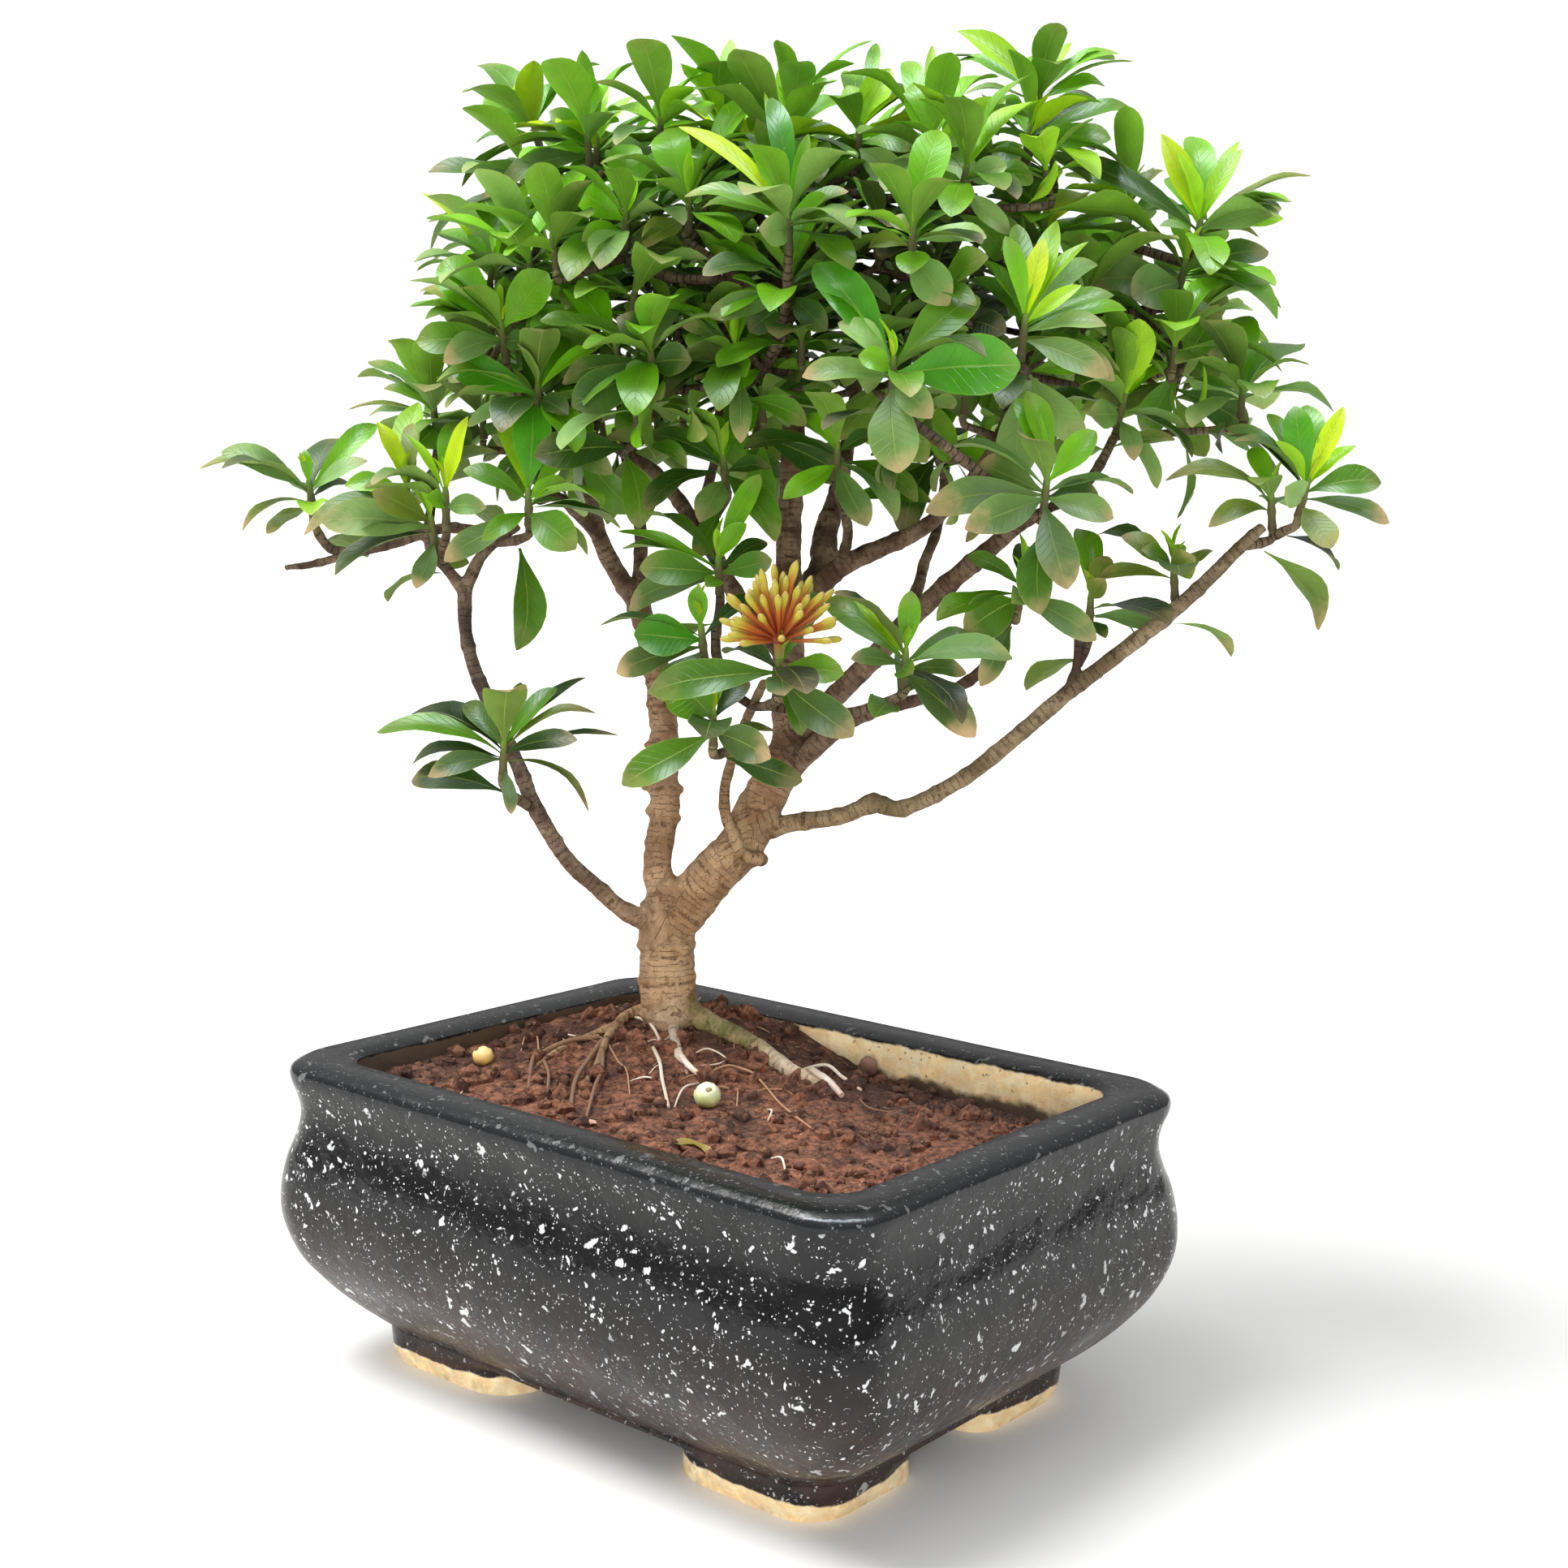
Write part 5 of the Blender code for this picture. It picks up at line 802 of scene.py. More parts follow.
def gap_cutter(outline, height):
    """The gap as a closed shape, with its upper edges rounded except at its far ends."""
    shape = bmesh.new()
    floor = shape.faces.new([shape.verts.new(Vector((x, y, -height)) * MM) for x, y in outline])
    top = bmesh.ops.extrude_face_region(shape, geom=[floor])["geom"]
    moved = [part for part in top if isinstance(part, bmesh.types.BMVert)]
    bmesh.ops.translate(shape, verts=moved, vec=Vector((0, 0, 2 * height * MM)))
    far = (GAP_REACH - 1) * MM
    rounded = [edge for edge in shape.edges if min(vert.co.z for vert in edge.verts) > 0
               and min(max(abs(vert.co.x), abs(vert.co.y)) for vert in edge.verts) < far]
    bmesh.ops.bevel(shape, geom=rounded, offset=GAP_ROUNDING * MM, segments=GAP_ROUNDING_STEPS,
                    profile=0.5, affect="EDGES")
    bmesh.ops.recalc_face_normals(shape, faces=shape.faces)
    return shape


def srgb(red, green, blue):
    """A linear colour from 0-255 screen values."""
    def linear(value):
        value /= 255
        return value / 12.92 if value <= 0.04045 else ((value + 0.055) / 1.055) ** 2.4
    return (linear(red), linear(green), linear(blue))


def blend_colour(a, b, t):
    return tuple(x + (y - x) * t for x, y in zip(a, b))


class Shader:
    """A node material, with short calls that add nodes and return what comes out of them."""

    def __init__(self, name):
        self.material = bpy.data.materials.new(name)
        self.material.use_nodes = True
        self.tree = self.material.node_tree
        self.principled = self.tree.nodes["Principled BSDF"]

    def node(self, kind, inputs=(), **settings):
        made = self.tree.nodes.new(kind)
        for key, value in settings.items():
            setattr(made, key, value)
        for key, value in dict(inputs).items():
            self.put(made.inputs[key], value)
        return made

    def put(self, socket, value):
        if isinstance(value, bpy.types.NodeSocket):
            self.tree.links.new(value, socket)
        elif isinstance(value, tuple) and len(value) == 3 and socket.type == "RGBA":
            socket.default_value = (*value, 1.0)
        else:
            socket.default_value = value

    def math(self, operation, *values):
        return self.node("ShaderNodeMath", enumerate(values), operation=operation).outputs[0]

    def times(self, a, b):
        return self.math("MULTIPLY", a, b)

    def most(self, a, b):
        return self.math("MAXIMUM", a, b)

    def less(self, a, b):
        return self.math("SUBTRACT", a, b)

    def linear(self, value, slope, start):
        """The value times the slope, plus the start."""
        return self.math("MULTIPLY_ADD", value, slope, start)

    def mix(self, amount, a, b, mode="MIX"):
        return self.node("ShaderNodeMix", data_type="RGBA", blend_type=mode,
                         inputs={0: amount, 6: a, 7: b}).outputs[2]

    def shaded(self, colour, shade):
        grey = self.node("ShaderNodeCombineXYZ", {0: shade, 1: shade, 2: shade}).outputs[0]
        return self.mix(1.0, colour, grey, "MULTIPLY")

    def step(self, value, low, high):
        """0 below low and 1 above high; low may be the larger, which turns it round."""
        ends = (1.0, 0.0) if low > high else (0.0, 1.0)
        inputs = {0: value, 1: min(low, high), 2: max(low, high), 3: ends[0], 4: ends[1]}
        return self.node("ShaderNodeMapRange", inputs, interpolation_type="SMOOTHSTEP").outputs[0]

    def place(self):
        return self.node("ShaderNodeTexCoord").outputs["Object"]

    def scaled(self, vector, scale, turn=(0.0, 0.0, 0.0)):
        mapping = {"Vector": vector, "Scale": scale, "Rotation": turn}
        return self.node("ShaderNodeMapping", mapping).outputs[0]

    def noise_node(self, vector, scale, detail, roughness):
        return self.node("ShaderNodeTexNoise", {"Vector": vector, "Scale": scale, "Detail": detail,
                                                "Roughness": roughness})

    def noise(self, vector, scale, detail=4.0, roughness=0.55):
        return self.noise_node(vector, scale, detail, roughness).outputs[0]

    def cells(self, vector, scale):
        """Distance from the middle of each cell, and a colour by chance for each."""
        made = self.node("ShaderNodeTexVoronoi", {"Vector": vector, "Scale": scale})
        return made.outputs[0], made.outputs["Color"]

    def channels(self, colour):
        return self.node("ShaderNodeSeparateColor", {"Color": colour}).outputs

    def split(self, vector):
        return self.node("ShaderNodeSeparateXYZ", {"Vector": vector}).outputs

    def attribute(self, name):
        return self.node("ShaderNodeAttribute", attribute_name=name).outputs

    def finish(self, colour, roughness, bump=None, **constants):
        """Bump is a height, its strength and its distance."""
        self.put(self.principled.inputs["Base Color"], colour)
        self.put(self.principled.inputs["Roughness"], roughness)
        if bump:
            height = dict(zip(("Height", "Strength", "Distance"), bump))
            normal = self.node("ShaderNodeBump", height).outputs[0]
            self.put(self.principled.inputs["Normal"], normal)
        for key, value in constants.items():
            self.principled.inputs[key.replace("_", " ")].default_value = value
        return self.material


# Screen colours of the surfaces
PAINT = {name: srgb(*colour) for name, colour in {
    "vein": (190, 214, 96), "dry tip": (206, 172, 128), "leaf speck": (128, 104, 66),
    "bark shadow": (150, 128, 112), "bark light": (206, 180, 146), "bark ring": (60, 44, 34),
    "bark pore": (72, 52, 40), "moss": (104, 112, 52),
    "earth low": (76, 48, 38), "earth high": (170, 114, 88), "earth clump": (60, 38, 30),
    "earth darker": (66, 46, 38), "clod": (176, 126, 98), "grit": (206, 178, 150),
    "glaze dark": (6, 6, 7), "glaze light": (24, 23, 24), "lip": (28, 30, 33), "rust": (62, 42, 35),
    "fleck": (214, 216, 218), "clay dull": (250, 216, 160), "clay pale": (255, 240, 200),
    "mud": (66, 44, 35), "clay stain": (132, 98, 62), "clay green": (126, 128, 84),
    "small speck": (70, 50, 34), "soil": (110, 60, 40), "bloom core": (136, 62, 26),
}.items()}


def leaf_material():
    """Glossy blades: pale midrib, forward side veins, quilted bumps, tan tips and duller undersides."""
    s = Shader("leaf_surface")
    across, along, _ = s.split(s.node("ShaderNodeUVMap", uv_map="blade").outputs[0])
    tint = s.attribute("tint")
    under, shine, _ = s.channels(s.attribute("detail")["Color"])
    place = s.place()
    off_middle = s.math("ABSOLUTE", s.less(across, 0.5))
    rib = s.step(s.math("DIVIDE", off_middle, s.linear(along, -0.030, 0.042)), 1.0, 0.35)
    sweep = s.linear(along, 11.0, s.times(off_middle, -4.2))
    wander = s.noise(place, 260.0, 2.0)
    phase = s.math("FRACT", s.math("ADD", sweep, s.times(wander, 0.35)))
    line = s.math("ABSOLUTE", s.less(phase, 0.5))
    vein = s.times(s.step(line, 0.07, 0.01), s.step(off_middle, 0.49, 0.40))
    vein = s.times(vein, s.step(along, 0.04, 0.12))
    patches = s.noise(place, 95.0, 3.0)
    fine = s.noise(place, 900.0, 3.0)
    shade = s.linear(patches, 0.62, 0.62)
    shade = s.linear(s.step(off_middle, 0.02, 0.42), 0.12, shade)
    colour = s.shaded(tint["Color"], s.linear(fine, 0.10, shade))
    lighter = s.mix(0.5, colour, PAINT["vein"])
    # The pale midrib and side veins, and at the very edge a paler rim, a painted sheen.
    for part, amount in ((rib, 0.62), (vein, 0.15), (s.step(off_middle, 0.455, 0.495), 0.35)):
        colour = s.mix(s.times(part, amount), colour, lighter)
    worn = s.less(along, s.linear(patches, -0.55, 1.10))
    worn = s.times(s.step(worn, -0.12, 0.22), tint["Alpha"])
    colour = s.mix(worn, colour, PAINT["dry tip"])
    speck = s.times(s.step(s.cells(place, 420.0)[0], 0.16, 0.07), s.times(tint["Alpha"], 0.5))
    colour = s.mix(speck, colour, PAINT["leaf speck"])
    rough = s.linear(shine, -0.28, 0.52)
    for part, amount in ((under, 0.18), (patches, 0.12), (worn, 0.2)):
        rough = s.linear(part, amount, rough)
    height = s.linear(rib, -0.9, s.times(s.less(1.0, vein), 0.6))
    height = s.linear(fine, 0.12, height)
    return s.finish(colour, rough, (height, 0.55, 0.0004), Specular_IOR_Level=0.31)


def bark_material():
    """Bark: each stem brings its tint, with rings, flakes, pores and moss over it."""
    s = Shader("bark_surface")
    place = s.place()
    tint = s.attribute("tint")
    along = s.split(s.attribute("grain")["Vector"])[0]
    ring_at = s.linear(s.noise(place, 60.0, 4.0, 0.6), 1.6, s.times(along, 330.0))
    ring = s.math("ABSOLUTE", s.less(s.math("FRACT", ring_at), 0.5))
    ring = s.times(s.step(ring, 0.13, 0.0), s.step(s.noise(place, 200.0, 2.0), 0.38, 0.54))
    flakes = s.noise(s.scaled(place, (1.0, 1.0, 0.45)), 320.0, 6.0, 0.65)
    patches = s.noise(place, 75.0, 5.0, 0.6)
    pores = s.cells(s.scaled(place, (1.0, 1.0, 1.6)), 520.0)[0]
    pore = s.times(s.step(pores, 0.2, 0.06), s.step(patches, 0.45, 0.6))
    dark = s.mix(1.0, tint["Color"], PAINT["bark shadow"], "MULTIPLY")
    light = s.mix(0.45, tint["Color"], PAINT["bark light"])
    colour = s.mix(s.step(patches, 0.38, 0.66), dark, light)
    colour = s.mix(0.45, colour, tint["Color"])
    colour = s.mix(s.times(s.step(flakes, 0.46, 0.30), 0.7), colour, dark)
    colour = s.mix(s.times(ring, 0.65), colour, s.mix(0.35, dark, PAINT["bark ring"]))
    colour = s.mix(s.times(pore, 0.6), colour, PAINT["bark pore"])
    moss = s.times(tint["Alpha"], s.step(s.noise(place, 160.0, 4.0), 0.40, 0.60))
    colour = s.mix(moss, colour, PAINT["moss"])
    height = s.linear(pore, -0.6, s.linear(ring, -1.0, flakes))
    return s.finish(colour, s.linear(flakes, 0.2, 0.70), (height, 1.0, 0.0011), Specular_IOR_Level=0.35)


# Where the soil is darker: how far behind and left of the pot's middle, in metres.
DARKER_BACK = (0.010, 0.070)
DARKER_LEFT = (-0.050, -0.110)


def soil_material():
    """Red-brown earth with dark clumps, darker patches towards the back and left, pale clods and grit."""
    s = Shader("soil_surface")
    place = s.place()
    x, y, _ = s.split(place)
    broad = s.noise(place, 34.0, 5.0, 0.6)
    crumbs = s.noise(place, 300.0, 6.0, 0.7)
    clod, chance = s.cells(place, 330.0)
    clumps = s.noise(place, 84.0, 4.0, 0.6)
    colour = s.mix(s.step(crumbs, 0.34, 0.68), PAINT["earth low"], PAINT["earth high"])
    colour = s.mix(s.times(s.step(clumps, 0.52, 0.34), 0.75), colour, PAINT["earth clump"])
    back = s.step(s.less(y, MODEL_SHIFT.y), *DARKER_BACK)
    left = s.step(s.less(x, MODEL_SHIFT.x), *DARKER_LEFT)
    darkened = s.step(s.less(broad, s.linear(s.most(back, left), 0.16, 0.40)), 0.06, -0.06)
    colour = s.mix(s.times(darkened, 0.72), colour, PAINT["earth darker"])
    colour = s.mix(s.times(s.step(s.channels(chance)[0], 0.80, 0.9), 0.30), colour, PAINT["clod"])
    grain, grit_chance = s.cells(place, 900.0)
    pale = s.times(s.step(s.channels(grit_chance)[1], 0.955, 0.96), s.step(grain, 0.35, 0.2))
    colour = s.mix(s.times(pale, 0.75), colour, PAINT["grit"])
    height = s.linear(clod, -0.6, crumbs)
    return s.finish(colour, s.linear(crumbs, 0.15, 0.82), (height, 1.0, 0.0016), Specular_IOR_Level=0.2)


# Flecks of the glaze: cells to a metre, share of them with a fleck, its size, and how far it bends.
ROUND_FLECKS = ((125.0, 0.50, 0.30, 0.016), (290.0, 0.40, 0.33, 0.008), (640.0, 0.24, 0.36, 0.004))
STROKE = (120.0, 0.62, 0.20, 0.030)
STROKE_WAYS = (((1.0, 1.0, 4.6), (0.5, 0.2, 0.0)), ((4.0, 4.0, 1.0), (-0.4, 0.5, 0.3)))
# Heights on the pot, in metres, between which one surface turns into another.
LIP_EDGE = (0.1165, 0.1205)
FEW_FLECKS = (0.040, 0.012)
RUST_EDGE = (0.082, 0.018)
FOOT_EDGE = (0.0098, 0.0088)
CLAY_EDGE = (0.1252, 0.1240)
DAMP_EDGE = (0.1045, 0.1000)
# The bare inner wall: within these half sizes and above this height, in metres.
INNER_HALF = (0.1310, 0.0910)
INNER_FROM = 0.05
# Mud on the inner wall ends at a slanted edge: a height, its slope, and where it ends across.
MUD_SLANT = (0.108, 2.2)
MUD_EDGE = (0.018, 0.002)


def fleck_marks(s, place, bend):
    """White flecks and strokes, which thin out in patches."""
    def flecks(scale, share, size, amount, stretch=(1.0, 1.0, 1.0), turn=(0.0, 0.0, 0.0)):
        distance, chance = s.cells(s.scaled(bend(amount), stretch, turn), scale)
        one, other, _ = s.channels(chance)
        reach = s.times(s.linear(other, 0.7, 0.3), size)
        inside = s.step(s.math("DIVIDE", distance, reach), 1.0, 0.72)
        return s.times(inside, s.step(one, 1.0 - share, 1.0 - share + 0.01))

    spots = flecks(*ROUND_FLECKS[0])
    for kind in ROUND_FLECKS[1:]:
        spots = s.most(spots, flecks(*kind))
    strokes = s.most(flecks(*STROKE, *STROKE_WAYS[0]), flecks(*STROKE, *STROKE_WAYS[1]))
    marks = s.most(spots, s.times(strokes, 0.85))
    return s.times(marks, s.step(s.noise(place, 34.0, 3.0), 0.22, 0.44))


def glaze_material():
    """Charcoal glaze, rusty below, with fewer flecks on the lip and low down, and bare clay."""
    s = Shader("glaze_surface")
    place = s.place()
    x, y, z = s.split(place)
    from_x = s.math("ABSOLUTE", s.less(x, MODEL_SHIFT.x))
    from_y = s.math("ABSOLUTE", s.less(y, MODEL_SHIFT.y))
    swirl = s.noise_node(place, 130.0, 3.0, 0.55).outputs[1]
    bent = s.node("ShaderNodeVectorMath", {0: swirl, 1: (-0.5, -0.5, -0.5)}, operation="ADD").outputs[0]

    def bend(amount):
        moved = s.node("ShaderNodeVectorMath", {0: bent, "Scale": amount}, operation="SCALE").outputs[0]
        return s.node("ShaderNodeVectorMath", {0: place, 1: moved}, operation="ADD").outputs[0]

    marks = fleck_marks(s, place, bend)
    on_lip = s.step(z, *LIP_EDGE)
    marks = s.times(marks, s.linear(on_lip, -0.80, 1.0))
    marks = s.times(marks, s.linear(s.step(z, *FEW_FLECKS), -0.45, 1.0))
    cloud = s.noise(place, 60.0, 5.0, 0.6)
    colour = s.mix(s.step(cloud, 0.3, 0.7), PAINT["glaze dark"], PAINT["glaze light"])
    colour = s.mix(s.times(on_lip, 0.6), colour, PAINT["lip"])
    rust = s.times(s.step(z, *RUST_EDGE), s.step(s.noise(place, 45.0, 5.0, 0.65), 0.32, 0.60))
    colour = s.mix(s.times(rust, 0.80), colour, PAINT["rust"])
    colour = s.mix(s.times(marks, 0.88), colour, PAINT["fleck"])

    waver = s.noise(place, 85.0, 4.0, 0.6)
    foot = s.step(s.linear(waver, 0.0045, z), *FOOT_EDGE)
    within_x = s.math("LESS_THAN", from_x, INNER_HALF[0])
    within = s.times(within_x, s.math("LESS_THAN", from_y, INNER_HALF[1]))
    inner = s.times(within, s.step(s.linear(waver, 0.004, z), *CLAY_EDGE))
    inner = s.times(inner, s.math("GREATER_THAN", z, INNER_FROM))
    grain = s.noise(place, 210.0, 5.0, 0.65)
    clay = s.mix(s.step(grain, 0.35, 0.68), PAINT["clay dull"], PAINT["clay pale"])
    stain = s.step(s.noise(place, 70.0, 6.0, 0.7), 0.40, 0.56)
    darkened = s.step(s.linear(cloud, -0.016, z), *DAMP_EDGE)
    edge_at = s.linear(s.noise(place, 150.0, 6.0, 0.7), 0.05, s.less(x, MODEL_SHIFT.x))
    covered = s.step(s.linear(s.less(z, MUD_SLANT[0]), MUD_SLANT[1], edge_at), *MUD_EDGE)
    splashes = s.step(s.cells(bend(0.006), 260.0)[0], 0.20, 0.10)
    stained = s.most(s.most(s.times(stain, 0.16), darkened), covered)
    stained = s.most(stained, s.times(splashes, 0.7))
    inner_clay = s.mix(s.times(stained, 0.94), clay, PAINT["mud"])
    green = s.times(s.step(s.noise(place, 120.0, 4.0), 0.54, 0.66), 0.28)
    foot_clay = s.mix(s.times(stain, 0.22), clay, PAINT["clay stain"])
    colour = s.mix(foot, colour, s.mix(green, foot_clay, PAINT["clay green"]))
    colour = s.mix(inner, colour, inner_clay)

    bare = s.most(foot, inner)
    rough = s.linear(s.noise(s.scaled(place, (1.0, 1.0, 2.5)), 40.0, 4.0), 0.24, 0.10)
    rough = s.linear(rust, 0.16, s.linear(marks, 0.16, rough))
    rough = s.most(rough, s.times(bare, 0.85))
    height = s.linear(s.noise(place, 70.0, 4.0), 2.0, s.times(marks, 0.5))
    height = s.linear(s.times(bare, grain), 0.9, height)
    return s.finish(colour, rough, (height, 0.5, 0.0009), Specular_IOR_Level=0.34)


def tint_material(name, roughness, scale, spread, bump):
    """A small piece whose colour comes with its points, broken up by noise."""
    s = Shader(name)
    place = s.place()
    tint = s.attribute("tint")["Color"]
    grain = s.noise(place, scale, 5.0, 0.65)
    colour = s.shaded(tint, s.linear(grain, spread, 1.0 - spread / 2))
    speck = s.step(s.cells(place, scale * 2.2)[0], 0.22, 0.08)
    colour = s.mix(s.times(speck, 0.35), colour, s.mix(0.5, tint, PAINT["small speck"]))
    rough = s.linear(grain, 0.2, roughness - 0.1)
    return s.finish(colour, rough, (grain, 0.6, bump), Specular_IOR_Level=0.4)


def floor_material():
    s = Shader("floor_surface")
    cloud = s.noise(s.place(), 3.0, 3.0)
    colour = s.mix(cloud, (0.90, 0.90, 0.90), (0.93, 0.93, 0.93))
    return s.finish(colour, s.linear(cloud, 0.1, 0.85), Specular_IOR_Level=0.1)


# Rows of a fine blade from root to tip, and how wide a grown and a young blade are at each.
LEAF_ROWS = (0.0, 0.06, 0.14, 0.24, 0.36, 0.48, 0.60, 0.71, 0.81, 0.89, 0.95, 1.0)
GROWN_OUTLINE = (0.09, 0.11, 0.22, 0.44, 0.70, 0.89, 0.99, 1.0, 0.91, 0.72, 0.47, 0.08)
YOUNG_OUTLINE = (0.10, 0.13, 0.31, 0.59, 0.83, 0.96, 1.0, 0.92, 0.74, 0.50, 0.28, 0.03)
LEAF_COLUMNS = (-1.0, -0.5, 0.0, 0.5, 1.0)
UNDER_DROPS = (0.22 * MM, 0.45 * MM, 0.22 * MM)
# Each tone's screen colour, its shine, and how dry its tip is at least and at most.
TONES = {
    "y": ((196, 226, 14), 0.50, (0.0, 0.1)), "l": ((158, 214, 20), 0.60, (0.0, 0.15)),
    "b": ((116, 184, 20), 0.85, (0.0, 0.25)), "g": ((76, 156, 26), 1.00, (0.0, 0.2)),
    "m": ((94, 148, 32), 0.80, (0.1, 0.45)), "p": ((140, 184, 98), 0.45, (0.1, 0.5)),
    "v": ((128, 150, 50), 0.45, (0.3, 0.7)), "d": ((58, 96, 28), 0.60, (0.1, 0.4)),
    "n": ((44, 68, 29), 0.55, (0.1, 0.4)), "o": ((110, 148, 70), 0.40, (0.5, 0.9)),
    "dry": ((204, 176, 66), 0.20, (0.4, 0.8)),
}
# The undersides' paler yellow-green: partly their own colour, partly a painted glow of light through the
# blade.
UNDER_COLOUR_AND_GLOW = srgb(130, 158, 62)
UNDER_SHARES = (0.45, 0.25)
# Steep blades: from which rise or fall on they get a brighter tone, and how narrow upright ones look.
UPRIGHT = 0.72
HANGING = -0.75
UPRIGHT_WIDTH = 0.82
# Light and dark leaves by chance, and painted shade that darkens them from this height down.
LEAF_LIGHTS = (0.84, 1.2)
LOW_SHADE = 0.50
HIGH_LIGHT = 1.04
SHADE_FROM = 0.24
SHADE_RISE = 0.20
# How a blade curls, folds, waves and twists, for a grown one and then a young one.
LEAF_SWAY = 0.035
LEAF_CURLS = ((0.0, 0.15), (-0.01, 0.03))
CURL_FROM = 0.65
LEAF_FOLDS = ((0.12, 0.34), (0.24, 0.46))
FOLD_POWER = 1.25
LEAF_WAVES = (0.05, 0.18)
WAVES_LONG = 1.6
WAVE_OFFSET = 1.9
LEAF_TWIST = 0.35
TWIST_FROM = 0.2
EDGE_THINS = 2.2

# The inside of the crown, on the drawing, whose leaves get the darkest tones as painted shade,
# and the heights where fresher tones begin; the darker tones below them are partly painted shade.
CROWN_MIDDLE = Vector((30.0, 205.0, 0.0))
CROWN_REACH = Vector((150.0, 85.0, 75.0))
CROWN_INSIDE = 0.4
TONE_FROM = 0.28
TONE_RISE = 0.25
TONE_SPREAD = 0.25
TONE_LEVELS = ((0.9, "bblly"), (0.6, "bbmmp"), (0.35, "mmbpd"))
INSIDE_SHADE_TONES = "nnd"
LOW_SHADE_TONES = "mdndo"


def added_tone(rng, place):
    """Fresh greens high on the crown; darker and duller ones below, partly painted shade, and the darkest
    inside, as painted shade.
    """
    away = [gap / reach for gap, reach in zip(place - drawn(*CROWN_MIDDLE), CROWN_REACH * MM)]
    if sum(part * part for part in away) < CROWN_INSIDE:
        return rng.choice(INSIDE_SHADE_TONES)
    score = (place.z - TONE_FROM) / TONE_RISE + rng.uniform(-TONE_SPREAD, TONE_SPREAD)
    return rng.choice(next((tones for least, tones in TONE_LEVELS if score > least), LOW_SHADE_TONES))


def add_object(name, data):
    made = bpy.data.objects.new(name, data)
    bpy.context.scene.collection.objects.link(made)
    return made


def evaluated_mesh(holder, name, cutters=()):
    """The mesh of an object after its modifiers. The object and its cutters are removed."""
    bpy.context.view_layer.update()
    mesh = bpy.data.meshes.new_from_object(holder.evaluated_get(bpy.context.evaluated_depsgraph_get()))
    for made in (*cutters, holder):
        bpy.data.objects.remove(made, do_unlink=True)
    mesh.name = name
    mesh.materials.clear()
    return mesh


def taken(shape):
    """Points and faces of a shape, which is then freed."""
    shape.verts.index_update()
    verts = [vert.co.copy() for vert in shape.verts]
    faces = [tuple(vert.index for vert in face.verts) for face in shape.faces]
    shape.free()
    return verts, faces


def round_ball(subdivisions):
    shape = bmesh.new()
    bmesh.ops.create_icosphere(shape, subdivisions=subdivisions, radius=1.0)
    return taken(shape)


class Pile:
    """Points and faces of one piece, with a tint, details and a UV for each face corner."""

    def __init__(self):
        self.verts = []
        self.faces = []
        self.tints = []
        self.details = []
        self.uvs = []
        self.grains = []

    def add(self, verts, faces, tint, detail=(0.0, 0.0, 0.0), uvs=None, grains=None):
        """Adds points and faces, and returns the first point's number. Grains are one for each point."""
        base = len(self.verts)
        self.verts += verts
        self.grains += grains or [(0.0, 0.0, 0.0)] * len(verts)
        self.add_faces(base, faces, tint, detail, uvs)
        return base

    def add_faces(self, base, faces, tint, detail, uvs):
        """Faces on points from base on. Tint is one colour or one for each point, as uvs are."""
        each = isinstance(tint, list)
        for face in faces:
            self.faces.append(tuple(base + k for k in face))
            for k in face:
                self.tints.append(tint[k] if each else tint)
                self.details.append(detail)
                self.uvs.append(uvs[k] if uvs else (0.2, 0.1))

    def mesh(self, name):
        made = bpy.data.meshes.new(name)
        made.from_pydata([tuple(vert) for vert in self.verts], [], self.faces)
        return made

    def make(self, name, material, sharp=50.0):
        mesh = self.mesh(name)
        tints = mesh.color_attributes.new("tint", "FLOAT_COLOR", "CORNER")
        tints.data.foreach_set("color", [part for tint in self.tints for part in (*tint, 0.0)[:4]])
        details = mesh.color_attributes.new("detail", "FLOAT_COLOR", "CORNER")
        details.data.foreach_set("color", [part for detail in self.details for part in (*detail, 1.0)])
        uvs = mesh.uv_layers.new(name="blade")
        uvs.data.foreach_set("uv", [part for uv in self.uvs for part in uv])
        grains = mesh.attributes.new("grain", "FLOAT_VECTOR", "POINT")
        grains.data.foreach_set("vector", [part for grain in self.grains for part in grain])
        return dress(name, mesh, material, sharp)


def dress(name, mesh, material, sharp=50.0):
    """Moves a mesh into the model's frame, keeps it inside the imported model's box and shades it."""
    for vert in mesh.vertices:
        place = vert.co + MODEL_SHIFT
        vert.co = [min(max(value, least), most) for value, least, most in zip(place, CAD_LOW, CAD_HIGH)]
    made = add_object(name, mesh)
    mesh.materials.append(material)
    mesh.shade_smooth()
    mesh.set_sharp_from_angle(angle=math.radians(sharp))
    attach(made, "root")
    return made


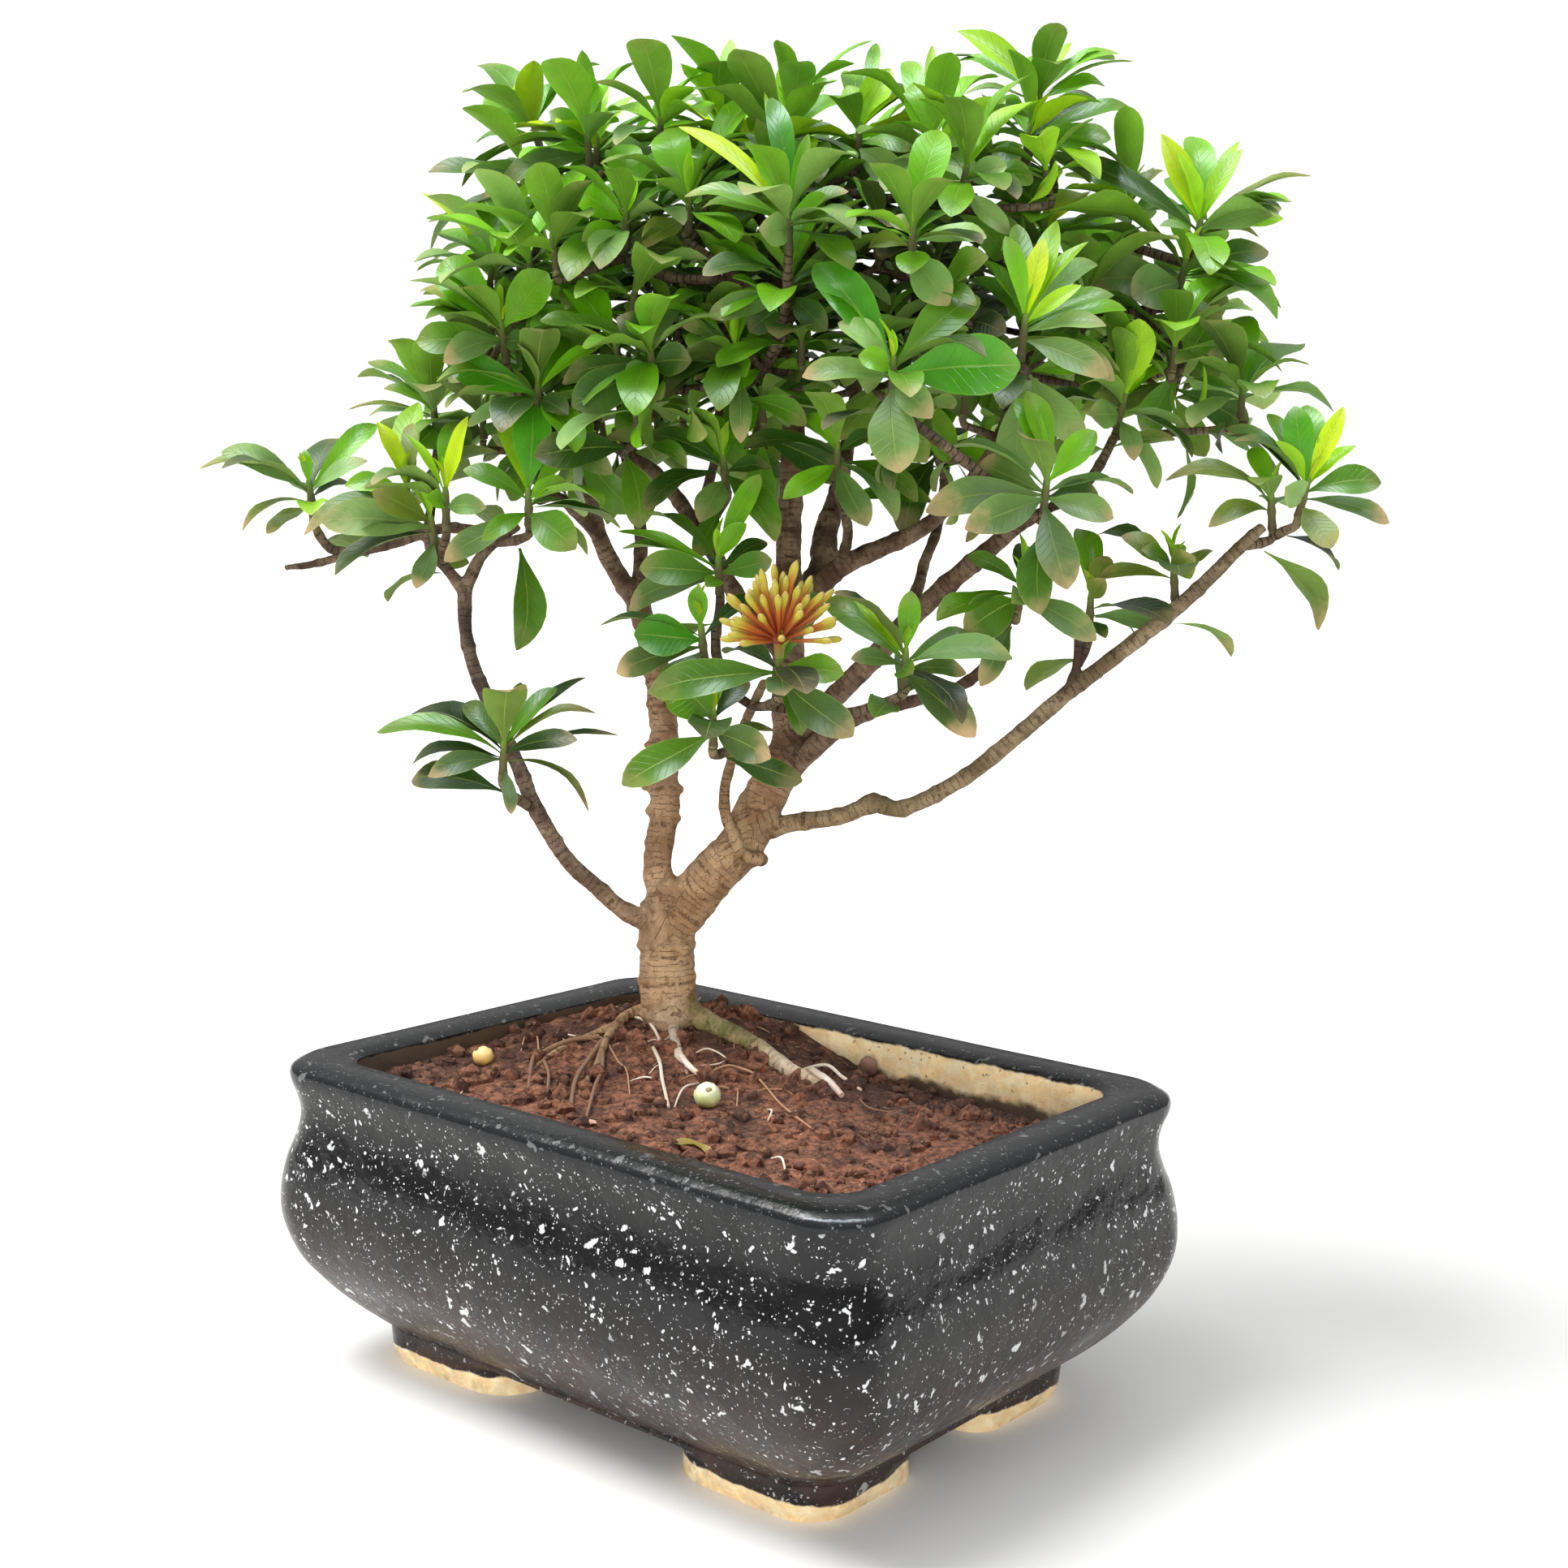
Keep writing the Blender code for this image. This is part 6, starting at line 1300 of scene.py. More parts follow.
def blade_points(leaf, half, young, rng):
    """Points of a blade's top and underside, and the place of each across and along the blade."""
    chord = leaf["tip"] - leaf["root"]
    length = chord.length
    along = chord / length
    face = square_to(leaf["face"], along)
    side = along.cross(face)
    bow = leaf.get("bow", LEAF_BOW) * length
    sway = rng.uniform(-LEAF_SWAY, LEAF_SWAY) * length
    curl = rng.uniform(*LEAF_CURLS[young]) * length
    fold = rng.uniform(*LEAF_FOLDS[young])
    wave = rng.uniform(*LEAF_WAVES) * half
    phase = rng.uniform(0, 2 * math.pi)
    twist = rng.uniform(-LEAF_TWIST, LEAF_TWIST)
    top = []
    under = []
    top_uvs = []
    under_uvs = []
    for t, share in zip(LEAF_ROWS, YOUNG_OUTLINE if young else GROWN_OUTLINE):
        middle = leaf["root"] + chord * t + face * (bow * 4 * t * (1 - t))
        middle = middle + side * (sway * math.sin(math.pi * t))
        middle -= face * (curl * max(0.0, (t - CURL_FROM) / (1 - CURL_FROM)) ** 2)
        angle = twist * (t - TWIST_FROM)
        side_here = side * math.cos(angle) + face * math.sin(angle)
        face_here = face * math.cos(angle) - side * math.sin(angle)
        width = half * share
        row = []
        for s in LEAF_COLUMNS:
            turn = 2 * math.pi * WAVES_LONG * t + phase + (WAVE_OFFSET if s > 0 else 0.0)
            lift = fold * width * abs(s) ** FOLD_POWER + wave * share * math.sin(turn) * s * s
            row.append(middle + side_here * (width * s) + face_here * lift)
            top_uvs.append(((s + 1) / 2, t))
        top += row
        for column, drop in enumerate(UNDER_DROPS, 1):
            under.append(row[column] - face_here * (drop * min(1.0, share * EDGE_THINS)))
            under_uvs.append(((LEAF_COLUMNS[column] + 1) / 2, t))
    return top + under, top_uvs + under_uvs


def blade_faces():
    """Faces of the top and of the underside, which share the points along both edges."""
    columns = len(LEAF_COLUMNS)
    rows = len(LEAF_ROWS)

    def under_index(row, column):
        if column in (0, columns - 1):
            return row * columns + column
        return rows * columns + row * (columns - 2) + column - 1

    top_faces = []
    under_faces = []
    for row in range(rows - 1):
        for column in range(columns - 1):
            a = row * columns + column
            top_faces.append((a, a + 1, a + 1 + columns, a + columns))
            under_faces.append((under_index(row, column), under_index(row + 1, column),
                                under_index(row + 1, column + 1), under_index(row, column + 1)))
    for row in (0, rows - 1):
        loop = [row * columns + column for column in range(columns)]
        loop += [under_index(row, column) for column in range(columns - 2, 0, -1)]
        under_faces.append(tuple(loop if row else loop[::-1]))
    return top_faces, under_faces


TOP_FACES, UNDER_FACES = blade_faces()


def fine_leaf(pile, leaf, rng):
    """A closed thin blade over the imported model's coarse one: outline, fold, wave, curl and twist."""
    rise = (leaf["tip"] - leaf["root"]).normalized().z
    half = leaf["width"] / 2
    tone = leaf["tone"]
    if rise > UPRIGHT and tone in ("m", "d", "n", "o", "p"):
        tone = rng.choice("bbl")
        half *= UPRIGHT_WIDTH
    if rise < HANGING and tone in ("d", "n"):
        tone = "m"
    young = tone in ("y", "l")
    verts, uvs = blade_points(leaf, half, young, rng)
    colour, shine, dryness = TONES[tone]
    # Painted shade: leaves low on the plant are darker.
    high = smooth_step((leaf["tip"].z - SHADE_FROM) / SHADE_RISE)
    light = rng.uniform(*LEAF_LIGHTS) * (LOW_SHADE + (HIGH_LIGHT - LOW_SHADE) * high)
    warm = rng.uniform(-0.06, 0.06)
    red, green, blue = srgb(*colour)
    base = (red * light * (1 + warm), green * light, blue * light * (1 - warm))
    dry = rng.uniform(*dryness)
    first = pile.add(verts, TOP_FACES, (*base, dry), (0.0, shine, rng.random()), uvs)
    # The underside's paler colour, partly a painted glow of light through the blade.
    below = blend_colour(base, UNDER_COLOUR_AND_GLOW, UNDER_SHARES[young])
    pile.add_faces(first, UNDER_FACES, (*below, dry * 0.8), (1.0, shine * 0.3, 0.5), uvs)


def curved(points, index, t):
    """The place on a smooth curve through the points, a share t on from the one with the index."""
    before = points[max(index - 1, 0)]
    start = points[index]
    end = points[index + 1]
    after = points[min(index + 2, len(points) - 1)]
    return (start * 2 + (end - before) * t + (before * 2 - start * 5 + end * 4 - after) * t ** 2
            + (start * 3 - before - end * 3 + after) * t ** 3) * 0.5


def steps_between(points, step):
    """The index of each stretch between points, with shares of it about a step apart."""
    for index in range(len(points) - 1):
        pieces = max(1, math.ceil((points[index + 1] - points[index]).length / step))
        for piece in range(pieces):
            yield index, piece / pieces


def smooth_line(points, radii, step):
    """A curve through the points with places about a step apart, and the radius and share at each."""
    last = len(points) - 1
    line = []
    for index, t in steps_between(points, step):
        radius = radii[index] + (radii[index + 1] - radii[index]) * t
        line.append((curved(points, index, t), radius, (index + t) / last))
    return line + [(points[-1], radii[-1], 1.0)]


NODE_SWELL = 0.16
NODE_WIDTH = 1.1 * MM
ROUGH_COARSE = 190.0
ROUGH_FINE = 520.0


def add_tube(pile, line, sides, tints, rough=0.0, nodes=0.0, seed=0.0, detail=(0.0, 0.0, 0.0)):
    """A capped tube on a smooth line. Rough roughens it, and nodes is the spacing of its swellings."""
    verts = []
    grains = []
    colours = []
    first = None
    travelled = 0.0
    for index, (place, radius, share) in enumerate(line):
        ahead = line[min(index + 1, len(line) - 1)][0] - line[max(index - 1, 0)][0]
        along = ahead.normalized()
        if first is None:
            first = any_side(along)
        else:
            first = square_to(first, along)
            travelled += (place - line[index - 1][0]).length
        second = along.cross(first)
        swell = 1.0
        if nodes:
            near = abs((travelled / nodes + seed) % 1.0 - 0.5) * nodes
            swell += NODE_SWELL * math.exp(-(near / NODE_WIDTH) ** 2)
        for k in range(sides):
            angle = 2 * math.pi * k / sides
            way = first * math.cos(angle) + second * math.sin(angle)
            point = place + way * radius
            if rough:
                swollen = swell + rough * noise.noise(point * ROUGH_COARSE)
                swollen += rough * 0.5 * noise.noise(point * ROUGH_FINE)
                point = place + way * (radius * swollen)
            verts.append(point)
        grains += [(travelled, radius, 0.0)] * sides
        colours += [tints(share) if callable(tints) else tints] * sides
    rings = [verts[index:index + sides] for index in range(0, len(verts), sides)]
    pile.add(verts, loft(rings)[1], colours, detail, None, grains)


STEM_LIGHT = 1.3


def ramp(*stops):
    """A colour that follows the share along a stem, from stops of share, screen colour and moss."""
    made = [(share, (*[part * STEM_LIGHT for part in srgb(*colour)], moss))
            for share, colour, moss in stops]

    def at(share):
        for (low, a), (high, b) in zip(made, made[1:]):
            if share <= high:
                return blend_colour(a, b, (share - low) / max(high - low, 1e-6))
        return made[-1][1]
    return at


BARK_TINTS = {
    "trunk": ramp((0, (178, 145, 110), 0.04), (1, (174, 142, 108), 0.0)),
    "main_stem": ramp((0, (174, 141, 105), 0), (0.3, (156, 121, 90), 0), (0.5, (112, 85, 67), 0),
                      (1, (88, 66, 52), 0)),
    "left_stem": ramp((0, (172, 139, 104), 0), (0.4, (158, 124, 94), 0), (1, (130, 100, 78), 0)),
    "right_low": ramp((0, (148, 121, 90), 0), (0.25, (132, 114, 86), 0.1), (1, (110, 96, 74), 0)),
    "left_low": ramp((0, (170, 138, 104), 0), (0.08, (140, 114, 90), 0), (0.4, (104, 86, 74), 0),
                     (1, (78, 64, 58), 0)),
    "right_bough": ramp((0, (104, 76, 62), 0), (1, (96, 74, 60), 0)),
    "right_arm": ramp((0, (104, 78, 62), 0), (1, (86, 66, 54), 0)),
    "low_arm": ramp((0, (108, 84, 68), 0), (1, (84, 64, 54), 0)),
    "wrapping": ramp((0, (164, 134, 96), 0), (0.5, (150, 120, 86), 0), (1, (118, 100, 66), 0)),
}
OTHER_BARK = ramp((0, (92, 70, 58), 0), (1, (78, 62, 50), 0))
TWIG_TINT = ramp((0, (82, 64, 52), 0), (0.7, (88, 76, 54), 0), (1, (104, 112, 62), 0))
STEM_TINT = ramp((0, (78, 66, 46), 0), (0.6, (84, 88, 46), 0), (1, (104, 136, 44), 0))
ROOT_TINTS = (
    ramp((0, (170, 139, 102), 0.1), (0.25, (132, 120, 76), 0.7), (0.45, (156, 136, 102), 0.4),
         (0.62, (214, 200, 178), 0.0), (1, (196, 168, 140), 0)),
    ramp((0, (172, 140, 105), 0), (0.25, (176, 150, 118), 0), (0.5, (222, 212, 198), 0),
         (1, (206, 176, 156), 0)),
    ramp((0, (170, 138, 102), 0), (1, (156, 123, 95), 0)),
    ramp((0, (166, 134, 98), 0), (1, (150, 117, 91), 0)),
)
# Knots on the stems: the place on the drawing and the radius.
KNOTS = (((-41, -68, 10.5), 3.0), ((-50, -44, 9.0), 3.4), ((-46, -41, 8.0), 2.8), ((-18, -31, 9.0), 5.0),
         ((-25, -22, 11.5), 2.2), ((-29, -34, 9.6), 2.0), ((-57, -1, -8.0), 2.2), ((-43, -2, -8.0), 2.2),
         ((-19, 10, 3.0), 2.4), ((37, -6, 25.0), 3.0), ((-55, -11, -6.0), 2.4), ((-44, -14, -5.0), 2.2),
         ((-56, -24, -4.0), 1.9), ((-54, -3, -7.0), 2.0), ((-44, -42, -1.0), 2.4), ((-56, 16, -9.0), 1.9),
         ((-45, 24, -10.0), 2.0))
BARK_STEP = 2.5 * MM
BARK_VOXEL = 1.0 * MM
BARK_SOFTENING = 3
TRUNK_SIDES = 24
THICK_SIDES = 18
THIN_SIDES = 12
THICK_BRANCH = 5 * MM
STEM_ROUGH = 0.08
# Stems thicker than this at their foot have no swellings at nodes.
NODELESS = 7.5 * MM
STEM_NODES = 15 * MM
# Rings and crumpled bumps of the bark, as shares of the stem's radius.
RINGS_LONG = 420.0
RINGS_ROUND = 45.0
RING_DEPTH = 0.045
CRUMPLE = 260.0
CRUMPLE_DEPTH = 0.050
BARK_DEEPEST = 8 * MM
NEAREST = 4
NEAR_SOFT = 0.3 * MM
TWIG_STEP = 2.6 * MM
TWIG_SIDES = 10
TWIG_ROUGH = 0.07
TWIG_NODES = 13 * MM


def bark_lines():
    """The smooth line, number of sides and tint of the trunk, each branch and each root."""
    stems = [(*trunk_line(), TRUNK_SIDES, BARK_TINTS["trunk"])]
    for name in BRANCHES:
        points, radii = branch_line(name)
        sides = THICK_SIDES if max(radii) > THICK_BRANCH else THIN_SIDES
        stems.append((points, radii, sides, BARK_TINTS.get(name, OTHER_BARK)))
    stems += [(*root_line(root), THIN_SIDES, tint) for root, tint in zip(ROOTS, ROOT_TINTS)]
    return [(smooth_line(points, radii, BARK_STEP), sides, tint) for points, radii, sides, tint in stems]


def one_skin(lines):
    """Tubes and knots merged into one mesh and smoothed."""
    pile = Pile()
    for number, (line, sides, tint) in enumerate(lines):
        nodes = 0.0 if line[0][1] > NODELESS else STEM_NODES
        add_tube(pile, line, sides, (0.0, 0.0, 0.0), STEM_ROUGH, nodes, number * 0.37)
    rough = pile.mesh("bark_rough")
    shape = bmesh.new()
    shape.from_mesh(rough)
    for place, radius in KNOTS:
        bmesh.ops.create_icosphere(shape, subdivisions=2, radius=radius * MM,
                                   matrix=Matrix.Translation(drawn(*place)))
    shape.to_mesh(rough)
    shape.free()
    holder = add_object("bark_rough", rough)
    remesh = holder.modifiers.new("one skin", "REMESH")
    remesh.mode = "VOXEL"
    remesh.voxel_size = BARK_VOXEL
    soften = holder.modifiers.new("soften", "SMOOTH")
    soften.factor = 0.5
    soften.iterations = BARK_SOFTENING
    return evaluated_mesh(holder, "bark")


def build_bark(twigs):
    """The trunk, branches and roots in one skin, which then gets its tints, rings and bumps from the
    nearest stems, and the twigs as tubes of their own.
    """
    lines = bark_lines()
    mesh = one_skin(lines)
    samples = []
    for line, sides, tint in lines:
        travelled = 0.0
        for index, (place, radius, share) in enumerate(line):
            travelled += (place - line[index - 1][0]).length if index else 0.0
            samples.append((place, radius, tint(share), travelled))
    tree = KDTree(len(samples))
    for index, sample in enumerate(samples):
        tree.insert(sample[0], index)
    tree.balance()
    tints = []
    grains = []
    moved = []
    for vert in mesh.vertices:
        near = tree.find_n(vert.co, NEAREST)
        weights = [1.0 / (max(away - samples[index][1], 0.0) + NEAR_SOFT) for place, index, away in near]
        total = sum(weights)
        colour = [0.0] * 4
        for (place, index, away), weight in zip(near, weights):
            for channel, part in enumerate(samples[index][2]):
                colour[channel] += part * weight / total
        place, radius, tint, along = samples[near[0][1]]
        tints += colour
        grains += (along, radius, 0.0)
        ridge = noise.noise(Vector((along * RINGS_LONG, vert.co.x * RINGS_ROUND, vert.co.y * RINGS_ROUND)))
        crumple = noise.fractal(vert.co * CRUMPLE, 0.9, 2.0, 4)
        depth = min(radius, BARK_DEEPEST)
        moved.append(vert.co + vert.normal * (depth * (RING_DEPTH * ridge + CRUMPLE_DEPTH * crumple)))
    for vert, place in zip(mesh.vertices, moved):
        vert.co = place
    colours = mesh.color_attributes.new("tint", "FLOAT_COLOR", "POINT")
    colours.data.foreach_set("color", tints)
    grain = mesh.attributes.new("grain", "FLOAT_VECTOR", "POINT")
    grain.data.foreach_set("vector", grains)
    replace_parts(dress("bark", mesh, BARK, 180.0), "wood")
    pile = Pile()
    for number, (points, radii) in enumerate(twigs):
        line = smooth_line(points, radii, TWIG_STEP)
        add_tube(pile, line, TWIG_SIDES, TWIG_TINT, TWIG_ROUGH, TWIG_NODES, number * 0.41)
    pile.make("twigs", BARK, 70.0)


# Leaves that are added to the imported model's: seeds, clearance, and width as a share of length.
MORE_SEED = 5120
BLOOM_SEED = MORE_SEED + 1
SOIL_SEED = MORE_SEED + 2
BLADE_SEED = MORE_SEED + 1000
INNER_BLADE_SEED = MORE_SEED + 2000
MORE_CLEARANCE = 0.1 * MM
MORE_WIDTH_SHARE = (0.36, 0.45)
BOX_MARGIN = 1.0 * MM
# How high a whorl is on the drawing to count as in the crown, and how many more leaves and tries
# a shoot gets there and elsewhere.
CROWN_FROM = 150
CROWN_MORE = (6, 30)
LOW_MORE = (2, 12)
MORE_TILT = (38, 108)
TIP_COUNTS = (2, 3, 3, 4)
TIP_TILT = (6, 30)
TIP_LENGTH = (9, 19)
TIP_WIDTH_SHARE = 0.24
# Pairs of leaves down the twigs
NODE_SPACING = 8.0 * MM
NODE_TILT = (62, 112)
NODE_LENGTH = (27, 43)
# Leaves down a twig take their tone as if this much lower: darker tones as painted shade.
NODE_SHADE_DROP = 0.04
NODE_TRIES = 5
NODE_PAIRS = (5, 1)
NODE_CROWN_FROM = 160
INNER_PAIRS = 3
# Leafy shoots inside the crown: where they may stand on the drawing, and how far they keep from
# the nearest other shoot. The third and fifth nearest are within the other two distances.
INNER_COUNT = 90
INNER_TRIES = 4000
INNER_PLACES = ((-128, 192), (150, 276), (-66, 66))
INNER_GAPS = (17 * MM, 50 * MM, 70 * MM)
INNER_LEANS = ((-0.2, 0.2), (-0.1, 0.3))
INNER_LENGTH = (30.0 * MM, 48.0 * MM)
INNER_LEAVES = 11
INNER_FEWEST = 3
INNER_TILT = (102, 6.5)
INNER_TO_A_PIECE = 11
INNER_TWIG_CHOICES = 12
INNER_TWIG_SHORTEST = 6 * MM
INNER_TWIG_SIDES = 6
# The crown's two upper corners, which the photograph shows open.
OPEN_RIGHT = (115, 218)
OPEN_LEFT = (-85, 240)


def in_box(leaf):
    """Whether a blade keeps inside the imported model's box, so that it isn't cut at the box."""
    points, faces = leaf_mesh(leaf)
    return all(low + BOX_MARGIN < value < high - BOX_MARGIN for point in points
               for value, low, high in zip(point + MODEL_SHIFT, CAD_LOW, CAD_HIGH))


def try_leaf(crowd, shoot, leaf):
    """Adds a leaf to its shoot where it clears the wood, the buds and every other shoot."""
    if not in_box(leaf) or not crowd.is_clear((shoot["name"],), leaf_mesh(leaf, MORE_CLEARANCE)):
        return False
    crowd.add(shoot["name"], leaf_mesh(leaf))
    shoot["leaves"].append(leaf)
    return True


def thicken(crowd, shoots):
    """More leaves on each crown shoot where there is room, and small young ones at its tip."""
    for number, shoot in enumerate(shoots):
        rng = random.Random(MORE_SEED + number)
        top = shoot["top"]
        axis = shoot["axis"]
        wanted, tries = CROWN_MORE if shoot["whorl"][1] > CROWN_FROM else LOW_MORE
        for attempt in range(tries):
            if wanted == 0:
                break
            turn = rng.uniform(0, 2 * math.pi)
            tilt = math.radians(rng.uniform(*MORE_TILT))
            length = rng.uniform(*FILL_LENGTH) * (1 - 0.012 * attempt)
            leaf = added_leaf(top, axis, turn, tilt, length, added_tone(rng, top))
            leaf["width"] = length * rng.uniform(*MORE_WIDTH_SHARE)
            wanted -= try_leaf(crowd, shoot, leaf)
        for _ in range(rng.choice(TIP_COUNTS)):
            turn = rng.uniform(0, 2 * math.pi)
            tilt = math.radians(rng.uniform(*TIP_TILT))
            length = rng.uniform(*TIP_LENGTH) * MM
            leaf = added_leaf(top, axis, turn, tilt, length, rng.choice("yll"))
            leaf["width"] = length * TIP_WIDTH_SHARE
            if in_box(leaf):
                shoot["leaves"].append(leaf)


def leaves_on_twig(crowd, shoot, twig, pairs):
    """Pairs of leaves at the nodes down a twig, below the leaves at its top."""
    rng = random.Random(int(shoot["whorl"][0]))
    line = smooth_line(*twig, 2 * MM)[::-1]
    travelled = 0.0
    node = 0
    turn = rng.uniform(0, math.pi)
    for (place, radius, share), (before, _, _) in zip(line[1:], line):
        travelled += (place - before).length
        if travelled < NODE_SPACING * (node + 0.6):
            continue
        node += 1
        if node > pairs:
            return
        turn += math.radians(90) + rng.uniform(-0.4, 0.4)
        axis = (before - place).normalized()
        for side in (0.0, math.pi):
            for attempt in range(NODE_TRIES):
                tilt = math.radians(rng.uniform(*NODE_TILT))
                length = rng.uniform(*NODE_LENGTH) * MM * (1 - 0.07 * attempt)
                aside = turn + side + rng.uniform(-0.4, 0.4)
                # A tone from a little lower, for painted shade under the crown.
                tone = added_tone(rng, place - UP * NODE_SHADE_DROP)
                leaf = added_leaf(place, axis, aside, tilt, length, tone)
                leaf["width"] = length * rng.uniform(*MORE_WIDTH_SHARE)
                out = square_to(leaf["tip"] - leaf["root"], axis) * (radius * 0.8)
                leaf["root"] += out
                leaf["tip"] += out
                if try_leaf(crowd, shoot, leaf):
                    break


def inner_twig(crowd, network, name, end, axis):
    """A short twig from a near and low place on the wood, or nothing where none is clear."""
    def cost(node):
        return (node[0] - end).length + max(0.0, node[0].z - end.z) * 2

    for point, way, radius in sorted(network, key=cost)[:INNER_TWIG_CHOICES]:
        if (point - end).length < INNER_TWIG_SHORTEST:
            continue
        points = bent_twig(point, way, end, axis)
        radii = [min(radius * 0.8, 1.8 * MM), 1.6 * MM, 1.5 * MM, 1.5 * MM]
        if crowd.is_clear(("wood", name), tube_mesh(points, radii, INNER_TWIG_SIDES)):
            return points, radii
    return None


def may_stand(whorl, top, others):
    """Whether an inner shoot has room, has neighbours and isn't in one of the open corners."""
    if whorl[0] > OPEN_RIGHT[0] and whorl[1] > OPEN_RIGHT[1]:
        return False
    if whorl[0] < OPEN_LEFT[0] and whorl[1] > OPEN_LEFT[1]:
        return False
    away = sorted((other["top"] - top).length for other in others)
    nearest, third, fifth = INNER_GAPS
    return away[0] >= nearest and away[2] <= third and away[4] <= fifth


def inner_shoots(crowd, network, shoots):
    """Short leafy shoots inside the crown, where the photograph shows leaf behind leaf."""
    rng = random.Random(MORE_SEED - 1)
    made = []
    twigs = []
    tries = 0
    while len(made) < INNER_COUNT and tries < INNER_TRIES:
        tries += 1
        whorl = tuple(rng.uniform(*places) for places in INNER_PLACES)
        top = drawn(*whorl)
        if not may_stand(whorl, top, shoots + made):
            continue
        axis = shoot_axis(tuple(rng.uniform(*leans) for leans in INNER_LEANS))
        name = "inner_%02d" % len(made)
        stem = (top - axis * STEM_BELOW, top + axis * STEM_ABOVE)
        stem_tube = tube_mesh(list(stem), [STEM_RADIUS * STEM_KEPT_CLEAR] * 2, INNER_TWIG_SIDES)
        if not crowd.is_clear((), stem_tube):
            continue
        twig = inner_twig(crowd, network, name, stem[0], axis)
        if twig is None:
            continue
        shoot = {"name": name, "whorl": whorl, "top": top, "axis": axis, "stem": stem, "leaves": []}
        crowd.add(name, stem_tube)
        for index in range(INNER_LEAVES):
            tilt = math.radians(INNER_TILT[0] - INNER_TILT[1] * index)
            for attempt in range(NODE_TRIES):
                length = rng.uniform(*INNER_LENGTH) * (1 - 0.08 * attempt)
                turn = index * GOLDEN_TURN + rng.uniform(-0.5, 0.5)
                leaf = added_leaf(top, axis, turn, tilt, length, added_tone(rng, top))
                leaf["width"] = length * rng.uniform(*MORE_WIDTH_SHARE)
                if try_leaf(crowd, shoot, leaf):
                    break
        if len(shoot["leaves"]) < INNER_FEWEST:
            continue
        points, radii = twig
        crowd.add("wood", tube_mesh(points, radii, INNER_TWIG_SIDES))
        for index in (1, 2):
            way = (points[index + 1] - points[index]).normalized()
            network.append((points[index], way, radii[index]))
        twigs.append(twig)
        made.append(shoot)
    return made, twigs


def add_shoot(pile, shoot, seed, line):
    """The fine blades of one shoot, and its stem on a smooth line."""
    rng = random.Random(seed)
    for leaf in shoot["leaves"]:
        fine_leaf(pile, leaf, rng)
    add_tube(pile, line, 8, STEM_TINT, 0.05, 6 * MM, 0.3, (1.0, 0.3, 0.5))


def build_leaves(shoots, inner):
    for number, shoot in enumerate(shoots):
        pile = Pile()
        foot, end = shoot["stem"]
        points = [foot - shoot["axis"] * MM, (foot + end) / 2, end]
        line = smooth_line(points, [1.75 * MM, 1.6 * MM, 1.0 * MM], 1.6 * MM)
        add_shoot(pile, shoot, BLADE_SEED + number, line)
        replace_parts(pile.make("leaves_" + shoot["name"], LEAF), "shoot_" + shoot["name"])
    for first in range(0, len(inner), INNER_TO_A_PIECE):
        pile = Pile()
        for number, shoot in enumerate(inner[first:first + INNER_TO_A_PIECE], first):
            line = smooth_line(shoot["stem"], [1.6 * MM, 1.1 * MM], 2 * MM)
            add_shoot(pile, shoot, INNER_BLADE_SEED + number, line)
        pile.make("leaves_inner_%d" % (first // INNER_TO_A_PIECE), LEAF)


# Fine buds: how many, how far they turn away from the viewer and up, how uneven they are, and
# the radius in millimetres at shares of their length.
FINE_BUDS = 58
BUD_FACING = 0.15
BUD_TURN = 0.42
BUD_LIFT = 0.40
BUD_SCATTER = 0.14
FINE_BUD_LENGTHS = (0.72, 1.0)
FINE_BUD_SHAPE = ((0.04, 0.60), (0.35, 0.75), (0.62, 0.85), (0.74, 1.05), (0.82, 1.40), (0.90, 1.45),
                  (0.96, 1.05), (1.0, 0.35))
CORE_POINTS = 40


def build_bloom():
    """A head of closed buds, slender with fatter pointed ends, burnt orange to green-gold."""
    top, axis = bloom_axis()
    core = top + axis * BLOOM_RISE
    pile = Pile()
    rng = random.Random(BLOOM_SEED)
    for index, (way, share) in enumerate(bud_ways(FINE_BUDS)):
        facing = max(0.0, -way.dot(LOOK) - BUD_FACING)
        way = way + LOOK * (facing * BUD_TURN) + UP * (facing * BUD_LIFT)
        way = (way + Vector([rng.uniform(-BUD_SCATTER, BUD_SCATTER) for _ in range(3)])).normalized()
        length = bud_length(index, share) * rng.uniform(*FINE_BUD_LENGTHS)
        bend = square_to(UP, way) * (rng.uniform(0.0, 0.06) * length) if abs(way.z) < 0.95 else Vector()
        green = rng.uniform(-0.06, 0.08)
        tint = ramp((0, (98, 40, 18), 0), (0.35, (152, 72, 30), 0), (0.64 + green, (170, 96, 38), 0),
                    (0.79 + green, (172, 150, 48), 0), (0.93, (172, 168, 58), 0), (1.0, (172, 142, 78), 0))
        line = [(core + way * (length * at) + bend * (at * at), radius * MM, at)
                for at, radius in FINE_BUD_SHAPE]
        add_tube(pile, line, 7, tint, 0.03)
    stalk = smooth_line([top, core], [1.7 * MM, 2.6 * MM], 2 * MM)
    add_tube(pile, stalk, 10, ramp((0, (120, 134, 60), 0), (1, (140, 84, 38), 0)), 0.05)
    shape = bmesh.new()
    for point in [core + way * (BLOOM_CORE * 1.1) for way, share in bud_ways(CORE_POINTS)]:
        shape.verts.new(point)
    shape.verts.new(core - axis * (2 * MM))
    bmesh.ops.convex_hull(shape, input=shape.verts)
    pile.add(*taken(shape), (*PAINT["bloom core"], 0.0))
    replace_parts(pile.make("bud_head", BUD, 60.0), "bloom_head")


def full_profile(levels, step):
    """Pot levels joined by a smooth curve, and by straight lines at the first few."""
    points = [Vector(level) for level in levels]
    profile = []
    for index, t in steps_between(points, step):
        straight = points[index] + (points[index + 1] - points[index]) * t
        profile.append(curved(points, index, t) if index > SHARP_LEVELS else straight)
    return profile + [points[-1]]


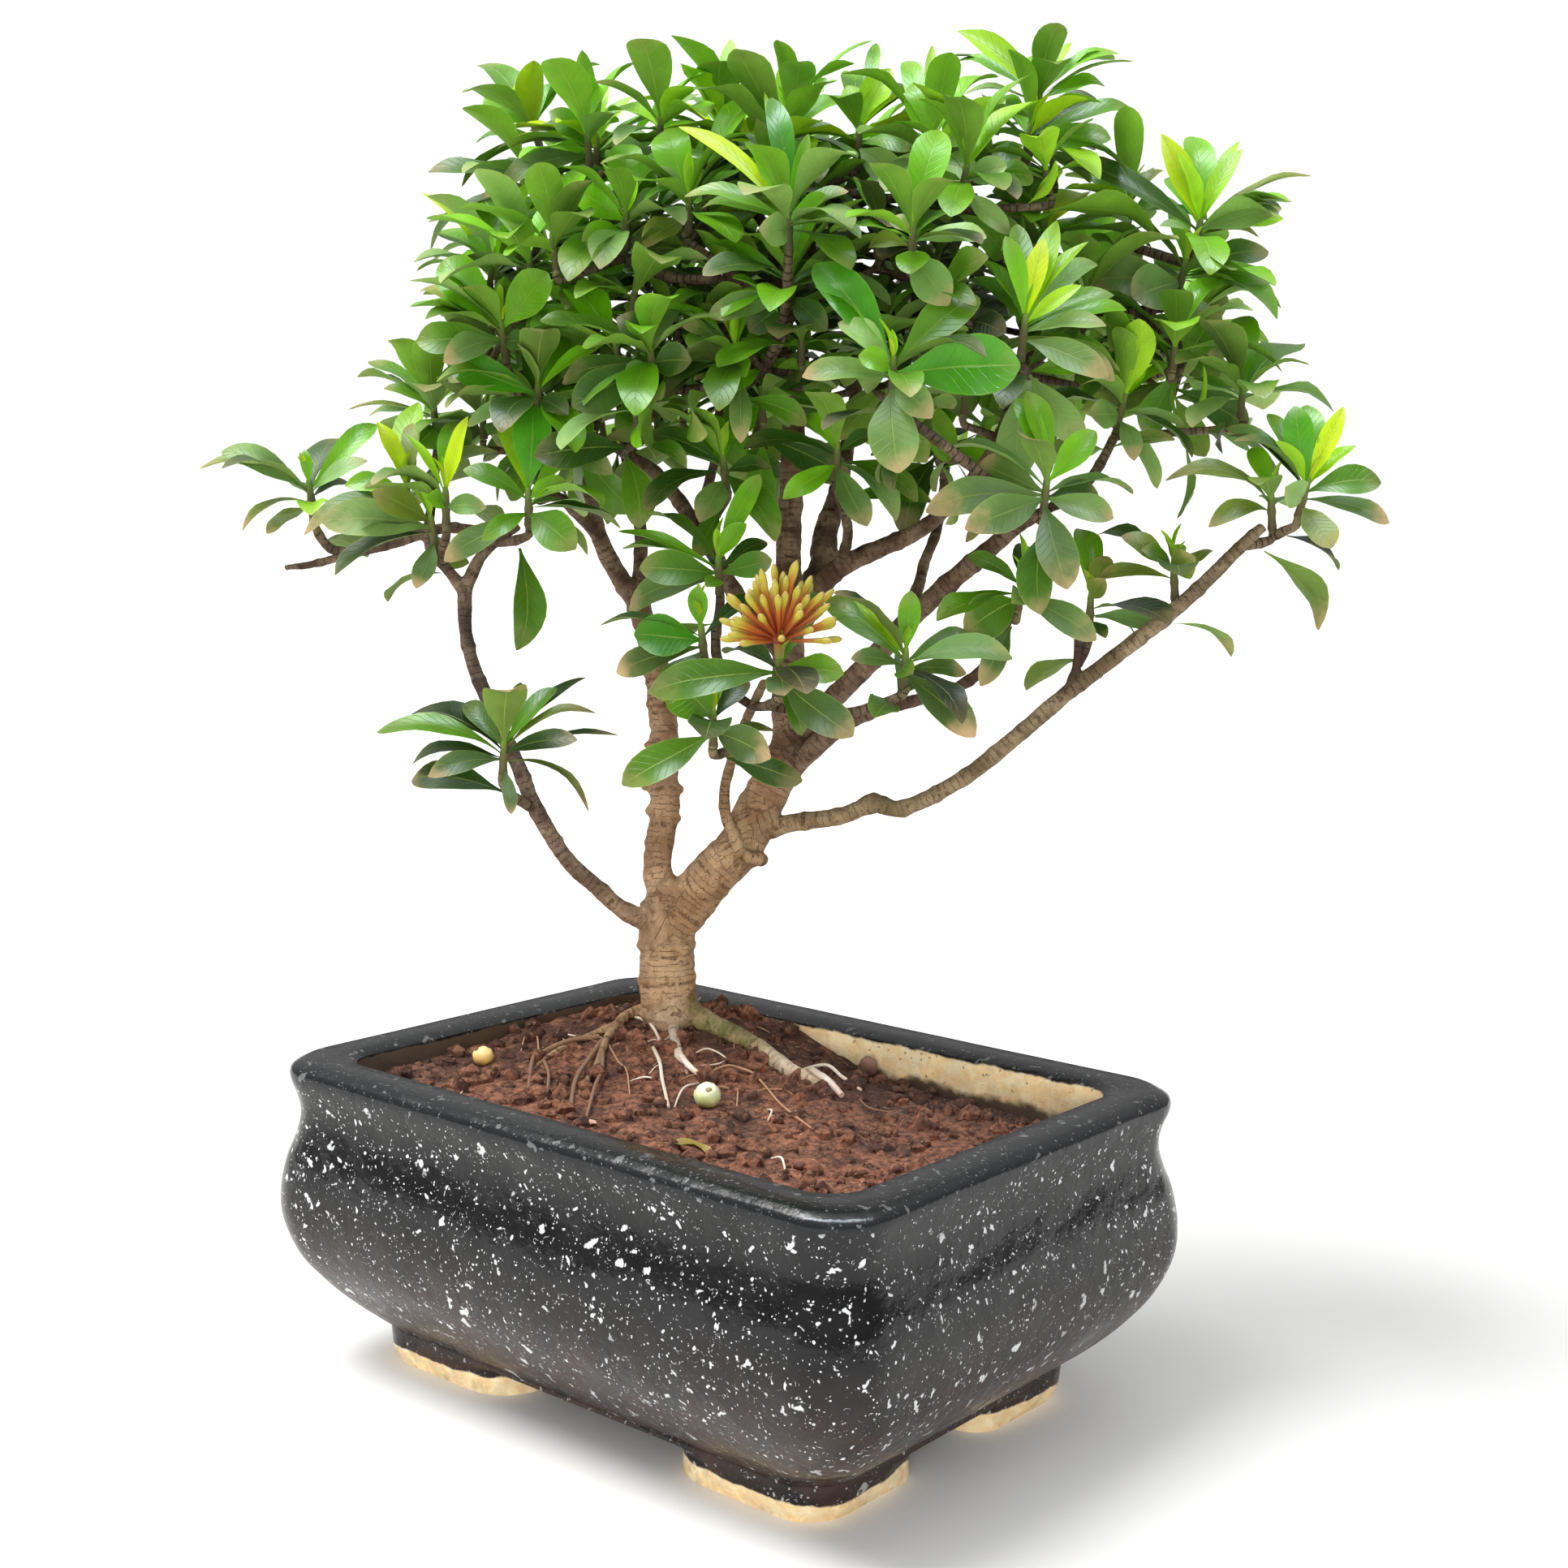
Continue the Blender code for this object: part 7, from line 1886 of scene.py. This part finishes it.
def waver(ring, height):
    """Moves a level of the pot in and out a little, as by hand."""
    middle = Vector((0, 0, height * MM))
    for point in ring:
        out = (point - middle).normalized()
        coarse = noise.noise(Vector(part * rate for part, rate in zip(point, WAVER_COARSE)))
        both = coarse + 0.5 * noise.noise(Vector(part * rate for part, rate in zip(point, WAVER_FINE)))
        point += out * (min(both, WAVER_MOST) * WAVER_DEPTH - WAVER_INWARD) * MM


def pot_cutters():
    """Closed shapes of what is cut from the pot: two gaps, the hollow between the feet and the drains."""
    foot_x, foot_y = POT_OUTSIDE[0][:2]
    turned = [(across, along) for along, across in gap_outline(*GAP_SHORT, foot_x)]
    shapes = [gap_cutter(gap_outline(*GAP_LONG, foot_y), GAP_HEIGHT),
              gap_cutter(turned, GAP_HEIGHT - GAP_STEP)]
    hollow = bmesh.new()
    size = Vector((foot_x - FOOT_WALL, foot_y - FOOT_WALL, GAP_HEIGHT - GAP_STEP / 2)) * (2 * MM)
    bmesh.ops.create_cube(hollow, size=1.0, matrix=Matrix.Diagonal((*size, 1.0)))
    shapes.append(hollow)
    for side in (-1, 1):
        drain = bmesh.new()
        bmesh.ops.create_cone(drain, cap_ends=True, segments=32, radius1=DRAIN_RADIUS, radius2=DRAIN_RADIUS,
                              depth=DRAIN_CUT, matrix=Matrix.Translation((side * DRAIN_SPREAD, 0, 0)))
        shapes.append(drain)
    return shapes


def build_pot():
    """The glazed pot with a smooth belly, a faint handmade waver and its arches and drain holes."""
    outside = full_profile(POT_OUTSIDE, POT_STEPS[0])
    levels = outside + full_profile(POT_INSIDE, POT_STEPS[1])
    rings = []
    for number, (half_x, half_y, corner, height) in enumerate(levels):
        ring = rounded_ring(half_x, half_y, corner, height, POT_CORNER_STEPS, POT_SIDES)
        if number < len(outside) and height > WAVER_FROM:
            waver(ring, height)
        rings.append(ring)
    verts, faces = loft(rings)
    mesh = bpy.data.meshes.new("pot_glaze")
    mesh.from_pydata([tuple(vert) for vert in verts], [], faces)
    holder = add_object("pot_glaze", mesh)
    cutters = []
    for shape in pot_cutters():
        cut = bpy.data.meshes.new("cutter")
        shape.to_mesh(cut)
        shape.free()
        cutters.append(add_object("cutter", cut))
        modifier = holder.modifiers.new("cut", "BOOLEAN")
        modifier.operation = "DIFFERENCE"
        modifier.object = cutters[-1]
        modifier.solver = "EXACT"
    mesh = evaluated_mesh(holder, "pot_glaze", cutters)
    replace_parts(dress("pot_glaze", mesh, GLAZE, 38.0), "pot")


# The earth's top as rings from the wall to the trunk's foot, and its plain body below.
EARTH_RINGS = 104
EARTH_INNERMOST = 0.992
EARTH_SIDES = (74, 37)
EARTH_CORNER_STEPS = 10
EARTH_WALL = (118.0, 79.0, 13.0, 60.0)
CLOD_COUNT = 1300
CLOD_SIZES = (0.6, 4.8, 4)
CLODS_FROM_TRUNK = 15
# Fine roots by chance: how many lie near the trunk, and how many farther out.
NEAR_ROOTLETS = 26
ROOTLET_COUNT = 46
NEAR_REACH = (16, 60)
FAR_REACH = (60, 190)
ROOTLETS_WITHIN = (112, 74)
ROOTLETS_END = (122, 82)
ROOTLET_STEP = 3.0
ROOTLET_RADII = (0.20, 0.42)
ROOTLET_TONES = {
    "pale": ramp((0, (190, 170, 146), 0), (0.5, (222, 212, 200), 0), (1, (196, 168, 148), 0)),
    "tan": ramp((0, (158, 122, 88), 0), (1, (170, 126, 98), 0)),
    "brown": ramp((0, (128, 98, 72), 0), (1, (116, 82, 62), 0)),
}
# Fine roots that the photograph shows: pixels along each, its thickness in millimetres and its tone.
ROOTLETS = (
    (((738, 1280), (700, 1290), (668, 1301), (657, 1310), (651, 1347)), 2.2, "brown"),
    (((668, 1301), (676, 1332), (672, 1362)), 1.5, "brown"),
    (((664, 1302), (661, 1280), (648, 1280), (642, 1295)), 0.9, "tan"),
    (((742, 1284), (727, 1306), (709, 1340), (703, 1369)), 2.3, "brown"),
    (((742, 1288), (742, 1317), (733, 1347), (722, 1377)), 1.9, "brown"),
    (((781, 1254), (801, 1269), (813, 1280)), 1.5, "pale"),
    (((805, 1284), (813, 1303), (816, 1336), (824, 1366)), 1.7, "pale"),
    (((776, 1330), (794, 1328), (813, 1330)), 0.9, "pale"),
    (((853, 1286), (872, 1286), (894, 1299), (885, 1308), (864, 1299)), 0.8, "pale"),
    (((866, 1325), (894, 1315), (913, 1321), (929, 1330), (946, 1347), (964, 1366), (1001, 1395)),
     1.2, "tan"),
    (((861, 1332), (842, 1347), (831, 1362)), 1.0, "pale"),
    (((907, 1334), (909, 1351), (907, 1369)), 0.8, "tan"),
    (((976, 1323), (1016, 1323), (1038, 1336), (1061, 1347)), 1.7, "pale"),
    (((946, 1364), (951, 1373), (946, 1380)), 0.9, "pale"),
    (((951, 1373), (959, 1380)), 0.8, "pale"),
    (((951, 1425), (963, 1432), (968, 1447)), 1.0, "pale"),
    (((750, 1284), (762, 1300), (772, 1317), (776, 1351)), 0.9, "tan"),
    (((690, 1273), (711, 1277)), 0.9, "pale"),
    (((716, 1277), (742, 1271)), 0.8, "tan"),
    (((1057, 1351), (1072, 1369), (1113, 1373)), 0.8, "brown"),
    (((836, 1285), (848, 1310), (864, 1327)), 2.8, "pale"),
    (((1000, 1325), (1020, 1342), (1037, 1353)), 3.4, "pale"),
)
PICTURE_MIDDLE = 966
PIXELS_TO_A_MM = 3


def soil_edge(share):
    """The soil's outline at the wall, drawn in toward the trunk's foot by a share."""
    half_x, half_y, corner, height = POT_INSIDE[2]
    ring = rounded_ring(half_x - SOIL_GAP, half_y - SOIL_GAP, corner, 0.0, EARTH_CORNER_STEPS, EARTH_SIDES)
    middle = Vector((*TRUNK_FOOT, 0.0)) * MM
    return [middle + (point - middle) * share for point in ring]


def soil_top(x, y):
    """Height of the crumbly surface in metres, over a place in metres."""
    rough = noise.fractal(Vector((x * 55, y * 55, 0.3)), 0.8, 2.0, 3) * 1.5
    clods = noise.noise(Vector((x * 150, y * 150, 7.0))) * 1.3
    clods += noise.noise(Vector((x * 420, y * 420, 3.0))) * 0.6
    return (soil_height(x / MM, y / MM) + rough + clods) * MM


def on_top(x, y, lift=0.0):
    """A place on the crumbly surface, in metres, over a place in millimetres."""
    return Vector((x * MM, y * MM, soil_top(x * MM, y * MM) + lift))


def on_soil(pixel):
    """The place on the soil, in millimetres, that the photograph shows at a pixel."""
    across = (pixel[0] - PICTURE_MIDDLE) / PIXELS_TO_A_MM * MM
    up = (PICTURE_MIDDLE - pixel[1]) / PIXELS_TO_A_MM * MM
    way = LOOK * DRAWING_AT + RIGHT * across + ABOVE * up
    height = SOIL_LEVEL
    for _ in range(4):
        place = EYE + way * ((height * MM - EYE.z) / way.z)
        height = soil_height(place.x / MM, place.y / MM)
    return place.x / MM, place.y / MM


def build_earth():
    tops = []
    for index in range(EARTH_RINGS + 1):
        ring = soil_edge(1.0 - EARTH_INNERMOST * index / EARTH_RINGS)
        tops.append([Vector((point.x, point.y, soil_top(point.x, point.y))) for point in ring])
    half_x, half_y, corner, height = POT_INSIDE[-1]
    bottom = rounded_ring(half_x - 1, half_y - 1, corner, height + 0.5, EARTH_CORNER_STEPS, EARTH_SIDES)
    wall = rounded_ring(*EARTH_WALL, EARTH_CORNER_STEPS, EARTH_SIDES)
    pile = Pile()
    pile.add(*loft([bottom, wall] + tops), (*PAINT["soil"], 0.0))
    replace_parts(pile.make("earth", SOIL, 180.0), "soil")


def build_clods(rng):
    """Loose clods that lie on the earth, a few of them large."""
    ball_verts, ball_faces = round_ball(1)
    half_x, half_y, corner, height = POT_INSIDE[2]
    pile = Pile()
    placed = 0
    while placed < CLOD_COUNT:
        x = rng.uniform(-half_x + 3, half_x - 3)
        y = rng.uniform(-half_y + 3, half_y - 3)
        size = CLOD_SIZES[0] + CLOD_SIZES[1] * rng.random() ** CLOD_SIZES[2]
        if (x - TRUNK_FOOT[0]) ** 2 + (y - TRUNK_FOOT[1]) ** 2 < CLODS_FROM_TRUNK ** 2:
            continue
        placed += 1
        place = on_top(x, y, size * 0.05 * MM)
        stretch = [size * rng.uniform(0.7, 1.2) * MM for _ in range(3)]
        seed = Vector((rng.random(), rng.random(), rng.random())) * 50
        points = []
        for co in ball_verts:
            swell = 1.0 + 0.35 * noise.noise(co * 1.7 + seed)
            points.append(place + Vector(co[k] * stretch[k] * swell for k in range(3)))
        pile.add(points, ball_faces, (*PAINT["soil"], 0.0))
    pile.make("clods", SOIL, 35.0)


def build_rootlets(rng):
    """Fine roots on the earth: the ones that the photograph shows, and thinner ones by chance."""
    pile = Pile()
    for pixels, thick, tone in ROOTLETS:
        points = []
        for number, pixel in enumerate(pixels):
            lift = thick * 0.6 + (1.4 if 0 < number < len(pixels) - 1 else -0.4)
            points.append(on_top(*on_soil(pixel), lift * MM))
        radii = [thick / 2 * MM * (1 - 0.35 * number / len(points)) for number in range(len(points))]
        add_tube(pile, smooth_line(points, radii, 1.6 * MM), 8, ROOTLET_TONES[tone], 0.12)
    for number in range(ROOTLET_COUNT):
        turn = rng.uniform(0, 2 * math.pi)
        reach = rng.uniform(*(NEAR_REACH if number < NEAR_ROOTLETS else FAR_REACH))
        x = TRUNK_FOOT[0] + reach * math.cos(turn)
        y = TRUNK_FOOT[1] + reach * math.sin(turn)
        if abs(x) > ROOTLETS_WITHIN[0] or abs(y) > ROOTLETS_WITHIN[1]:
            continue
        heading = turn + rng.uniform(-1.2, 1.2)
        count = rng.randint(5, 12)
        points = []
        for index in range(count):
            heading += rng.uniform(-0.5, 0.5)
            x += ROOTLET_STEP * math.cos(heading)
            y += ROOTLET_STEP * math.sin(heading)
            x = min(max(x, -ROOTLETS_END[0]), ROOTLETS_END[0])
            y = min(max(y, -ROOTLETS_END[1]), ROOTLETS_END[1])
            points.append(on_top(x, y, 0.3 * MM + 0.8 * MM * math.sin(index * 0.9 + number)))
        thick = rng.uniform(*ROOTLET_RADII) * MM
        radii = [thick * (1 - 0.6 * index / count) for index in range(count)]
        tone = rng.choice(("pale", "tan", "tan", "brown"))
        add_tube(pile, smooth_line(points, radii, 1.6 * MM), 6, ROOTLET_TONES[tone], 0.12)
    pile.make("fine_roots", ROOT, 60.0)


def build_soil():
    """The crumbly top of the soil on a plain body, with loose clods and fine roots on it."""
    build_earth()
    rng = random.Random(SOIL_SEED)
    build_clods(rng)
    build_rootlets(rng)


# A fruit's place, name, skin from its foot up, with painted shade at the foot and painted light on top,
# and seed; then its withered end: which way it lies, how far out as a share of the fruit's size, its own
# sizes, colour and seed.
FRUITS = (
    (YELLOW_FRUIT, "yellow", ((0, (168, 122, 70), 0), (0.5, (220, 184, 112), 0), (1, (236, 208, 144), 0)),
     3.0, (-0.3, -0.5, 0.75), 0.92, (1.1, 1.1, 0.7), (112, 76, 44), 5.0),
    (GREEN_FRUIT, "green", ((0, (130, 138, 78), 0), (0.45, (188, 196, 134), 0), (1, (230, 232, 204), 0)),
     8.0, (0.5, -0.45, 0.6), 0.9, (1.4, 1.4, 0.9), (150, 140, 90), 9.0),
)
# Crumbs that the photograph shows on the soil: pixel, sizes in millimetres and colour.
CRUMBS = (
    ((935, 1320), (2.4, 1.8, 1.6), (188, 78, 44)), ((728, 1385), (3.4, 1.6, 0.8), (206, 160, 140)),
    ((1105, 1345), (2.6, 2.0, 1.8), (96, 58, 44)), ((1180, 1372), (2.0, 1.8, 1.5), (90, 52, 38)),
    ((1010, 1392), (2.2, 1.6, 1.3), (104, 64, 46)), ((812, 1358), (1.6, 1.3, 1.1), (150, 104, 78)),
    ((985, 1440), (2.4, 2.0, 1.6), (98, 56, 40)), ((690, 1352), (1.8, 1.4, 1.2), (120, 78, 58)),
)


def lump(pile, place, sizes, bumps, tint, seed, subdivisions=3):
    """An uneven ball: sizes in millimetres, and a tint that may follow the height on it."""
    ball_verts, ball_faces = round_ball(subdivisions)
    verts = []
    colours = []
    for co in ball_verts:
        swell = 1.0 + bumps * noise.noise(co * 2.2 + Vector((seed, seed, 0)))
        verts.append(place + Vector(co[k] * sizes[k] * swell for k in range(3)) * MM)
        colours.append(tint((co.z + 1) / 2) if callable(tint) else tint)
    pile.add(verts, ball_faces, colours)


def build_litter():
    """What lies on the soil: two fruits, a pebble, a fallen leaf and crumbs."""
    for (place, size, depth), name, skin, seed, way, out, end_sizes, end_colour, end_seed in FRUITS:
        middle = pressed_place(place, size, depth)
        end = middle + Vector(way) * (size * MM * out)
        pile = Pile()
        # The skin's colour follows its height: painted shade at the foot, painted light on top.
        lump(pile, middle, (size * 0.97, size * 0.97, size * 0.9), 0.10, ramp(*skin), seed)
        lump(pile, end, end_sizes, 0.4, (*srgb(*end_colour), 0), end_seed, 2)
        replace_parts(pile.make("fruit_" + name, FRUIT, 70.0), "fallen_fruit_" + name)
    place, sizes, depth = PEBBLE
    pile = Pile()
    # The pebble is darker at its foot and paler on top: painted shade and painted light.
    lump(pile, pressed_place(place, sizes[2], depth), [value * 0.95 for value in sizes], 0.25,
         ramp((0, (84, 56, 44), 0), (1, (134, 98, 84), 0)), 12.0)
    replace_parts(pile.make("stone", STONE, 60.0), "pebble")
    root, tip = (Vector((x, y, soil_height(x, y) + 1.0)) * MM for x, y in FALLEN_LEAF[:2])
    leaf = {"root": root, "tip": tip, "face": UP, "width": FALLEN_LEAF[2] * MM, "tone": "dry"}
    pile = Pile()
    fine_leaf(pile, leaf, random.Random(5))
    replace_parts(pile.make("dry_leaf", LEAF), "fallen_leaf")
    pile = Pile()
    for pixel, sizes, colour in CRUMBS:
        x, y = on_soil(pixel)
        place = Vector((x, y, soil_height(x, y) + 1.0)) * MM
        lump(pile, place, sizes, 0.45, (*srgb(*colour), 0.0), pixel[0], 2)
    pile.make("crumbs", STONE, 50.0)


# Light of the overcast sky from below and from above, and the white that the camera sees.
SKY_LOW = 0.26
SKY_HIGH = 0.92
BEHIND = 1.05
SUN_POWER = 3.2
SUN_SPREAD = 34.0
SUN_COLOUR = (1.0, 0.99, 0.96)
SUN_FROM = Vector((-0.42, -0.30, 1.0))
# Two area lights: size, power, colour, place and the point that each faces.
WINDOW = ((2.2, 0.50), 85.0, (0.80, 0.88, 1.0), Vector((0.36, -0.30, 1.85)), Vector((0.16, -0.18, 0.12)))
LOW_FRONT = ((0.8, 0.35), 0.65, (1.0, 0.98, 0.95), Vector((0.62, -1.02, 0.22)), Vector((0.0, -0.05, 0.07)))
LOW_FRONT_SPREAD = 34.0
FLOOR_REACH = 40.0
SENSOR = 36.0
LENS = 49.137


def build_world():
    """Overcast white light, brighter from above, and plain white where the camera sees past the object."""
    world = bpy.data.worlds.new("studio")
    bpy.context.scene.world = world
    world.use_nodes = True
    tree = world.node_tree
    way = tree.nodes.new("ShaderNodeSeparateXYZ")
    tree.links.new(tree.nodes.new("ShaderNodeTexCoord").outputs["Generated"], way.inputs[0])
    sky = tree.nodes.new("ShaderNodeMapRange")
    sky.inputs["To Min"].default_value = SKY_LOW
    sky.inputs["To Max"].default_value = SKY_HIGH
    tree.links.new(way.outputs["Z"], sky.inputs["Value"])
    path = tree.nodes.new("ShaderNodeLightPath")
    strength = tree.nodes.new("ShaderNodeMapRange")
    strength.inputs["To Max"].default_value = BEHIND
    tree.links.new(path.outputs["Is Camera Ray"], strength.inputs["Value"])
    tree.links.new(sky.outputs["Result"], strength.inputs["To Min"])
    background = tree.nodes["Background"]
    background.inputs["Color"].default_value = (1.0, 1.0, 1.0, 1.0)
    tree.links.new(strength.outputs["Result"], background.inputs["Strength"])
    bpy.context.scene.view_settings.view_transform = "Standard"


def area_light(name, size, energy, colour, place, target):
    """A soft rectangular light whose long side lies across the camera's view."""
    data = bpy.data.lights.new(name, "AREA")
    data.shape = "RECTANGLE"
    data.size, data.size_y = size
    data.energy = energy
    data.color = colour
    light = add_object(name, data)
    back = (place - target).normalized()
    across = (RIGHT - back * RIGHT.dot(back)).normalized()
    turned = Matrix((across, back.cross(across), back)).transposed().to_4x4()
    light.matrix_world = Matrix.Translation(place) @ turned
    return light


def build_set():
    """Pale floor, soft studio light and the photograph's camera."""
    mesh = bpy.data.meshes.new("floor")
    corners = [(x * FLOOR_REACH, y * FLOOR_REACH, 0) for x, y in ((-1, -1), (1, -1), (1, 1), (-1, 1))]
    mesh.from_pydata(corners, [], [(0, 1, 2, 3)])
    floor = add_object("floor", mesh)
    mesh.materials.append(floor_material())
    build_world()
    data = bpy.data.lights.new("sun", "SUN")
    data.energy = SUN_POWER
    data.angle = math.radians(SUN_SPREAD)
    data.color = SUN_COLOUR
    sun = add_object("sun", data)
    sun.rotation_mode = "QUATERNION"
    sun.rotation_quaternion = SUN_FROM.to_track_quat("Z", "Y")
    # The overhead light gives gloss only, and the low one lights the foot without a gloss.
    area_light("window", *WINDOW).visible_diffuse = False
    front = area_light("low front", *LOW_FRONT)
    front.data.spread = math.radians(LOW_FRONT_SPREAD)
    front.visible_glossy = False
    data = bpy.data.cameras.new("camera")
    data.sensor_width = SENSOR
    data.lens = LENS
    camera = add_object("camera", data)
    turned = Matrix((RIGHT, ABOVE, -LOOK)).transposed().to_4x4()
    camera.matrix_world = Matrix.Translation(EYE + MODEL_SHIFT) @ turned
    bpy.context.scene.camera = camera


LEAF = leaf_material()
BARK = bark_material()
SOIL = soil_material()
GLAZE = glaze_material()
BUD = tint_material("bud_surface", 0.48, 700.0, 0.35, 0.00015)
FRUIT = tint_material("fruit_surface", 0.45, 420.0, 0.5, 0.0002)
STONE = tint_material("stone_surface", 0.8, 380.0, 0.6, 0.0004)
ROOT = tint_material("root_surface", 0.75, 520.0, 0.5, 0.0002)

all_shoots, all_twigs, standing, branch_net = grow_plant()
thicken(standing, all_shoots)
more_shoots, more_twigs = inner_shoots(standing, branch_net, all_shoots)
for shoot in all_shoots:
    nearest_twig = min(all_twigs, key=lambda twig: (twig[0][-1] - shoot["stem"][0]).length)
    leaves_on_twig(standing, shoot, nearest_twig, NODE_PAIRS[shoot["whorl"][1] <= NODE_CROWN_FROM])
for shoot, twig in zip(more_shoots, more_twigs):
    leaves_on_twig(standing, shoot, twig, INNER_PAIRS)
build_pot()
build_soil()
build_litter()
build_bark(all_twigs + more_twigs)
build_leaves(all_shoots, more_shoots)
build_bloom()
build_set()
